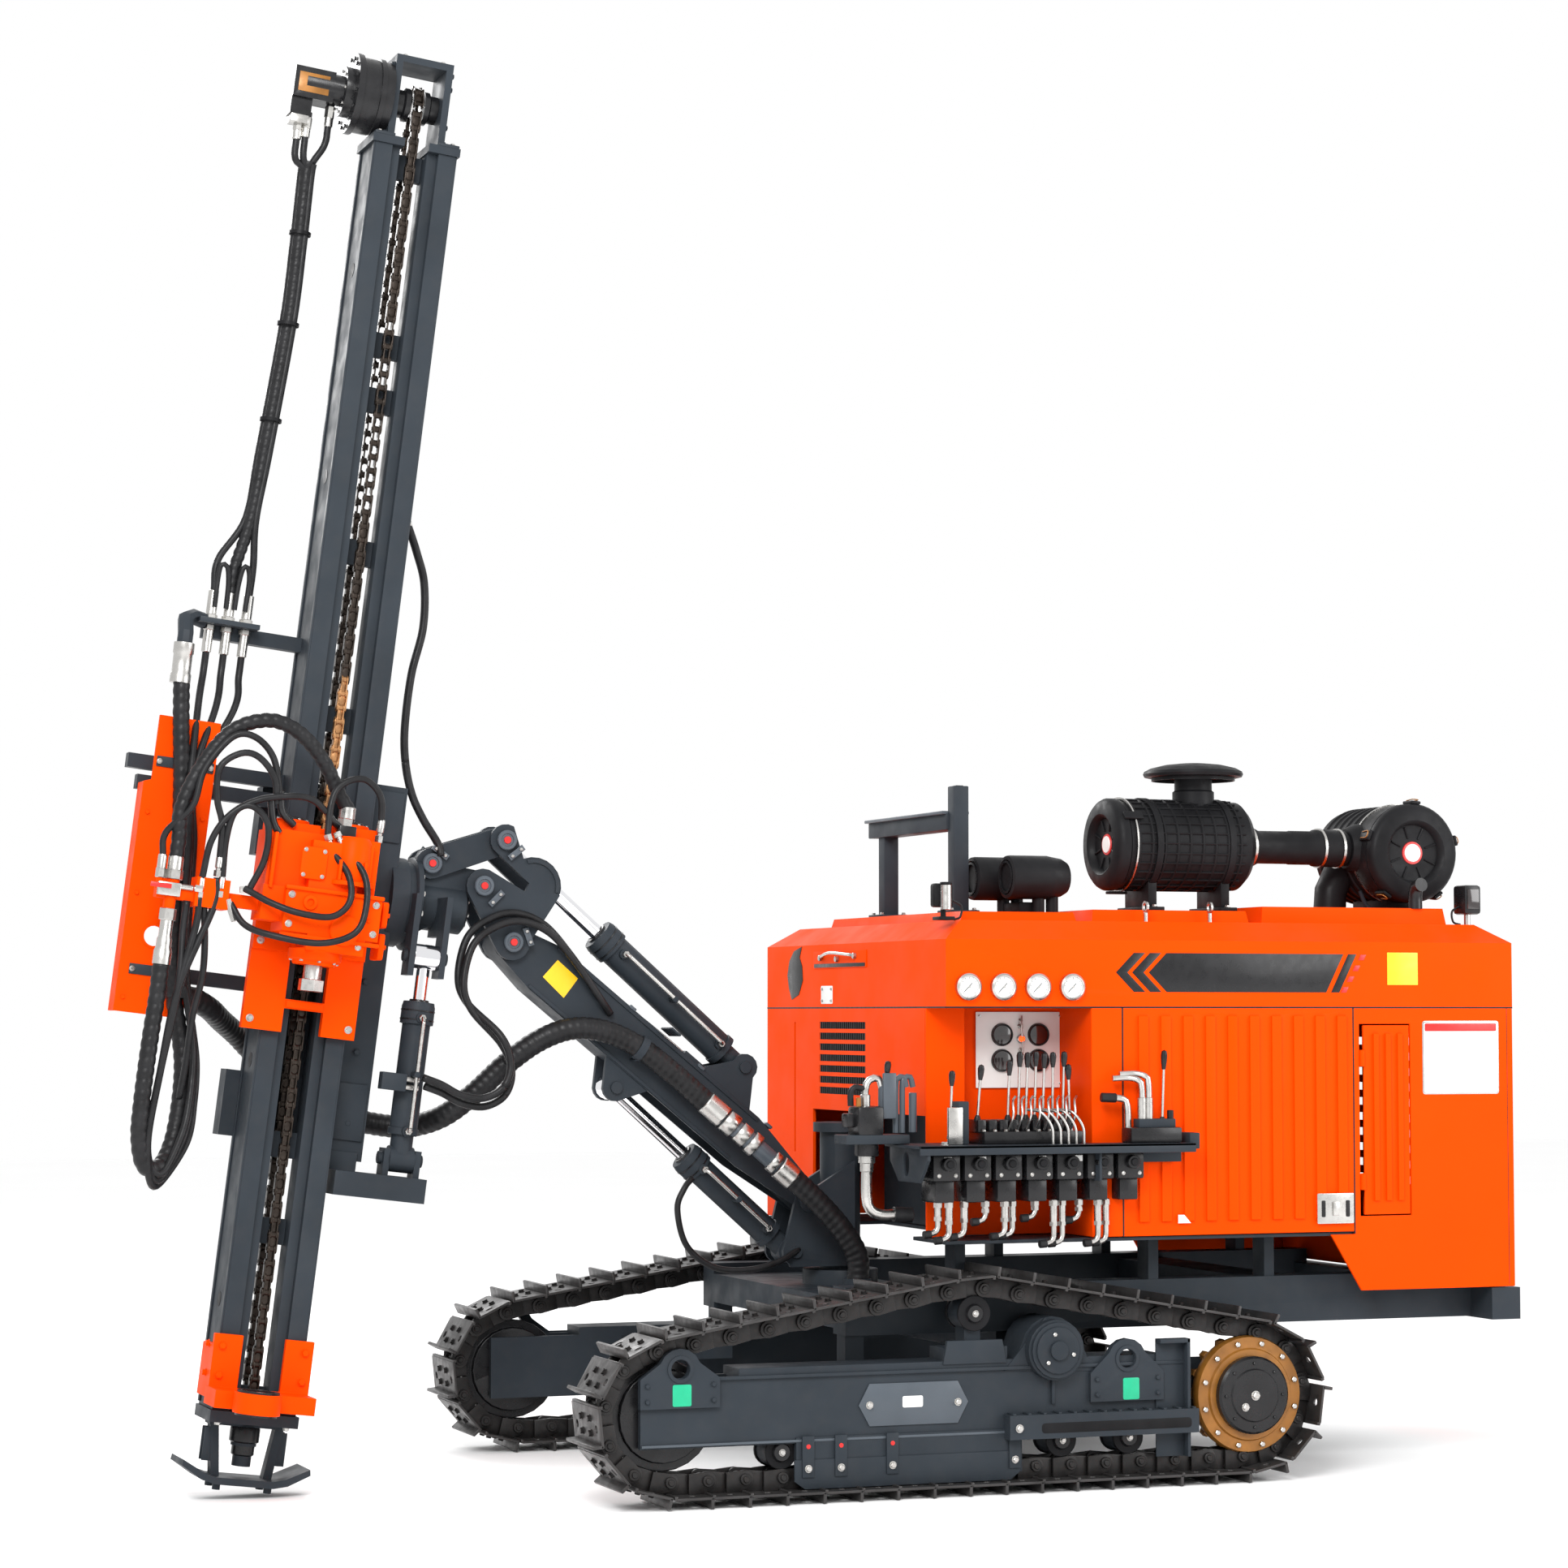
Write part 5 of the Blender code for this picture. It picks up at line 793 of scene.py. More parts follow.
def dress_roof_lamps():
    """Front and rear lamp with their cables, a breather bent forwards and two lifting eyes."""
    form = Form()
    x, y, top = -0.05, 0.78, HOOD_TOP
    form.box(x - 0.03, x + 0.03, y - 0.05, y + 0.02, top - 0.001, top + 0.012, MATT_BLACK, 0.003)
    form.post(x, y - 0.02, top + 0.01, top + 0.05, 0.010, MATT_BLACK)
    form.box(x - 0.038, x + 0.038, y - 0.055, y - 0.012, top + 0.045, top + 0.130, MATT_BLACK, 0.010)
    form.post(x, y + 0.006, top + 0.035, top + 0.125, 0.020, STEEL)
    form.post(x, y + 0.006, top + 0.123, top + 0.134, 0.0215, MATT_BLACK)
    cable = [(x - 0.04, y - 0.03, top + 0.07), (x - 0.075, y - 0.03, top + 0.05),
             (x - 0.07, y - 0.03, top + 0.012), (x - 0.045, y - 0.03, top + 0.002)]
    form.tube(cable, 0.004, RUBBER)
    x, y = -2.21, 0.72
    form.post(x, y, top - 0.002, top + 0.045, 0.012, STEEL)
    form.box(x - 0.036, x + 0.036, y - 0.045, y + 0.045, top + 0.040, top + 0.150, GLOSS_BLACK, 0.012)
    form.box(x - 0.025, x + 0.025, y + 0.040, y + 0.048, top + 0.060, top + 0.135, LENS, 0.004)
    cable = [(x + 0.036, y, top + 0.07), (x + 0.065, y, top + 0.05), (x + 0.06, y, top + 0.012),
             (x + 0.03, y, top + 0.002)]
    form.tube(cable, 0.004, RUBBER)
    breather = [(-2.00, 0.70, top + 0.060), (-2.00, 0.70, top + 0.12), (-2.00, 0.715, top + 0.145),
                (-2.00, 0.745, top + 0.150)]
    form.tube(breather, 0.026, GLOSS_BLACK, sides=20)
    for x in (-0.86, -1.12):
        form.turned(ring(0.014, 0.022, -0.004, 0.004), (x, 0.735, top + 0.055), FORWARD, STEEL, 20)
        form.post(x, 0.735, top - 0.001, top + 0.036, 0.008, STEEL)
    form.piece("roof_lamps", "chassis", slot="black_plastic")


def dress_mast_rest():
    """Frame on the hood in which the mast lies for travel."""
    form = Form()
    foot = HOOD_TOP + 0.0353
    form.box(-0.32, -0.26, 0.31, 0.37, foot, 2.50, GREY, 0.004)
    form.box(-0.305, -0.275, 0.325, 0.355, 2.49, 2.503, GLOSS_BLACK, 0.002)
    form.box(-0.32, -0.26, -0.37, -0.31, foot, 2.385, GREY, 0.004)
    form.box(-0.33, -0.25, -0.45, 0.32, 2.34, 2.40, GREY, 0.004)
    form.box(-0.345, -0.235, -0.455, 0.315, 2.398, 2.41, PALE_GREY, 0.003)
    for y in (0.34, -0.34):
        form.box(-0.35, -0.23, y - 0.06, y + 0.06, foot, foot + 0.012, GREY, 0.003)
        form.bolts((-0.29 - 0.045, -0.29 + 0.045), (y - 0.042, y + 0.042), foot + 0.012, UP, 0.008)
    form.piece("mast_rest_detail", "chassis", "mast_rest")


# Control bench

BENCH_Z = 1.195
BENCH_TOP = BENCH_Z + 0.0103


def lever(form, x, y, foot, top, lean=0.0, knob=0.055):
    """A chromed stem in a rubber boot, with a long black knob."""
    base, tip = Vector((x, y, foot)), Vector((x + lean, y + 0.015, top - knob))
    along = tip - base
    form.turned([(0, 0), (0.013, 0), (0.011, 0.012), (0.0065, 0.022), (0, 0.022)], base, along, RUBBER, 14)
    form.bar(base, tip + along.normalized() * 0.01, 0.0048, STEEL, sides=10)
    form.turned([(0, 0), (0.007, 0), (0.0105, knob * 0.35), (0.012, knob * 0.72), (0.009, knob * 0.93),
                 (0, knob)], tip, along, GLOSS_BLACK, 16)


def elbow(form, x, y, top, drop, reach=0.035, radius=0.0105):
    """A hose fitting: hexagons, a sleeve and a bent tail under a valve."""
    form.post(x, y, top, top - drop * 0.55, radius * 1.25, STEEL, 18)
    form.turned(disc(radius * 1.6, 0.018), (x, y, top - 0.022), UP, STEEL, 6, smooth=False)
    form.turned(disc(radius * 1.45, 0.014), (x, y, top - drop * 0.62), UP, STEEL, 6, smooth=False)
    z = top - drop
    tail = [(x, y, top - drop * 0.5), (x, y, z + radius * 2), (x + radius, y, z + radius * 0.3),
            (x + reach, y, z - 0.004)]
    form.tube(tail, radius, STEEL)
    form.bar((x + reach - 0.008, y, z - 0.004), (x + reach + 0.02, y, z - 0.006), radius * 1.35, RUBBER,
             sides=14)


def dress_bench_plates():
    """The bench's top, rims and end plate with its hole."""
    form = Form()
    clear = HOUSE_Y + 0.022
    z = BENCH_Z
    form.box(-0.55, 0.16, 0.7205, 1.05, z, z + 0.01, GREY, 0.002)
    form.box(-0.90, -0.54, clear, 1.05, z, z + 0.01, GREY, 0.002)
    form.box(-0.90, 0.16, 1.040, 1.050, z - 0.022, z + 0.010, GREY, 0.002)
    form.box(-0.90, -0.54, clear, clear + 0.01, z - 0.06, z + 0.005, GREY, 0.002)
    end = [(0.70, z + 0.008), (0.70, z - 0.05), (0.78, z - 0.12), (0.97, z - 0.12), (1.045, z - 0.04),
           (1.045, z + 0.008)]
    hole = [(0.85 + 0.028 * cos(t * pi / 10), z - 0.058 + 0.042 * sin(t * pi / 10)) for t in range(20)]
    form.plate(end, 0.12, 0.132, GREY, holes=[hole], place=FACING_FRONT)
    form.box(-0.545, -0.535, 0.6205, 1.02, z - 0.12, z + 0.005, GREY, 0.002)
    form.box(-0.54, -0.16, 0.6205, 0.73, z - 0.02, z + 0.005, GREY, 0.002)
    form.box(-0.93, -0.89, clear, 1.02, z - 0.012, z + 0.045, GREY, 0.004)
    form.piece("control_bench_detail", "chassis", "control_bench")


def dress_valve_bank():
    """Seven valves under the bench, and the fittings below them."""
    form = Form()
    low = BENCH_Z - 0.0003
    for i in range(7):
        x = 0.085 - 0.118 * i
        form.box(x - 0.104, x, 0.815, 0.985, low - 0.115, low, GLOSS_BLACK, 0.008)
        form.box(x - 0.088, x - 0.016, 0.835, 0.965, low - 0.19, low - 0.110, GLOSS_BLACK, 0.006)
        form.bar((x - 0.052, 0.975, low - 0.055), (x - 0.052, 1.015, low - 0.055), 0.024, GLOSS_BLACK,
                 sides=20)
        form.bar((x - 0.052, 1.012, low - 0.055), (x - 0.052, 1.022, low - 0.055), 0.014, MATT_BLACK,
                 sides=14)
        form.bolts((x - 0.022, x - 0.085), 0.985, low - 0.095, LEFT, 0.006)
    # Fittings below the valves: x, y, length
    for x, y, drop in ((0.045, 0.93, 0.11), (0.012, 0.95, 0.13), (-0.050, 0.94, 0.12), (-0.140, 0.92, 0.07),
                       (-0.200, 0.95, 0.12), (-0.238, 0.93, 0.12), (-0.330, 0.92, 0.06),
                       (-0.388, 0.95, 0.15), (-0.430, 0.93, 0.15), (-0.500, 0.92, 0.07),
                       (-0.560, 0.95, 0.15), (-0.600, 0.93, 0.15)):
        elbow(form, x, y, low - 0.185, drop)
    for x in (0.03, -0.10, -0.33, -0.47):
        form.box(x - 0.014, x + 0.014, 0.9855, 0.9875, low - 0.05, low - 0.03, WHITE, 0.0)
    form.piece("valve_bank_detail", "chassis", "valve_bank")


def dress_main_levers():
    """The long row of levers on its valve block, with bent pipes behind and between them."""
    form = Form()
    high = BENCH_TOP
    form.box(-0.50, -0.12, 0.80, 0.96, high, high + 0.045, GLOSS_BLACK, 0.006)
    for i in range(9):
        x = -0.125 - 0.042 * i
        form.box(x - 0.016, x + 0.016, 0.83, 0.93, high + 0.040, high + 0.085, GLOSS_BLACK, 0.005)
        form.bolt((x, 0.945, high + 0.045), UP, 0.007)
    # Levers: x, height of the knob's end, lean
    tops = ((-0.015, 1.465, 0.0), (-0.118, 1.485, -0.006), (-0.235, 1.50, 0.0), (-0.275, 1.53, 0.0),
            (-0.305, 1.528, 0.0), (-0.338, 1.532, 0.0), (-0.370, 1.525, 0.0), (-0.408, 1.528, 0.004),
            (-0.447, 1.530, 0.0), (-0.475, 1.485, 0.01))
    for x, top, lean in tops:
        lever(form, x, 0.90, high + (0.02 if x > -0.1 else 0.08), top, lean)
    for i in range(8):
        x = -0.215 - 0.034 * i
        pipe = [(x, 0.955, high + 0.05), (x - 0.004, 0.985, high + 0.10), (x - 0.012, 0.965, high + 0.15),
                (x - 0.05, 0.90, high + 0.165)]
        form.tube(pipe, 0.0042, STEEL)
    for i in range(5):
        x = -0.30 - 0.03 * i
        pipe = [(x, 0.93, high + 0.12), (x - 0.03, 0.98, high + 0.11), (x - 0.06, 1.00, high + 0.06),
                (x - 0.065, 1.0, high)]
        form.tube(pipe, 0.005, STEEL)
    form.box(-0.075, -0.035, 0.86, 0.93, high, high + 0.15, GREY, 0.004)
    form.box(-0.045, 0.01, 0.93, 0.945, high, high + 0.13, STEEL, 0.003)
    form.piece("main_levers", "chassis", "levers_main")


def dress_rear_levers():
    form = Form()
    high = BENCH_TOP
    form.box(-0.86, -0.66, 0.935, 1.02, high, high + 0.055, GLOSS_BLACK, 0.006)
    form.box(-0.845, -0.70, 0.95, 1.00, high + 0.05, high + 0.085, GREY, 0.004)
    lever(form, -0.80, 0.98, high + 0.07, 1.535, knob=0.07)
    for x, top in ((-0.725, 1.425), (-0.752, 1.440)):
        pipe = [(x, 0.97, high + 0.05), (x, 0.97, top - 0.03), (x + 0.012, 0.97, top),
                (x + 0.045, 0.95, top + 0.01), (x + 0.10, 0.94, top + 0.008)]
        form.tube(pipe, 0.0115, STEEL)
        form.post(x, 0.97, high + 0.07, high + 0.16, 0.0155, STEEL, 18)
    form.tube([(-0.675, 0.96, high + 0.03), (-0.672, 0.96, high + 0.13), (-0.655, 0.96, high + 0.155),
               (-0.60, 0.955, high + 0.16)], 0.013, STEEL)
    form.bar((-0.63, 0.957, high + 0.159), (-0.575, 0.95, high + 0.161), 0.017, RUBBER, sides=18)
    form.post(-0.835, 0.975, high + 0.08, high + 0.115, 0.012, GLOSS_BLACK)
    form.piece("rear_levers", "chassis", "levers_rear")


def dress_front_valves():
    """Valve group at the bench's front end, with its own lever and pipes."""
    form = Form()
    x, y, z = 0.26, 0.80, BENCH_Z
    form.box(0.12, 0.36, 0.74, 0.86, z + 0.012, z + 0.045, GREY, 0.004)
    form.box(x - 0.045, x + 0.055, y - 0.05, y + 0.06, z + 0.04, z + 0.145, GLOSS_BLACK, 0.014)
    form.post(x, y, z - 0.03, z + 0.05, 0.042, GLOSS_BLACK)
    form.post(x, y, z - 0.055, z - 0.025, 0.030, STEEL)
    form.post(x, y, z - 0.085, z - 0.05, 0.024, STEEL)
    form.tube([(x, y, z - 0.07), (x, y, z - 0.17), (x - 0.012, y, z - 0.215), (x - 0.05, y, z - 0.235),
               (x - 0.12, y, z - 0.235)], 0.0195, STEEL, sides=18)
    form.bar((x - 0.10, y, z - 0.235), (x - 0.17, y, z - 0.238), 0.027, RUBBER)
    form.box(x + 0.05, x + 0.085, y - 0.03, y + 0.03, z + 0.07, z + 0.12, GLOSS_BLACK, 0.008)
    form.tube([(x + 0.005, y, z + 0.12), (x + 0.005, y, z + 0.20), (x - 0.01, y, z + 0.235),
               (x - 0.045, y, z + 0.24), (x - 0.06, y, z + 0.20)], 0.013, STEEL)
    form.post(x + 0.005, y, z + 0.13, z + 0.185, 0.018, STEEL, 18)
    form.post(x - 0.065, y, z + 0.12, z + 0.215, 0.020, PALE_GREY, 20)
    lever(form, x - 0.07, y, z + 0.20, 1.50)
    form.box(x - 0.10, x - 0.05, y + 0.02, y + 0.035, z + 0.10, z + 0.26, PALE_GREY, 0.006)
    for dx in (0.11, 0.135):
        form.tube([(x - dx, y, z + 0.05), (x - dx, y, z + 0.215), (x - dx - 0.008, y, z + 0.24),
                   (x - dx - 0.03, y, z + 0.245), (x - dx - 0.04, y, z + 0.21)], 0.0105, PALE_GREY)
    form.post(x - 0.175, y, z + 0.05, z + 0.19, 0.014, PALE_GREY)
    form.tube([(x + 0.06, y, z + 0.145), (x + 0.06, y, z + 0.19), (x + 0.045, y, z + 0.21),
               (x + 0.01, y, z + 0.205)], 0.011, RUBBER)
    form.post(x + 0.038, y + 0.02, z + 0.14, z + 0.175, 0.009, OCHRE)
    form.bolt((0.04, 0.98, z + 0.010), UP, 0.012)
    form.piece("front_valve_group", "chassis", slot="black_metal")


# Softened solids of the house: name, finish, width of the rounded edges
HOUSE_PARTS = (
    ("hood", ORANGE, 0.006),
    ("front_panel", ORANGE, 0.003),
    ("control_recess", ORANGE, 0.004),
    ("left_side_panel", ORANGE, 0.003),
    ("left_rear_panel", ORANGE, 0.003),
    ("left_service_door", ORANGE, 0.003),
    ("right_front_panel", ORANGE, 0.003),
    ("right_rear_panel", ORANGE, 0.003),
    ("right_door", ORANGE, 0.003),
    ("rear_panel", ORANGE, 0.003),
    ("front_niche", GREY, 0.002),
    ("deck", GREY, 0.002),
    ("power_unit", GREY, 0.006),
)


def dress_house():
    for name, kind, width in HOUSE_PARTS:
        rounded(name, kind, width)
    dress_labels()
    dress_seams()
    dress_gauges()
    dress_instruments()
    dress_front()
    dress_front_filter()
    dress_rear_filter()
    dress_precleaners()
    dress_roof_lamps()
    dress_mast_rest()
    dress_bench_plates()
    dress_valve_bank()
    dress_main_levers()
    dress_rear_levers()
    dress_front_valves()


# Undercarriage

FRAME_Y = 0.98           # outer face of a track frame
SPROCKET_X = -1.14
PIVOT = (-0.366, 0.489)
ROLLERS_X = (0.64, 0.36, 0.11, -0.15, -0.41, -0.67)
ROLLER_Z = 0.17


def ring_of_bolts(form, centre, radius, count, along, size, kind=STEEL, turn=0.0):
    """Bolts evenly round a centre, on a face square to along."""
    centre, along = Vector(centre), Vector(along).normalized()
    side = along.orthogonal().normalized()
    other = along.cross(side)
    for i in range(count):
        angle = turn + 2 * pi * i / count
        place = centre + (side * cos(angle) + other * sin(angle)) * radius
        form.bolt(place, along, size, kind, washer=False)


class Flank(Form):
    """A form on a track's outer side. Its y counts outwards, on the left as on the right."""

    def __init__(self, side):
        super().__init__()
        self.side = side
        self.out = Vector((0, side, 0))

    def slab(self, points, y0, y1, kind, bevel=0.002):
        self.plate(points, self.side * y0, self.side * y1, kind, bevel=bevel)

    def block(self, x0, x1, y0, y1, z0, z1, kind=GREY, bevel=0.002):
        self.box(x0, x1, *sorted((self.side * y0, self.side * y1)), z0, z1, kind, bevel)

    def hub(self, x, z, radius, y0, y1, kind, end_radius=None):
        self.bar((x, self.side * y0, z), (x, self.side * y1, z), radius, kind, end_radius)

    def screw(self, x, y, z, size, kind=STEEL):
        self.bolt((x, self.side * y, z), self.out, size, kind)


def dress_beam(form):
    """Ledges, plates, pivot disc, rear bracket and step on a track frame's outer face."""
    y = FRAME_Y
    form.block(-0.90, 1.15, y, y + 0.012, 0.424, 0.436)
    form.block(-0.90, 1.15, y, y + 0.010, 0.205, 0.214, PALE_GREY)
    cover = [(-0.044, 0.32), (-0.005, 0.248), (0.325, 0.248), (0.365, 0.32), (0.325, 0.393), (-0.005, 0.393)]
    form.slab(cover, y, y + 0.006, PALE_GREY)
    for x in (-0.005, 0.325):
        form.screw(x, y + 0.006, 0.32, 0.011)
    form.slab(oblong(0.127, 0.203, 0.308, 0.347), y + 0.006, y + 0.0075, WHITE, 0.0005)
    form.slab([(-0.190, 0.449), (0.050, 0.449), (0.034, 0.53), (-0.174, 0.53)], y - 0.012, y + 0.006, GREY)
    x, z = PIVOT
    for radius, y0, y1 in ((0.106, y, y + 0.04), (0.082, y + 0.048, y + 0.058),
                           (0.034, y + 0.055, y + 0.07)):
        form.hub(x, z, radius, y0, y1, GREY)
    ring_of_bolts(form, (x, form.side * (y + 0.056), z), 0.058, 3, form.out, 0.008, turn=pi / 2)
    form.slab([(-0.182, 0.42), (-0.338, 0.60), (-0.556, 0.408)], y - 0.006, y + 0.004, GREY)
    form.block(-0.372, -0.360, y, y + 0.012, 0.30, 0.395)
    for x1, y1, z0 in ((-0.766, y + 0.008, 0.10), (-0.872, y + 0.045, 0.10), (-0.766, y + 0.045, 0.50)):
        form.block(-0.884, x1, y, y1, z0, 0.515)
    for i in range(13):
        x = -0.90 + 0.058 * i
        form.block(x, x + 0.012, y + 0.004, y + 0.056, 0.268, 0.276)
    form.slab(oblong(-0.88, -0.30, 0.205, 0.240, 0.012), y + 0.0575, y + 0.059, MATT_BLACK, 0.0003)
    form.screw(-0.215, y + 0.058, 0.225, 0.012)


def dress_rollers(form):
    """Rims, hub and bolt of the carrier roller and the bottom rollers."""
    for x, z, radius in ((*CARRIER[:2], 0.062), *((x, ROLLER_Z, 0.058) for x in ROLLERS_X)):
        for y in (TRACK_Y - 0.06, TRACK_Y + 0.046):
            form.hub(x, z, radius, y, y + 0.014, MATT_BLACK)
        form.hub(x, z, 0.034, TRACK_Y + 0.058, TRACK_Y + 0.072, GLOSS_BLACK, 0.030)
        form.screw(x, TRACK_Y + 0.072, z, 0.010)


def dress_guard_and_lugs(form):
    """The guard over the rollers, hung in brackets, and the two lifting lugs with their green plates."""
    y = FRAME_Y
    guard = [(-0.236, 0.072), (-0.20, 0.045), (0.565, 0.045), (0.603, 0.072), (0.603, 0.145),
             (-0.236, 0.145)]
    form.slab(guard, y + 0.004, y + 0.014, GREY)
    for x in (0.435, 0.555, 0.245, -0.215):
        form.block(x - 0.022, x + 0.022, y + 0.010, y + 0.020, 0.085, 0.225)
        form.screw(x, y + 0.020, 0.115, 0.011)
        form.hub(x, 0.19, 0.008, y + 0.020, y + 0.0212, RED)
    for x, low, high in ((1.016, 0.335, 0.536), (-0.649, 0.302, 0.52)):
        form.turned(ring(0.034, 0.046, -0.004, 0.004), (x, form.side * (y + 0.018), high - 0.07), form.out,
                    GREY, 28)
        for dx in (-0.118, 0.118):
            for dz in (0.025, 0.078):
                form.screw(x + dx, y + 0.018, low + dz, 0.008, GREY)
    for x0, x1, z0, z1 in ((0.977, 1.044, 0.342, 0.415), (-0.695, -0.632, 0.306, 0.382)):
        form.slab(oblong(x0, x1, z0, z1), y + 0.018, y + 0.0192, GREEN, 0.0003)


def dress_frame(name, side):
    form = Flank(side)
    dress_beam(form)
    dress_rollers(form)
    dress_guard_and_lugs(form)
    form.piece("track_frame_detail_" + name, "chassis")


def dress_final_drive(name, side):
    """A rear sprocket: bolted ring, black hub and teeth between the links' pins."""
    form = Form()
    out = (0, side, 0)
    start = (SPROCKET_X, side * TRACK_Y, WHEEL_Z)
    drum = [(0, -0.072), (0.12, -0.072), (0.12, 0.0), (0.185, 0.0), (0.192, 0.012), (0.205, 0.030),
            (0.209, 0.062), (0.203, 0.078), (0.165, 0.080), (0.160, 0.088), (0.140, 0.088), (0, 0.088)]
    form.turned(drum, start, out, OCHRE, 48)
    hub = [(0, 0.06), (0.138, 0.06), (0.138, 0.112), (0.130, 0.120), (0.095, 0.120), (0.090, 0.126),
           (0, 0.126)]
    form.turned(hub, start, out, GLOSS_BLACK, 48)
    ring_of_bolts(form, (SPROCKET_X, side * (TRACK_Y + 0.080), WHEEL_Z), 0.184, 12, out, 0.010)
    ring_of_bolts(form, (SPROCKET_X, side * (TRACK_Y + 0.120), WHEEL_Z), 0.113, 8, out, 0.006, GLOSS_BLACK)
    form.bolt((SPROCKET_X + 0.04, side * (TRACK_Y + 0.126), WHEEL_Z - 0.04), out, 0.012)
    form.bolt((SPROCKET_X, side * (TRACK_Y + 0.126), WHEEL_Z), out, 0.014)
    tooth = [(0.175, -0.024), (0.205, -0.010), (0.205, 0.010), (0.175, 0.024)]
    for i in range(16):
        place = Matrix.Translation((SPROCKET_X, 0, WHEEL_Z)) @ Matrix.Rotation(2 * pi * i / 16, 4, "Y")
        form.plate(tooth, side * (TRACK_Y - 0.018), side * (TRACK_Y + 0.018), OCHRE, place=place)
    form.piece("final_drive_" + name, "chassis", "sprocket_" + name, slot="ochre_paint")


def dress_undercarriage():
    for name, side in (("left", 1), ("right", -1)):
        rounded("track_frame_" + name, GREY, 0.004)
        rounded("idler_" + name, GLOSS_BLACK, 0.004)
        dress_frame(name, side)
        dress_final_drive(name, side)
    rounded("chassis_frame", GREY, 0.004)


# Boom, its cylinders and the mast's knuckle

PINS = {"tip": (1.346, 1.918), "rod": (1.372, 2.284), "head": (1.456, 2.119), "link": (1.640, 2.198)}
CHEEK_OUT = 0.102
BOOM_FOOT = Vector((0.20, 0, 0.98))
BOOM_TIP = Vector((1.346, 0, 1.918))
LIFT_FOOT = (0.26, 0.79)
LIFT_EAR = (0.944, 1.395)
PITCH_FOOT = (0.448, 1.466)
BOOM_HALF = 0.075


def pin_cap(form, centre, y, lock=None):
    """A pin's end with a red centre, and the plate that keeps it from turning."""
    x, z = centre
    cap = [(0, 0), (0.036, 0), (0.036, 0.007), (0.033, 0.010), (0.024, 0.010), (0.022, 0.006), (0, 0.006)]
    for side in (1, -1):
        out = (0, side, 0)
        form.turned(cap, (x, side * y, z), out, PALE_GREY, 28)
        form.bar((x, side * (y + 0.005), z), (x, side * (y + 0.012), z), 0.013, RED, bevel=0.001)
        if lock:
            mid = Vector((x + lock[0], 0, z + lock[1]))
            across = Vector((-lock[1], 0, lock[0])).normalized() * 0.034
            inward = Vector((lock[0], 0, lock[1])).normalized() * 0.011
            corners = [mid + across - inward, mid + across + inward, mid - across + inward,
                       mid - across - inward]
            form.plate([(c.x, c.z) for c in corners], side * (y - 0.002), side * (y + 0.006), PALE_GREY)
            for end in (mid + across * 0.6, mid - across * 0.6):
                form.bolt((end.x, side * (y + 0.006), end.z), out, 0.0065, washer=False)


def dress_cylinder(name, foot, eye, side, end, radius, rod_radius, ports, place=MACHINE):
    """Gland, ports and the steel pipe along a barrel."""
    run, side = (eye - foot).normalized(), Vector(side)
    form = Form(place)
    foot_ring = [(radius - 0.004, 0.086), (radius + 0.004, 0.088), (radius + 0.004, 0.110),
                 (radius - 0.004, 0.112)]
    form.turned(foot_ring, foot, run, GREY, 40)
    gland = [(radius - 0.002, end - 0.075), (radius + 0.009, end - 0.072), (radius + 0.009, end - 0.012),
             (radius + 0.004, end + 0.006), (rod_radius + 0.004, end + 0.008),
             (rod_radius + 0.004, end - 0.02)]
    form.turned(gland, foot, run, GREY, 40)
    for low in (end - 0.060, end - 0.028):
        groove = [(radius + 0.006, low), (radius + 0.011, low + 0.001), (radius + 0.011, low + 0.005),
                  (radius + 0.006, low + 0.006)]
        form.turned(groove, foot, run, GLOSS_BLACK, 40)
    wiper = [(rod_radius + 0.002, end + 0.004), (rod_radius + 0.012, end + 0.005),
             (rod_radius + 0.010, end + 0.014), (rod_radius + 0.002, end + 0.015)]
    form.turned(wiper, foot, run, GLOSS_BLACK, 32)
    heads = []
    for along in ports:
        base = foot + run * along
        form.bar(base + side * (radius - 0.01), base + side * (radius + 0.016), 0.019, GREY, sides=20)
        form.bar(base + side * (radius + 0.014), base + side * (radius + 0.036), 0.013, STEEL, sides=6)
        heads.append(base + side * (radius + 0.034))
    low, high = heads
    lift = side * 0.012
    pipe = [low, low + lift + run * 0.014, low + lift + run * 0.05, high + lift - run * 0.05,
            high + lift - run * 0.014, high]
    form.tube(pipe, 0.0075, STEEL)
    middle = (low + high) / 2 + lift - side * 0.05
    form.bar(middle, middle + side * 0.058, 0.012, GREY, sides=8)
    form.piece(name + "_barrel_detail", name + "_barrel")


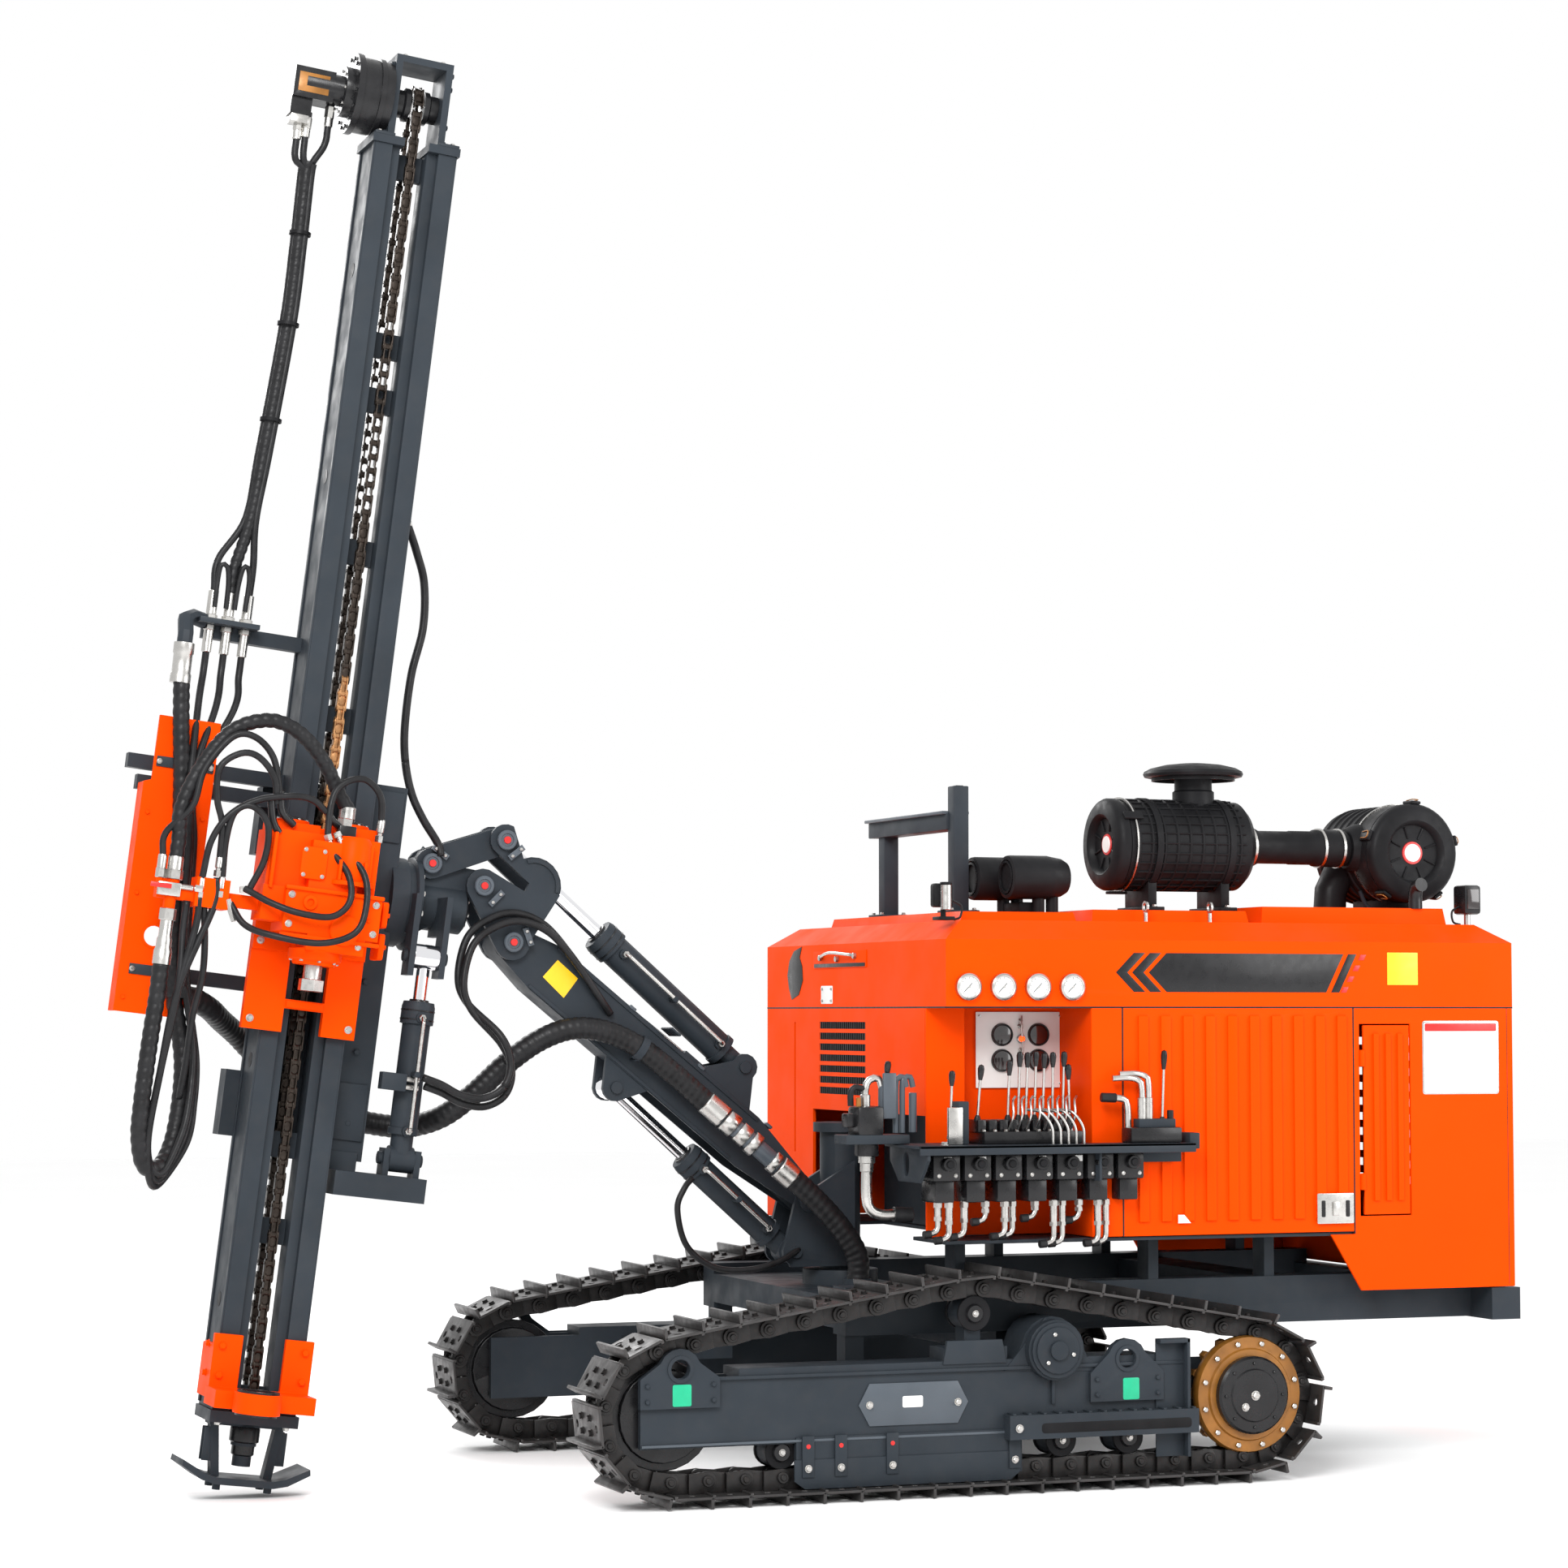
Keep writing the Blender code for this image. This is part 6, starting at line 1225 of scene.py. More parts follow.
def dress_beam_of_boom():
    """Proud edges, a yellow mark and a foot cap on each side, the valve block, its pipes and straps."""
    form = Form()
    run = (BOOM_TIP - BOOM_FOOT).normalized()
    length = (BOOM_TIP - BOOM_FOOT).length
    lean = Matrix.Translation(BOOM_FOOT) @ Matrix.Rotation(-atan2(run.z, run.x), 4, "Y")
    mark = [(1.225, 1.795), (1.169, 1.856), (1.092, 1.789), (1.146, 1.719)]
    cap = [(0, 0), (0.048, 0), (0.048, 0.009), (0.044, 0.012), (0, 0.012)]
    for side in (1, -1):
        low, high = sorted((side * BOOM_HALF, side * (BOOM_HALF + 0.006)))
        form.box(0.34, length - 0.15, low, high, 0.092, 0.106, GREY, place=lean)
        form.box(0.34, length - 0.15, low, high, -0.082, -0.070, GREY, place=lean)
        form.plate(mark, side * BOOM_HALF, side * (BOOM_HALF + PROUD), YELLOW, bevel=0.0003)
        form.turned(cap, (BOOM_FOOT.x, side * CHEEK_OUT, BOOM_FOOT.z), (0, side, 0), GREY, 28)
        form.bolt((BOOM_FOOT.x, side * (CHEEK_OUT + 0.012), BOOM_FOOT.z), (0, side, 0), 0.012)
    form.box(0.62, 0.71, -0.04, 0.05, 0.108, 0.128, GREY, place=lean)
    for y in (-0.02, 0.0, 0.02):
        form.tube([(0.70, y, 0.118), (0.76, y, 0.119), (0.83, y, 0.118), (0.90, y, 0.116)], 0.006, STEEL,
                  place=lean)
    for along in (0.28, 0.62, 0.96):
        form.box(along, along + 0.03, -0.085, 0.085, 0.104, 0.116, PALE_GREY, place=lean)
    form.box(0.80, 0.845, 0.076, 0.20, 0.12, 0.128, GREY, place=lean)
    form.piece("boom_detail", "boom")


def dress_knuckle():
    """Pin caps and rims on the knuckle's plates, and the swing shaft's flanges."""
    form = Form()
    for name, lock in (("rod", (-0.035, -0.045)), ("head", (-0.045, -0.045)), ("tip", (-0.055, 0.02))):
        pin_cap(form, PINS[name], CHEEK_OUT + 0.010, lock)
    pin_cap(form, PINS["link"], 0.081, (-0.03, 0.04))
    rim = arc(1.27, 2.12, 0.098, 75, 195, 8) + arc(1.27, 2.12, 0.084, 195, 75, 8)
    for side in (1, -1):
        form.plate(rim, side * CHEEK_OUT, side * (CHEEK_OUT + 0.007), GREY)
    form.piece("knuckle_detail", "knuckle")
    form = Form(MAST)
    form.turned([(0, 0), (0.168, 0), (0.168, 0.018), (0.160, 0.024), (0, 0.024)], (-0.392, 0, 0), FORWARD,
                GREY, 40)
    ring_of_bolts(form, (-0.394, 0, 0), 0.135, 12, BACKWARD, 0.010)
    form.turned([(0, 0), (0.085, 0), (0.085, 0.02), (0.07, 0.03), (0, 0.03)], (-0.555, 0, 0), BACKWARD, GREY,
                32)
    ring_of_bolts(form, (-0.585, 0, 0), 0.05, 6, BACKWARD, 0.009)
    form.piece("swing_shaft_detail", "knuckle")


def at(point, y=0.0):
    """A place in space for a point given in x and z."""
    return Vector((point[0], y, point[1]))


def dress_boom():
    for name in ("boom", "swing_post", "knuckle_plates", "head_link", "mast_head", "lift_barrel",
                 "pitch_barrel", "mast_swing_barrel"):
        rounded(name, GREY, 0.003)
    for name in ("lift_rod", "pitch_rod", "mast_swing_rod"):
        rounded(name, ROD, 0.001)
    dress_beam_of_boom()
    dress_knuckle()
    dress_cylinder("lift", at(LIFT_FOOT), at(LIFT_EAR), LEFT, 0.53, 0.052, 0.027, (0.13, 0.46))
    dress_cylinder("pitch", at(PITCH_FOOT), at(PINS["rod"]), LEFT, 0.725, 0.058, 0.030, (0.13, 0.62))
    swing_foot, swing_eye = Vector((-0.42, 0.17, -0.905)), Vector((-0.42, 0.17, -0.19))
    dress_cylinder("mast_swing", swing_foot, swing_eye, LEFT, 0.55, 0.050, 0.024, (0.10, 0.50), MAST)


# Mast, its feed and its foot

RAIL_OUT = 0.147
MAST_TOP = 2.66
MAST_FOOT = -1.83
FEED_Y = 0.14
FEED_Z = 2.83
BRACKET_OUT = 0.105
BRACKET_TOP = 2.985
PORTS_X = (0.356, 0.420, 0.482)
PORT_TOP = 0.99
PORT_Y = 0.11
TRAY_Y = 0.1997
SPINDLE = (0.045, 0.47)
LINK_PITCH = 0.05
RUST_FROM, RUST_TO = -0.10, 0.75
OPEN_FROM, OPEN_TO = 1.35, 2.05


def chain_link(wide, kind, open_middle=False):
    """Two side plates shaped like an eight, and the rollers at their ends."""
    form = Form(Matrix.Identity(4))
    half = LINK_PITCH / 2
    outline = arc(0, half, 0.0165, -30, 210, 7) + arc(0, -half, 0.0165, 150, 390, 7)
    for side in (1, -1):
        a, b = sorted((side * wide, side * (wide + 0.0045)))
        form.plate(outline, a, b, kind, bevel=0.0008, place=Matrix.Rotation(pi / 2, 4, "Z"))
    for z in (half, -half):
        form.bar((-wide - 0.0065, 0, z), (wide + 0.0065, 0, z), 0.0065, kind, sides=10, bevel=0.0008)
    form.bar((-wide, 0, half), (wide, 0, half), 0.0115, kind, sides=12, bevel=0.0008)
    if not open_middle:
        form.box(0.001 - wide, wide - 0.001, -0.006, 0.006, 0.009 - half, half - 0.009, kind, 0.001)
    return form


def chain_places():
    """For each chain link: whether it is wide, its height where a look depends on it, and its place."""
    radius = 0.0525
    low = -1.76
    for i in range(int((FEED_Z - low) / LINK_PITCH)):
        z = low + LINK_PITCH * (i + 0.5)
        yield i % 2 == 0, z, Matrix.Translation((0, FEED_Y + radius, z))
        yield i % 2 == 1, z if z > RUST_TO else None, Matrix.Translation((0, FEED_Y - radius, z))
    for i in range(4):
        angle = pi * (i + 0.5) / 4
        here = Vector((0, FEED_Y + radius * cos(angle), FEED_Z + radius * sin(angle)))
        yield i % 2 == 0, None, Matrix.Translation(here) @ Matrix.Rotation(angle, 4, "X")


def dress_chain():
    """Front and rear runs of the roller chain and its turn over the sprocket; rust shows on one stretch."""
    links = {}
    for wide, half_width in ((True, 0.0125), (False, 0.0075)):
        links["closed", wide] = chain_link(half_width, CHAIN).mesh("closed_link")
        links["open", wide] = chain_link(half_width, CHAIN, True).mesh("open_link")
        links["rusty", wide] = chain_link(half_width, RUSTY_CHAIN).mesh("rusty_link")
    form, rust = Form(MAST), Form(MAST)
    form.kinds.append(CHAIN)
    rust.kinds.append(RUSTY_CHAIN)
    for wide, z, place in chain_places():
        if z is not None and RUST_FROM < z < RUST_TO:
            rust.stamp(links["rusty", wide], [MAST @ place])
        else:
            look = "open" if z is not None and OPEN_FROM < z < OPEN_TO else "closed"
            form.stamp(links[look, wide], [MAST @ place])
    # Sprocket with its teeth, bushings and the tensioner's bolt at the foot
    form.turned(ring(0, 0.043, -0.006, 0.006), (0, FEED_Y, FEED_Z), FORWARD, CHAIN, 32)
    tooth = [(0.040, -0.009), (0.062, -0.003), (0.062, 0.003), (0.040, 0.009)]
    across = Matrix.Translation((0, FEED_Y, FEED_Z)) @ Matrix.Rotation(pi / 2, 4, "Z")
    for i in range(12):
        form.plate(tooth, -0.0055, 0.0055, CHAIN, place=across @ Matrix.Rotation(pi * i / 6, 4, "Y"))
    bushing = [(0, 0), (0.060, 0), (0.060, 0.018), (0.050, 0.024), (0.050, 0.052), (0, 0.052)]
    for side in (1, -1):
        form.turned(bushing, (side * 0.026, FEED_Y, FEED_Z), (side, 0, 0), GLOSS_BLACK, 28)
    form.box(-0.024, 0.024, 0.152, 0.20, -1.816, -1.745, GREY)
    form.post(0, 0.176, -1.75, -1.70, 0.010, STEEL, 12)
    form.piece("feed_chain_links", "mast", "feed_chain")
    rust.piece("feed_chain_worn_links", "mast")


def dress_feed_drive():
    rounded("feed_drive", GLOSS_BLACK, 0.004)
    form = Form(MAST)
    x = BRACKET_OUT
    ring_of_bolts(form, (x + 0.1355, FEED_Y, FEED_Z), 0.125, 14, FORWARD, 0.0075, GLOSS_BLACK)
    ring_of_bolts(form, (x + 0.1653, FEED_Y, FEED_Z), 0.074, 8, FORWARD, 0.006)
    rim = [(0.128, 0.03), (0.141, 0.032), (0.141, 0.05), (0.128, 0.052)]
    form.turned(rim, (x, FEED_Y, FEED_Z), FORWARD, GLOSS_BLACK, 48)
    form.box(x + 0.22, x + 0.33, FEED_Y + 0.048, FEED_Y + 0.0515, FEED_Z - 0.04, FEED_Z + 0.03, OCHRE, 0.001)
    form.box(x + 0.275, x + 0.34, FEED_Y - 0.03, FEED_Y + 0.034, FEED_Z - 0.150, FEED_Z - 0.118, STEEL)
    for px, pz in MOTOR_PORTS:
        form.post(px, FEED_Y, pz + 0.002, pz + 0.045, 0.0175, STEEL, 6)
        form.post(px, FEED_Y, pz - 0.03, pz + 0.004, 0.0160, STEEL, 18)
    # Bracket's bolts and the caps on the rails
    for side in (1, -1):
        form.bolts(side * BRACKET_OUT, 0.20, (2.70, 2.76, 2.90, 2.95), (side, 0, 0), 0.010, GREY)
        form.box(*sorted((side * 0.155, side * 0.082)), 0.022, 0.262, MAST_TOP + 0.018, MAST_TOP + 0.030,
                 GREY)
        form.bolts(side * 0.135, (0.05, 0.235), MAST_TOP + 0.030, UP, 0.009)
    form.bolts((-0.07, 0.07), (0.075, 0.205), BRACKET_TOP, UP, 0.009)
    form.piece("feed_drive_detail", "mast")


def dress_mast():
    """Lips and bolts on the rails, black discs that paint the shade in their slots, the plate's hose
    fittings and the clamps over the tray's hoses.
    """
    rounded("mast_rails", GREY, 0.003)
    form = Form(MAST)
    for side in (1, -1):
        for y0, y1 in ((0.03, 0.052), (0.228, 0.25)):
            form.box(*sorted((side * RAIL_OUT, side * (RAIL_OUT + 0.006))), y0, y1, MAST_FOOT + 0.02,
                     MAST_TOP, GREY, 0.002)
        for z in (-1.2, -0.9, 0.6, 1.2, 1.75, 1.95):
            form.bolts(side * 0.067, 0.15, (z - 0.02, z + 0.02), LEFT, 0.0065, GREY, washer=False)
    # Black discs paint the shade inside the rails' slots, on the camera side only
    for z in (-1.45, -0.62, 1.45, 2.2):
        form.bar((RAIL_OUT - 0.002, 0.14, z), (RAIL_OUT + 0.0012, 0.14, z), 0.026, MATT_BLACK, bevel=0.0003)
    for x in PORTS_X:
        form.post(x, PORT_Y, 0.885, 0.905, 0.024, STEEL, 6)
        form.post(x, PORT_Y, 0.848, 0.868, 0.022, STEEL, 6)
        form.post(x, PORT_Y, 0.90, PORT_TOP, 0.0185, STEEL, 18)
        form.post(x, PORT_Y, 0.77, 0.852, 0.0175, STEEL, 18)
    for z in (0.36, -0.36):
        form.box(0.42, 0.62, TRAY_Y, TRAY_Y + 0.006, z - 0.018, z + 0.018, GREY)
        form.bolts((0.43, 0.61), TRAY_Y + 0.006, z, LEFT, 0.008)
    form.piece("mast_detail", "mast")
    rounded("hose_tray", ORANGE, 0.002)
    form = Form(MAST)
    form.bolts((0.436, 0.628), TRAY_Y, (-0.46, -0.10, 0.18), LEFT, 0.0075, ORANGE, washer=False)
    form.turned(ring(0.035, 0.043, -0.002, 0.003), (0.549, TRAY_Y, -0.24), LEFT, ORANGE, 28)
    form.piece("hose_tray_detail", "mast")


def dress_guide_and_foot():
    rounded("drill_guide", ORANGE, 0.004)
    rounded("mast_foot", GREY, 0.004)
    form = Form(MAST)
    form.bolts((-0.145, 0.145), 0.275, (-1.60, -1.70), LEFT, 0.012, ORANGE)
    form.bolts(0.176, 0.20, (-1.60, -1.70), FORWARD, 0.011, ORANGE)
    x, y = SPINDLE
    form.turned(ring(0.0555, 0.072, -1.812, -1.728), (x, y, 0), UP, GLOSS_BLACK, 36)
    form.piece("drill_guide_detail", "mast")
    form = Form(MAST)
    for side in (1, -1):
        for y in (0.05, 0.24):
            form.bolt((side * 0.12, y, MAST_FOOT - 0.0303), DOWN, 0.011)
        form.box(*sorted((side * 0.112, side * 0.145)), 0.126, 0.132, -2.0, -1.885, GREY)
        form.box(*sorted((side * 0.112, side * 0.145)), 0.168, 0.174, -2.0, -1.885, GREY)
    form.turned([(0, 0), (0.049, 0), (0.052, 0.006), (0.052, 0.05), (0.046, 0.055), (0.040, 0.058),
                 (0.040, 0.095), (0.034, 0.10), (0, 0.10)], (0, 0.15, MAST_FOOT - 0.045), DOWN, GLOSS_BLACK,
                36)
    form.piece("mast_foot_detail", "mast")


def dress_cradle():
    rounded("cradle", GREY, 0.004)
    form = Form(MAST)
    form.bolts(-0.185, 0.0443, (-0.85, -0.70, 0.14, 0.30), LEFT, 0.012)
    form.bolts(-0.232, 0.11, (-0.80, -0.55, -0.30, 0.25), LEFT, 0.011, GREY)
    form.box(-0.29, -0.175, 0.11, 0.120, -0.86, -0.66, GREY)
    form.box(-0.29, -0.175, 0.11, 0.120, 0.20, 0.38, GREY)
    form.piece("cradle_detail", "cradle")
    # Block for the two hoses of the swing cylinder, on its barrel
    form = Form(MAST)
    form.box(-0.39, -0.30, 0.205, 0.255, -0.668, -0.607, GREY)
    for z in (-0.652, -0.624):
        form.bar((-0.385, 0.23, z), (-0.44, 0.23, z), 0.010, STEEL, sides=12)
    form.piece("swing_valve", "mast_swing_barrel")


# Carriage

ARM_Y = 0.45
ARCH_X = 0.556
ARM_TOP = 0.026
HEAD_TOP = 0.205
LOOP_END = (0.562, 0.46, -0.343)


def dress_sled():
    form = Form(MAST)
    form.bolts((-0.15, 0.20), 0.3, (0.165, 0.11, -0.21), LEFT, 0.011)
    form.bolts((-0.15, 0.20), 0.285, -0.48, LEFT, 0.011)
    for side in (1, -1):
        form.bolts(side * 0.165, 0.22, (0.12, -0.05, -0.28), (side, 0, 0), 0.011, ORANGE)
    form.box(-0.05, 0.08, 0.2855, 0.292, -0.428, -0.404, ORANGE)
    form.piece("sled_detail", "carriage")


def dress_gearbox(form):
    """Lips, lugs, covers and bolts of the gearbox, and the sleeve round the spindle below it."""
    x, y = SPINDLE
    sleeve = [(0.055, -0.228), (0.088, -0.228), (0.092, -0.232), (0.092, -0.262), (0.086, -0.268),
              (0.078, -0.270), (0.072, -0.282), (0.055, -0.282)]
    form.turned(sleeve, (x, y, 0), UP, ORANGE, 44)
    ring_of_bolts(form, (x, y, -0.266), 0.080, 8, DOWN, 0.007)
    form.bolts((-0.125, 0.17), 0.56, (-0.155, -0.055), LEFT, 0.010)
    form.bolts((-0.08, 0.08), 0.56, -0.205, LEFT, 0.009)
    for z0, z1 in ((-0.038, -0.024), (-0.200, -0.186)):
        form.box(-0.150, 0.195, 0.545, 0.572, z0, z1, ORANGE, 0.004)
    form.bolts((-0.105, -0.02, 0.065, 0.15), 0.5605, -0.112, LEFT, 0.006, ORANGE)
    plug = [(0, 0), (0.024, 0), (0.024, 0.010), (0.013, 0.012), (0.012, 0.004), (0, 0.004)]
    form.turned(plug, (0.105, 0.559, -0.075), LEFT, ORANGE, 28)
    cover = [(0, 0), (0.052, 0), (0.052, 0.016), (0.044, 0.022), (0, 0.022)]
    form.turned(cover, (-0.025, 0.552, -0.155), LEFT, ORANGE, 36)
    for z0, z1 in ((-0.125, -0.035), (-0.235, -0.145)):
        lug = oblong(0.39, 0.50, z0, z1, 0.012)
        form.plate(lug, -0.186, -0.166, ORANGE, bevel=0.003, place=FACING_FRONT)
        form.bolts(-0.186, (0.41, 0.48), (z0 + z1) / 2, BACKWARD, 0.009, ORANGE)


def dress_casing(form):
    """Upright motor in the casing's front, its flange, the casing's ribs and the rims of its two ports."""
    motor = [(0, 0), (0.082, 0), (0.082, 0.014), (0.064, 0.018), (0.066, 0.06), (0.062, 0.15),
             (0.050, 0.168), (0, 0.168)]
    form.turned(motor, (-0.035, 0.505, 0.0), UP, ORANGE, 40)
    ring_of_bolts(form, (-0.035, 0.505, 0.014), 0.073, 10, UP, 0.006, ORANGE)
    for x in (-0.075, 0.012):
        form.box(x, x + 0.010, 0.515, 0.572, 0.014, 0.085, ORANGE, 0.003)
    form.plate(oblong(0.062, 0.152, 0.005, 0.115, 0.018), 0.545, 0.556, ORANGE, bevel=0.004)
    form.bolts((0.074, 0.140), 0.556, (0.017, 0.103), LEFT, 0.006)
    for x in (-0.10, 0.235):
        form.box(x, x + 0.012, 0.50, 0.535, -0.04, 0.15, ORANGE)
    for x, top in ((-0.045, HEAD_TOP), (0.165, HEAD_TOP - 0.01)):
        form.post(x, 0.40, top, top + 0.012, 0.058, ORANGE)
        form.post(x, 0.40, top + 0.010, top + 0.022, 0.040, GLOSS_BLACK)
        ring_of_bolts(form, (x, 0.40, top + 0.012), 0.049, 6, UP, 0.005)


def fitting(form, at, along, radius, length, kind=STEEL):
    """A crimped hose end: hexagon, neck and sleeve, from the port outwards."""
    at, along = Vector(at), Vector(along).normalized()
    form.bar(at, at + along * length * 0.3, radius * 1.25, kind, sides=6, bevel=0.001)
    sleeve = [(0, 0), (radius * 0.8, 0), (radius * 0.8, length * 0.12), (radius * 1.1, length * 0.16),
              (radius * 1.1, length * 0.62), (radius * 0.9, length * 0.7), (0, length * 0.7)]
    form.turned(sleeve, at + along * length * 0.28, along, kind, 20)


def dress_casing_fittings(form):
    """Tees, elbows and risers on the casing."""
    form.tube([(0.229, 0.50, 0.150), (0.255, 0.505, 0.185), (0.271, 0.505, 0.254)], 0.013, GLOSS_BLACK)
    form.tube([(0.178, 0.48, 0.185), (0.228, 0.505, 0.222), (0.242, 0.505, 0.290)], 0.013, GLOSS_BLACK)
    form.tube([(0.018, 0.48, 0.200), (0.055, 0.50, 0.222), (0.077, 0.51, 0.250)], 0.013, GLOSS_BLACK)
    form.box(-0.035, 0.025, 0.465, 0.515, 0.155, 0.205, GLOSS_BLACK)
    for a, b in (((0.065, 0.520, 0.165), (0.038, 0.53, 0.097)),
                 ((0.032, 0.515, 0.178), (0.005, 0.53, 0.124)),
                 ((-0.124, 0.48, 0.165), (-0.125, 0.485, 0.245))):
        run = Vector(b) - Vector(a)
        fitting(form, a, run, 0.012, run.length / 0.98)


def dress_arm_fittings(form):
    """At the arm's end: pipe, valve with a red handle, and the fittings that stand and hang."""
    form.bar((0.49, 0.474, -0.076), (0.555, 0.474, -0.076), 0.010, STEEL)
    form.bar((0.463, 0.50, -0.076), (0.49, 0.50, -0.076), 0.013, STEEL, sides=6)
    for x, radius in ((ARCH_X, 0.0265), (ARCH_X + 0.047, 0.015)):
        form.post(x, ARM_Y, -0.053, -0.020, radius * 1.15, STEEL, 6)
        sleeve = [(0, 0), (radius, 0), (radius, 0.045), (radius * 0.92, 0.050), (0, 0.050)]
        form.turned(sleeve, (x, ARM_Y, -0.024), UP, STEEL, 24)
    form.box(0.535, 0.612, ARM_Y + 0.018, ARM_Y + 0.045, -0.112, -0.066, STEEL)
    form.box(0.569, 0.640, ARM_Y + 0.046, ARM_Y + 0.053, -0.088, -0.072, RED)
    x, y, z = LOOP_END
    sleeve = [(0, 0), (0.031, 0), (0.031, 0.045), (0.026, 0.060), (0.026, 0.085), (0.022, 0.095),
              (0.022, 0.16), (0, 0.16)]
    form.turned(sleeve, LOOP_END, UP, STEEL, 28)
    form.post(x, y, z + 0.15, z + 0.19, 0.029, STEEL, 6)
    for x, z in ((0.417, 0.034), (0.468, -0.045), (0.40, -0.035)):
        fitting(form, (x, 0.49, z - 0.06), UP, 0.0115, 0.07)
    for x, drop in ((0.323, 0.0), (0.361, 0.038)):
        form.bar((x + 0.012, 0.49, -0.06 - drop), (x - 0.02, 0.50, -0.055 - drop * 3), 0.013, STEEL, sides=6)


def dress_carriage():
    rounded("sled", ORANGE, 0.004)
    rounded("rotary_head", ORANGE, 0.008)
    rounded("spindle", STEEL, 0.002)
    dress_sled()
    form = Form(MAST)
    dress_gearbox(form)
    dress_casing(form)
    form.piece("rotary_head_detail", "carriage")
    form = Form(MAST)
    dress_casing_fittings(form)
    dress_arm_fittings(form)
    form.piece("rotary_head_fittings", "carriage")


# Hoses. Routes repeat those of the solids: mast's frame first, the air hose's in the machine's.

FEED_RADIUS = 0.023
TRAY_RADIUS = 0.030
ARCH_RADIUS = 0.026
AIR_RADIUS = 0.041
STRAND_RADIUS = 0.0125       # smaller hoses beside the large ones on the mast
HEAD_HOSE_RADIUS = 0.0115
SWING_HOSE_RADIUS = 0.0135
SIDE_HOSE_RADIUS = 0.0145
MOTOR_PORTS = ((0.408, 2.655), (0.378, 2.668), (0.302, 2.722))
FEED_ROUTE = [(0.352, 0.13, 2.56), (0.352, 0.12, 2.50), (0.345, 0.11, 2.25), (0.345, 0.11, 1.97),
              (0.370, 0.11, 1.50), (0.386, 0.11, 1.26), (PORTS_X[1], PORT_Y, 1.08),
              (PORTS_X[1], PORT_Y, PORT_TOP)]
TRAY_ROUTE = [(0.584, 0.232, 0.775), (0.584, 0.232, 0.71), (0.572, 0.236, 0.60), (0.557, 0.236, 0.48),
              (0.533, 0.236, 0.31), (0.510, 0.236, 0.09), (0.497, 0.236, -0.12), (0.484, 0.236, -0.30),
              (0.461, 0.238, -0.44)]
LOOP_ROUTE = [(0.430, 0.245, -0.55), (0.407, 0.26, -0.66), (0.404, 0.29, -0.79), (0.420, 0.33, -0.93),
              (0.461, 0.38, -1.015), (0.520, 0.42, -1.02), (0.556, 0.445, -0.93), (0.566, 0.46, -0.81),
              (0.566, 0.46, -0.62), (0.562, 0.46, -0.46), LOOP_END]
ARCH_ROUTE = [(ARCH_X, ARM_Y, ARM_TOP), (ARCH_X, ARM_Y, 0.09), (0.562, 0.455, 0.19), (0.515, 0.455, 0.335),
              (0.423, 0.45, 0.475), (0.303, 0.45, 0.53), (0.195, 0.45, 0.505), (0.095, 0.445, 0.42),
              (0.02, 0.435, 0.31), (-0.015, 0.43, 0.265), (-0.015, 0.43, HEAD_TOP)]
AIR_ROUTE = [(2.5448, 0.145, 1.7191), (2.5118, 0.145, 1.7150), (2.44, 0.09, 1.68), (2.38, 0.0, 1.64),
             (2.303, -0.09, 1.588), (2.225, -0.13, 1.515), (2.10, -0.15, 1.40), (1.98, -0.155, 1.325),
             (1.85, -0.15, 1.28), (1.70, -0.10, 1.258), (1.588, 0.0, 1.29), (1.478, 0.055, 1.374),
             (1.366, 0.09, 1.482), (1.250, 0.12, 1.567), (1.129, 0.135, 1.609), (1.002, 0.138, 1.597),
             (0.874, 0.14, 1.538), (0.747, 0.145, 1.443), (0.647, 0.155, 1.357), (0.566, 0.17, 1.285),
             (0.488, 0.195, 1.205), (0.370, 0.22, 1.107), (0.251, 0.245, 1.0), (0.15, 0.26, 0.89),
             (0.085, 0.27, 0.78), (0.085, 0.27, 0.665)]
# name, two bodies, first and last of the route's points, and two more of the route's points
AIR_HOSES = (
    ("air_hose_mast", ("mast", "cradle"), 0, 7, 0, 7),
    ("air_hose_head", ("cradle", "knuckle"), 7, 12, 9, 12),
    ("air_hose_boom", ("knuckle", "boom"), 12, 19, 12, 16),
    ("air_hose_swing", ("boom", "swing"), 19, 21, 19, 21),
    ("air_hose_rear", ("swing", "chassis"), 21, 25, 21, 25),
)
COUPLING = (19, 21)      # the stretch of the air hose that shows its coupling, a pipe with steel collars


def bending(form, name, bodies, start, end, stands_for=(), slot="hose_rubber"):
    """A piece made from the form and set in the world's frame, with the solids it stands for hidden; its
    bodies, start and end are not used.
    """
    start, end = form.place @ Vector(start), form.place @ Vector(end)
    made = bpy.data.objects.new(name, form.mesh(name))
    bpy.context.scene.collection.objects.link(made)
    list(bodies)
    tuple(start)
    tuple(end)
    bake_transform(made)
    if stands_for:
        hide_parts(*stands_for)
    return made


def shifted(route, by):
    return [tuple(Vector(p) + Vector(by)) for p in route]


def wound(form, path, radius, pitch=0.026, ridge=0.0024, travelled=0.0):
    """A hose in a spiral guard: its skin rises along a screw line."""
    def reach(turn, way):
        wave = 0.5 + 0.5 * cos(turn - 2 * pi * way / pitch)
        return radius - ridge * (1 - wave) ** 2
    return form.sweep(path, reach, RUBBER, sides=20, travelled=travelled)


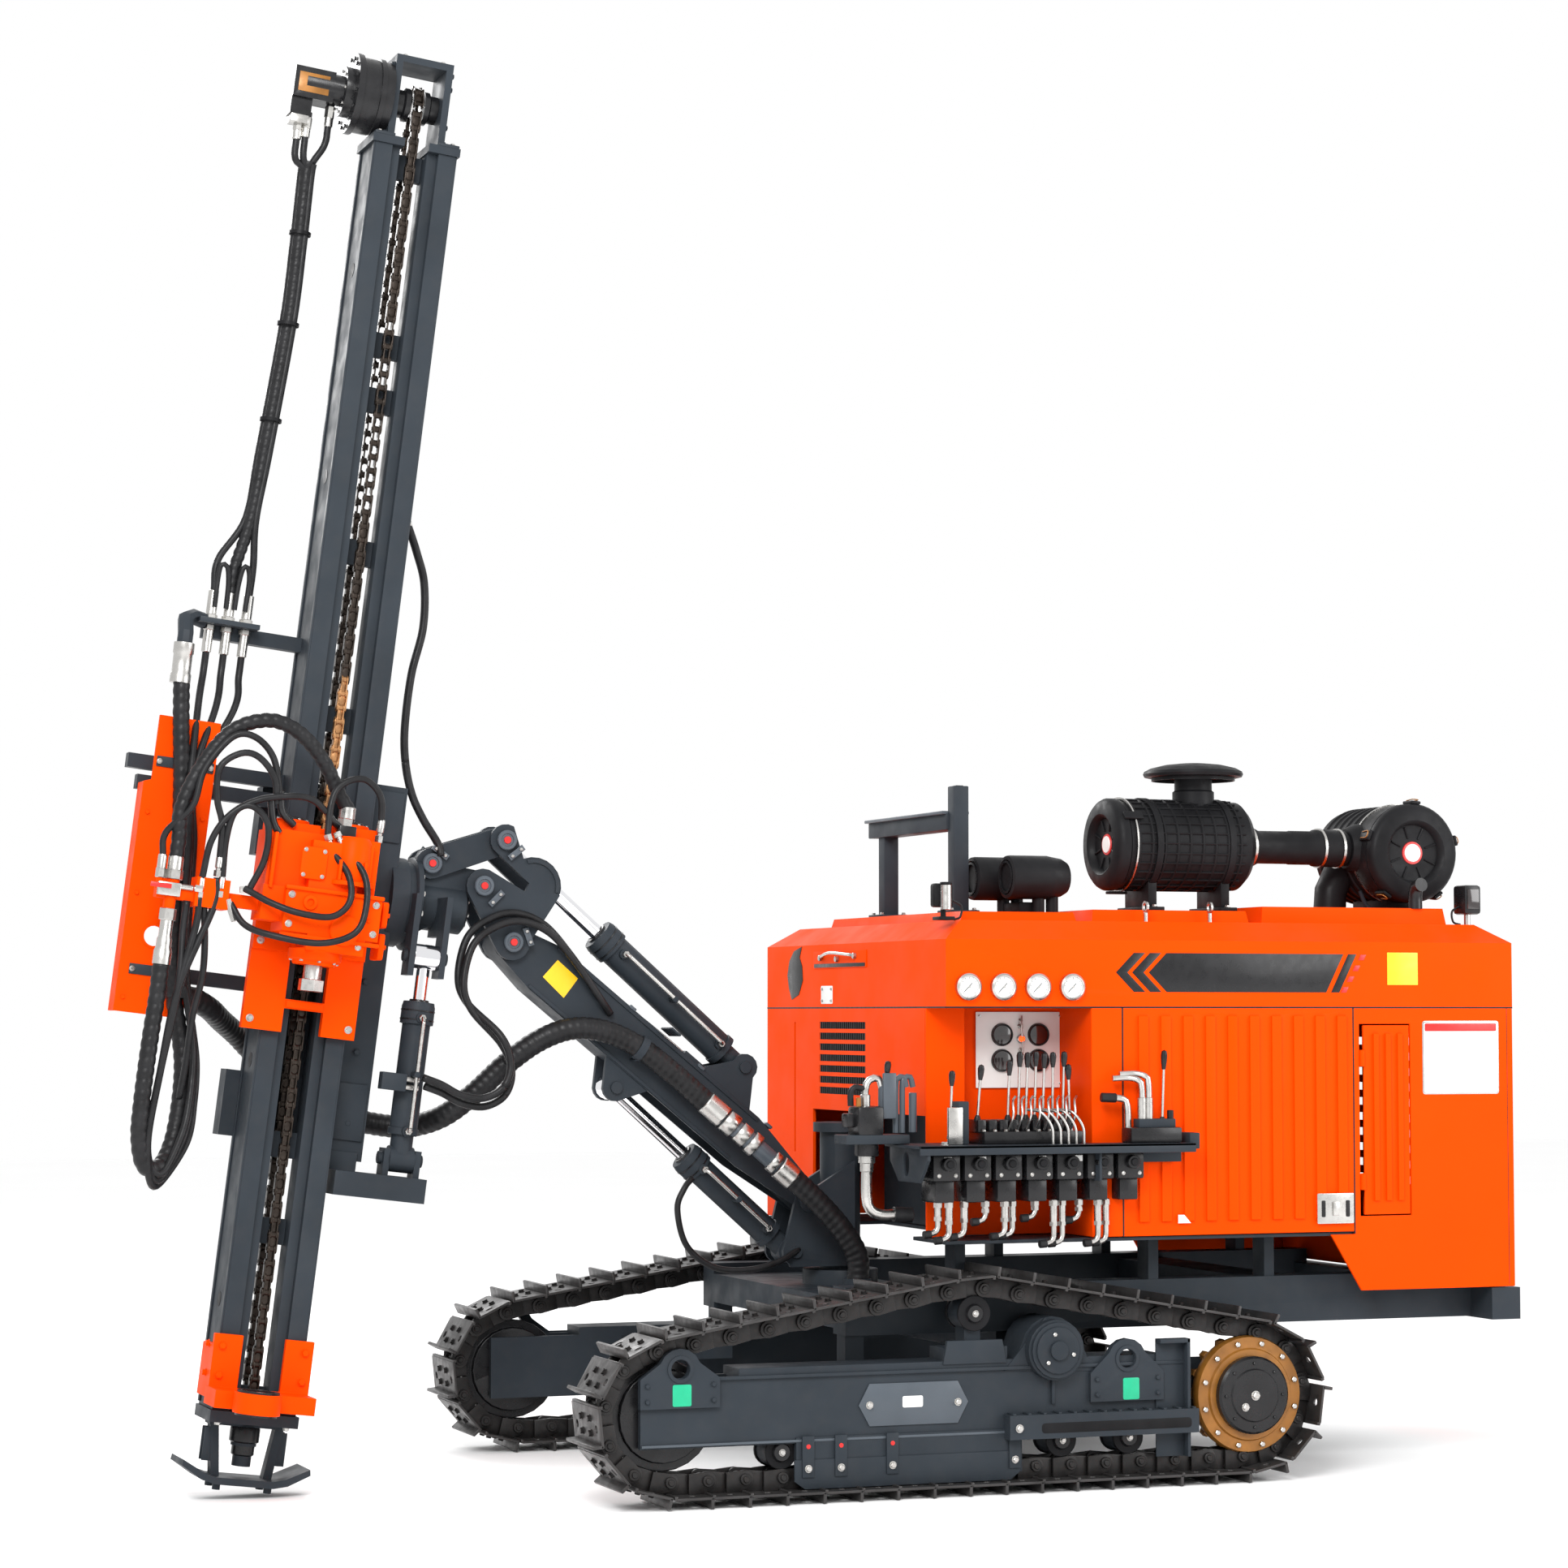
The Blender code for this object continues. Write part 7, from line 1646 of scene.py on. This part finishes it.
def dress_air_hose():
    path = smooth_path(AIR_ROUTE, 0.0065)
    places = [nearest(path, point) for point in AIR_ROUTE]
    travelled = 0.0
    for name, bodies, first, last, bend_from, bend_to in AIR_HOSES:
        form = Form()
        stretch = path[places[first]:places[last] + 1]
        if first == COUPLING[0]:
            run = stretch[-1] - stretch[0]
            form.bar(stretch[0], stretch[-1], AIR_RADIUS * 0.80, PALE_GREY, sides=32)
            for share, radius, length in ((0.02, 0.043, 0.050), (0.26, 0.040, 0.045), (0.47, 0.044, 0.035),
                                          (0.86, 0.040, 0.030)):
                start = stretch[0] + run * share
                form.bar(start, start + run.normalized() * length, radius, STEEL, sides=32, bevel=0.003)
        else:
            travelled = wound(form, stretch, AIR_RADIUS, travelled=travelled)
        # Steel ferrules where the hose meets the coupling
        if last == COUPLING[0]:
            form.sweep(stretch[-15:], AIR_RADIUS + 0.003, STEEL, sides=28)
        if first == COUPLING[1]:
            form.sweep(stretch[:12], AIR_RADIUS + 0.003, STEEL, sides=28)
        bending(form, name + "_wrapped", bodies, AIR_ROUTE[bend_from], AIR_ROUTE[bend_to], (name,))
    # Strap of the air hose on the boom, and the flange it comes from on the frame
    form = Form()
    here, ahead = path[places[16]], (path[places[16] + 2] - path[places[16] - 2]).normalized()
    form.turned(ring(AIR_RADIUS - 0.001, AIR_RADIUS + 0.005, -0.014, 0.014), here, ahead, GREY, 32)
    form.box(here.x - 0.02, here.x + 0.02, 0.06, here.y, here.z - AIR_RADIUS - 0.006, here.z - AIR_RADIUS,
             GREY)
    form.piece("air_hose_strap", "boom")
    form = Form()
    form.post(0.085, 0.27, 0.666, 0.70, 0.052, GREY)
    form.piece("air_hose_flange", "chassis")


def dress_feed_hoses():
    """From the feed motor to the port plate: the large hose, smaller ones and two bypass loops."""
    form = Form(MAST)
    wound(form, smooth_path(FEED_ROUTE, 0.005), FEED_RADIUS * 0.96, pitch=0.030)
    for x, dx, dy in ((PORTS_X[0], -0.016, 0.012), (PORTS_X[2], 0.018, -0.010)):
        strand = [(0.352 + dx, 0.13 + dy, 2.55), *shifted(FEED_ROUTE[1:6], (dx, dy, 0.0)), (x, PORT_Y, 1.10),
                  (x, PORT_Y, PORT_TOP)]
        form.tube(strand, STRAND_RADIUS, RUBBER)
    for x, z in MOTOR_PORTS:
        strand = [(x, FEED_Y, z), (x, FEED_Y, z - 0.04), (x * 0.9 + 0.035, FEED_Y, z - 0.10),
                  *FEED_ROUTE[1:3]]
        form.tube(strand, STRAND_RADIUS, RUBBER)
    for z, x in ((2.30, 0.345), (1.97, 0.345), (1.62, 0.362)):
        form.turned(ring(0.036, 0.039, -0.006, 0.006), (x, 0.111, z), UP, MATT_BLACK, 24)
    form.tube([(0.477, 0.13, 0.93), (0.479, 0.135, 1.03), (0.474, 0.14, 1.078), (0.452, 0.14, 1.075),
               (0.440, 0.135, 1.02), (0.436, 0.13, 0.93)], 0.009, RUBBER)
    form.tube([(0.368, 0.13, 0.93), (0.368, 0.135, 1.04), (0.380, 0.14, 1.083), (0.396, 0.14, 1.078),
               (0.404, 0.135, 1.02), (0.406, 0.13, 0.93)], 0.009, RUBBER)
    form.piece("feed_hose_strands", "mast", "feed_hose", slot="hose_rubber")


def dress_tray_and_loop():
    """Down the tray and up again to the carriage: the large hose and three smaller ones beside it."""
    form = Form(MAST)
    path = smooth_path(TRAY_ROUTE + LOOP_ROUTE, 0.006)
    cut_at = nearest(path, TRAY_ROUTE[-1])
    travelled = wound(form, path[:cut_at + 1], TRAY_RADIUS * 0.98, pitch=0.036)
    collars = [(0, 0), (0.036, 0), (0.036, 0.03), (0.033, 0.035), (0.033, 0.10), (0.036, 0.105),
               (0.036, 0.14), (0, 0.14)]
    form.turned(collars, (0.582, 0.232, 0.635), (0.01, -0.005, 1), STEEL, 28)
    for x, dx, dy in zip(PORTS_X, (-0.052, -0.036, -0.026), (-0.014, 0.010, 0.030)):
        drop = [(x, PORT_Y, 0.79), (x, PORT_Y, 0.70), (x + 0.012, 0.16, 0.58),
                *shifted(TRAY_ROUTE[4:], (dx, dy, 0.0))]
        form.tube(drop, STRAND_RADIUS, RUBBER)
    form.piece("tray_hose_strands", "mast", "tray_hose", slot="hose_rubber")
    form = Form(MAST)
    wound(form, path[cut_at:], TRAY_RADIUS * 0.98, pitch=0.036, travelled=travelled)
    # Each smaller hose: its shift off the large one, and the fitting that it ends in
    for (dx, dy, dz), (x, y, z) in (((-0.052, -0.014, 0.0), (0.417, 0.49, -0.03)),
                                    ((-0.036, 0.010, 0.02), (0.468, 0.49, -0.10)),
                                    ((-0.026, 0.030, 0.04), (0.505, 0.47, -0.12))):
        strand = shifted([TRAY_ROUTE[-1], *LOOP_ROUTE[:4]], (dx, dy, dz))
        strand += [(0.452, 0.38 + dy, -1.075 + dz), (0.50, 0.425, -1.06 + dz), (0.528, 0.455, -0.92),
                   (0.520, 0.475, -0.70), (0.50, 0.49, -0.42), (x, y, z - 0.10), (x, y, z)]
        form.tube(strand, STRAND_RADIUS, RUBBER)
    bending(form, "loop_hose_strands", ("mast", "carriage"), (0.43, 0.30, -0.95), (0.555, 0.44, -0.95),
            ("loop_hose",))


def dress_arch_hose():
    form = Form(MAST)
    wound(form, smooth_path(ARCH_ROUTE, 0.005), ARCH_RADIUS, pitch=0.034)
    form.post(-0.015, 0.43, HEAD_TOP, HEAD_TOP + 0.03, 0.030, STEEL, 6)
    form.post(-0.015, 0.43, HEAD_TOP + 0.028, HEAD_TOP + 0.07, 0.029, STEEL)
    form.piece("arch_hose_run", "carriage", "arch_hose", slot="hose_rubber")


# Smaller hoses at the rotary head, x, y, z in the mast's frame
HEAD_HOSES = (
    [(0.251, 0.505, 0.245), (0.270, 0.51, 0.332), (0.332, 0.51, 0.394), (0.396, 0.51, 0.398),
     (0.460, 0.505, 0.340), (0.454, 0.50, 0.234), (0.425, 0.495, 0.151), (0.417, 0.49, 0.030)],
    [(0.242, 0.50, 0.280), (0.279, 0.49, 0.402), (0.350, 0.485, 0.463), (0.425, 0.48, 0.452),
     (0.505, 0.48, 0.33), (0.530, 0.48, 0.20), (0.603, 0.45, 0.10), (0.603, 0.45, 0.020)],
    [(0.077, 0.51, 0.242), (0.130, 0.52, 0.275), (0.200, 0.525, 0.278), (0.314, 0.52, 0.250),
     (0.404, 0.51, 0.188), (0.455, 0.50, 0.092), (0.468, 0.49, -0.040)],
    [(0.307, 0.51, -0.055), (0.270, 0.52, 0.056), (0.276, 0.525, 0.171), (0.337, 0.52, 0.225),
     (0.390, 0.51, 0.198), (0.405, 0.495, 0.104), (0.400, 0.49, -0.025)],
    [(-0.125, 0.485, 0.235), (-0.110, 0.49, 0.322), (-0.057, 0.495, 0.370), (-0.003, 0.50, 0.366),
     (0.047, 0.505, 0.327), (0.066, 0.515, 0.262), (0.065, 0.52, 0.165)],
    [(0.040, 0.530, 0.105), (-0.012, 0.575, 0.034), (-0.022, 0.60, -0.055), (0.034, 0.61, -0.115),
     (0.144, 0.605, -0.118), (0.238, 0.57, -0.095), (0.323, 0.51, -0.055)],
    [(0.007, 0.530, 0.130), (-0.066, 0.58, 0.040), (-0.078, 0.61, -0.067), (-0.049, 0.62, -0.160),
     (0.063, 0.62, -0.210), (0.217, 0.59, -0.205), (0.31, 0.53, -0.178), (0.361, 0.49, -0.110)],
    [(0.448, 0.48, -0.125), (0.426, 0.47, -0.255), (0.416, 0.45, -0.368), (0.425, 0.42, -0.50),
     (0.415, 0.36, -0.66), (0.412, 0.31, -0.78)],
)


def dress_head_hoses():
    form = Form(MAST)
    for route in HEAD_HOSES[:-1]:
        form.tube(route, HEAD_HOSE_RADIUS, RUBBER)
    form.piece("rotary_head_hoses", "carriage", slot="hose_rubber")
    form = Form(MAST)
    form.tube(HEAD_HOSES[-1], HEAD_HOSE_RADIUS, RUBBER)
    bending(form, "feed_return_hose", ("mast", "carriage"), (0.41, 0.33, -0.76), (0.42, 0.46, -0.36))


def dress_side_hose():
    """The hose behind the mast: one piece from its port to the cradle, one on to the knuckle."""
    upper = [(-0.185, 0.07, 1.346), (-0.235, 0.06, 1.25), (-0.279, 0.05, 1.144), (-0.295, 0.05, 0.986),
             (-0.274, 0.05, 0.813), (-0.274, 0.05, 0.625), (-0.292, 0.05, 0.50)]
    lower = [(-0.328, 0.055, 0.390), (-0.378, 0.07, 0.303), (-0.439, 0.08, 0.225), (-0.455, 0.09, 0.18)]
    path = smooth_path(upper + lower, 0.012)
    cut_at = nearest(path, upper[-1])
    form = Form(MAST)
    form.sweep(path[:cut_at + 1], SIDE_HOSE_RADIUS, RUBBER)
    bending(form, "mast_side_hose", ("cradle", "mast"), (-0.29, 0.05, 0.52), (-0.28, 0.05, 1.15))
    form = Form(MAST)
    form.sweep(path[cut_at:], SIDE_HOSE_RADIUS, RUBBER)
    bending(form, "mast_side_hose_end", ("knuckle", "cradle"), lower[-1], upper[-1])
    form = Form(MAST)
    form.bar((-0.150, 0.07, 1.335), (-0.196, 0.07, 1.352), 0.018, STEEL, sides=6)
    form.box(-0.19, -0.146, 0.04, 0.10, 1.315, 1.375, GREY)
    form.piece("mast_side_port", "mast")


def dress_swing_hoses():
    """Two hoses from the swing cylinder's valve round to the boom, each in a front and a back piece."""
    front = [(1.712, 0.23, 1.409), (1.645, 0.225, 1.384), (1.576, 0.225, 1.348), (1.490, 0.22, 1.336),
             (1.416, 0.22, 1.376)]
    back = [(1.416, 0.22, 1.376), (1.389, 0.21, 1.459), (1.424, 0.20, 1.555), (1.521, 0.19, 1.674),
            (1.549, 0.18, 1.769), (1.513, 0.165, 1.901), (1.433, 0.15, 1.967), (1.330, 0.14, 1.993),
            (1.214, 0.125, 1.952), (1.112, 0.12, 1.843), (1.023, 0.115, 1.722), (0.972, 0.085, 1.662)]
    for name, shift, end_shift in (("swing_hose_a", (0, 0.032, 0), (0, 0, 0)),
                                   ("swing_hose_b", (0.012, 0.060, 0.030), (0.012, -0.03, 0.030))):
        path = smooth_path(shifted(front[:-1] + back[:3], shift) + shifted(back[3:], end_shift), 0.012)
        cut_at = nearest(path, Vector(front[-1]) + Vector(shift))
        for part, bodies, stretch, ends in (("front", ("knuckle", "cradle"), path[:cut_at + 1],
                                             (front[-1], front[0])),
                                            ("back", ("boom", "knuckle"), path[cut_at:],
                                             (back[-4], back[0]))):
            form = Form()
            form.sweep(stretch, SWING_HOSE_RADIUS, RUBBER)
            bending(form, name + "_" + part, bodies, *ends)


def dress_lift_hose():
    form = Form()
    route = [(0.664, 0.10, 1.065), (0.700, 0.12, 1.03), (0.728, 0.125, 0.955), (0.694, 0.13, 0.824),
             (0.592, 0.14, 0.744), (0.458, 0.15, 0.733), (0.34, 0.14, 0.76), (0.25, 0.105, 0.80)]
    form.tube(route, HEAD_HOSE_RADIUS, RUBBER)
    bending(form, "lift_hose", ("swing", "lift_barrel"), (0.30, 0.1, 0.77), (0.66, 0.1, 1.04))


def dress_hoses():
    dress_air_hose()
    dress_feed_hoses()
    dress_tray_and_loop()
    dress_arch_hose()
    dress_head_hoses()
    dress_side_hose()
    dress_swing_hoses()
    dress_lift_hose()


# Floor and light

def set_stage():
    bpy.context.scene.view_settings.view_transform = "Standard"
    bpy.ops.mesh.primitive_plane_add(size=60, location=(0, 0, -0.0005))
    floor = bpy.context.object
    floor.name = "floor"
    made, tree, shader = fresh("pale_floor")
    shade = ramp(tree, noise(tree, 0.6, 2.0), ((0.3, (0.975, 0.975, 0.975)), (0.7, (0.985, 0.985, 0.985))))
    tree.links.new(shade, shader.inputs["Base Color"])
    shader.inputs["Roughness"].default_value = 0.75
    floor.data.materials.append(made)
    world = bpy.data.worlds.new("studio")
    world.use_nodes = True
    world.node_tree.nodes["Background"].inputs["Color"].default_value = (1, 1, 1, 1)
    world.node_tree.nodes["Background"].inputs["Strength"].default_value = 1.0
    bpy.context.scene.world = world
    # Area lights: name, place, what it faces, size, power
    lamps = (
        ("key", (4.5, 8.0, 7.0), (0, 0.3, 1.6), 4.0, 900),
        ("fill", (-7.0, 6.0, 4.0), (-0.5, 0, 1.2), 5.0, 350),
        ("rim", (2.0, -7.0, 6.5), (0.3, 0, 2.2), 4.0, 350),
    )
    for name, place, target, size, power in lamps:
        data = bpy.data.lights.new(name, "AREA")
        data.size = size
        data.energy = power
        lamp = bpy.data.objects.new(name, data)
        lamp.location = place
        lamp.rotation_euler = (Vector(target) - Vector(place)).to_track_quat("-Z", "Y").to_euler()
        bpy.context.scene.collection.objects.link(lamp)


look_from_photo()
dress_tracks()
dress_house()
dress_undercarriage()
dress_boom()
dress_cradle()
dress_mast()
dress_chain()
dress_feed_drive()
dress_guide_and_foot()
dress_carriage()
dress_hoses()
set_stage()
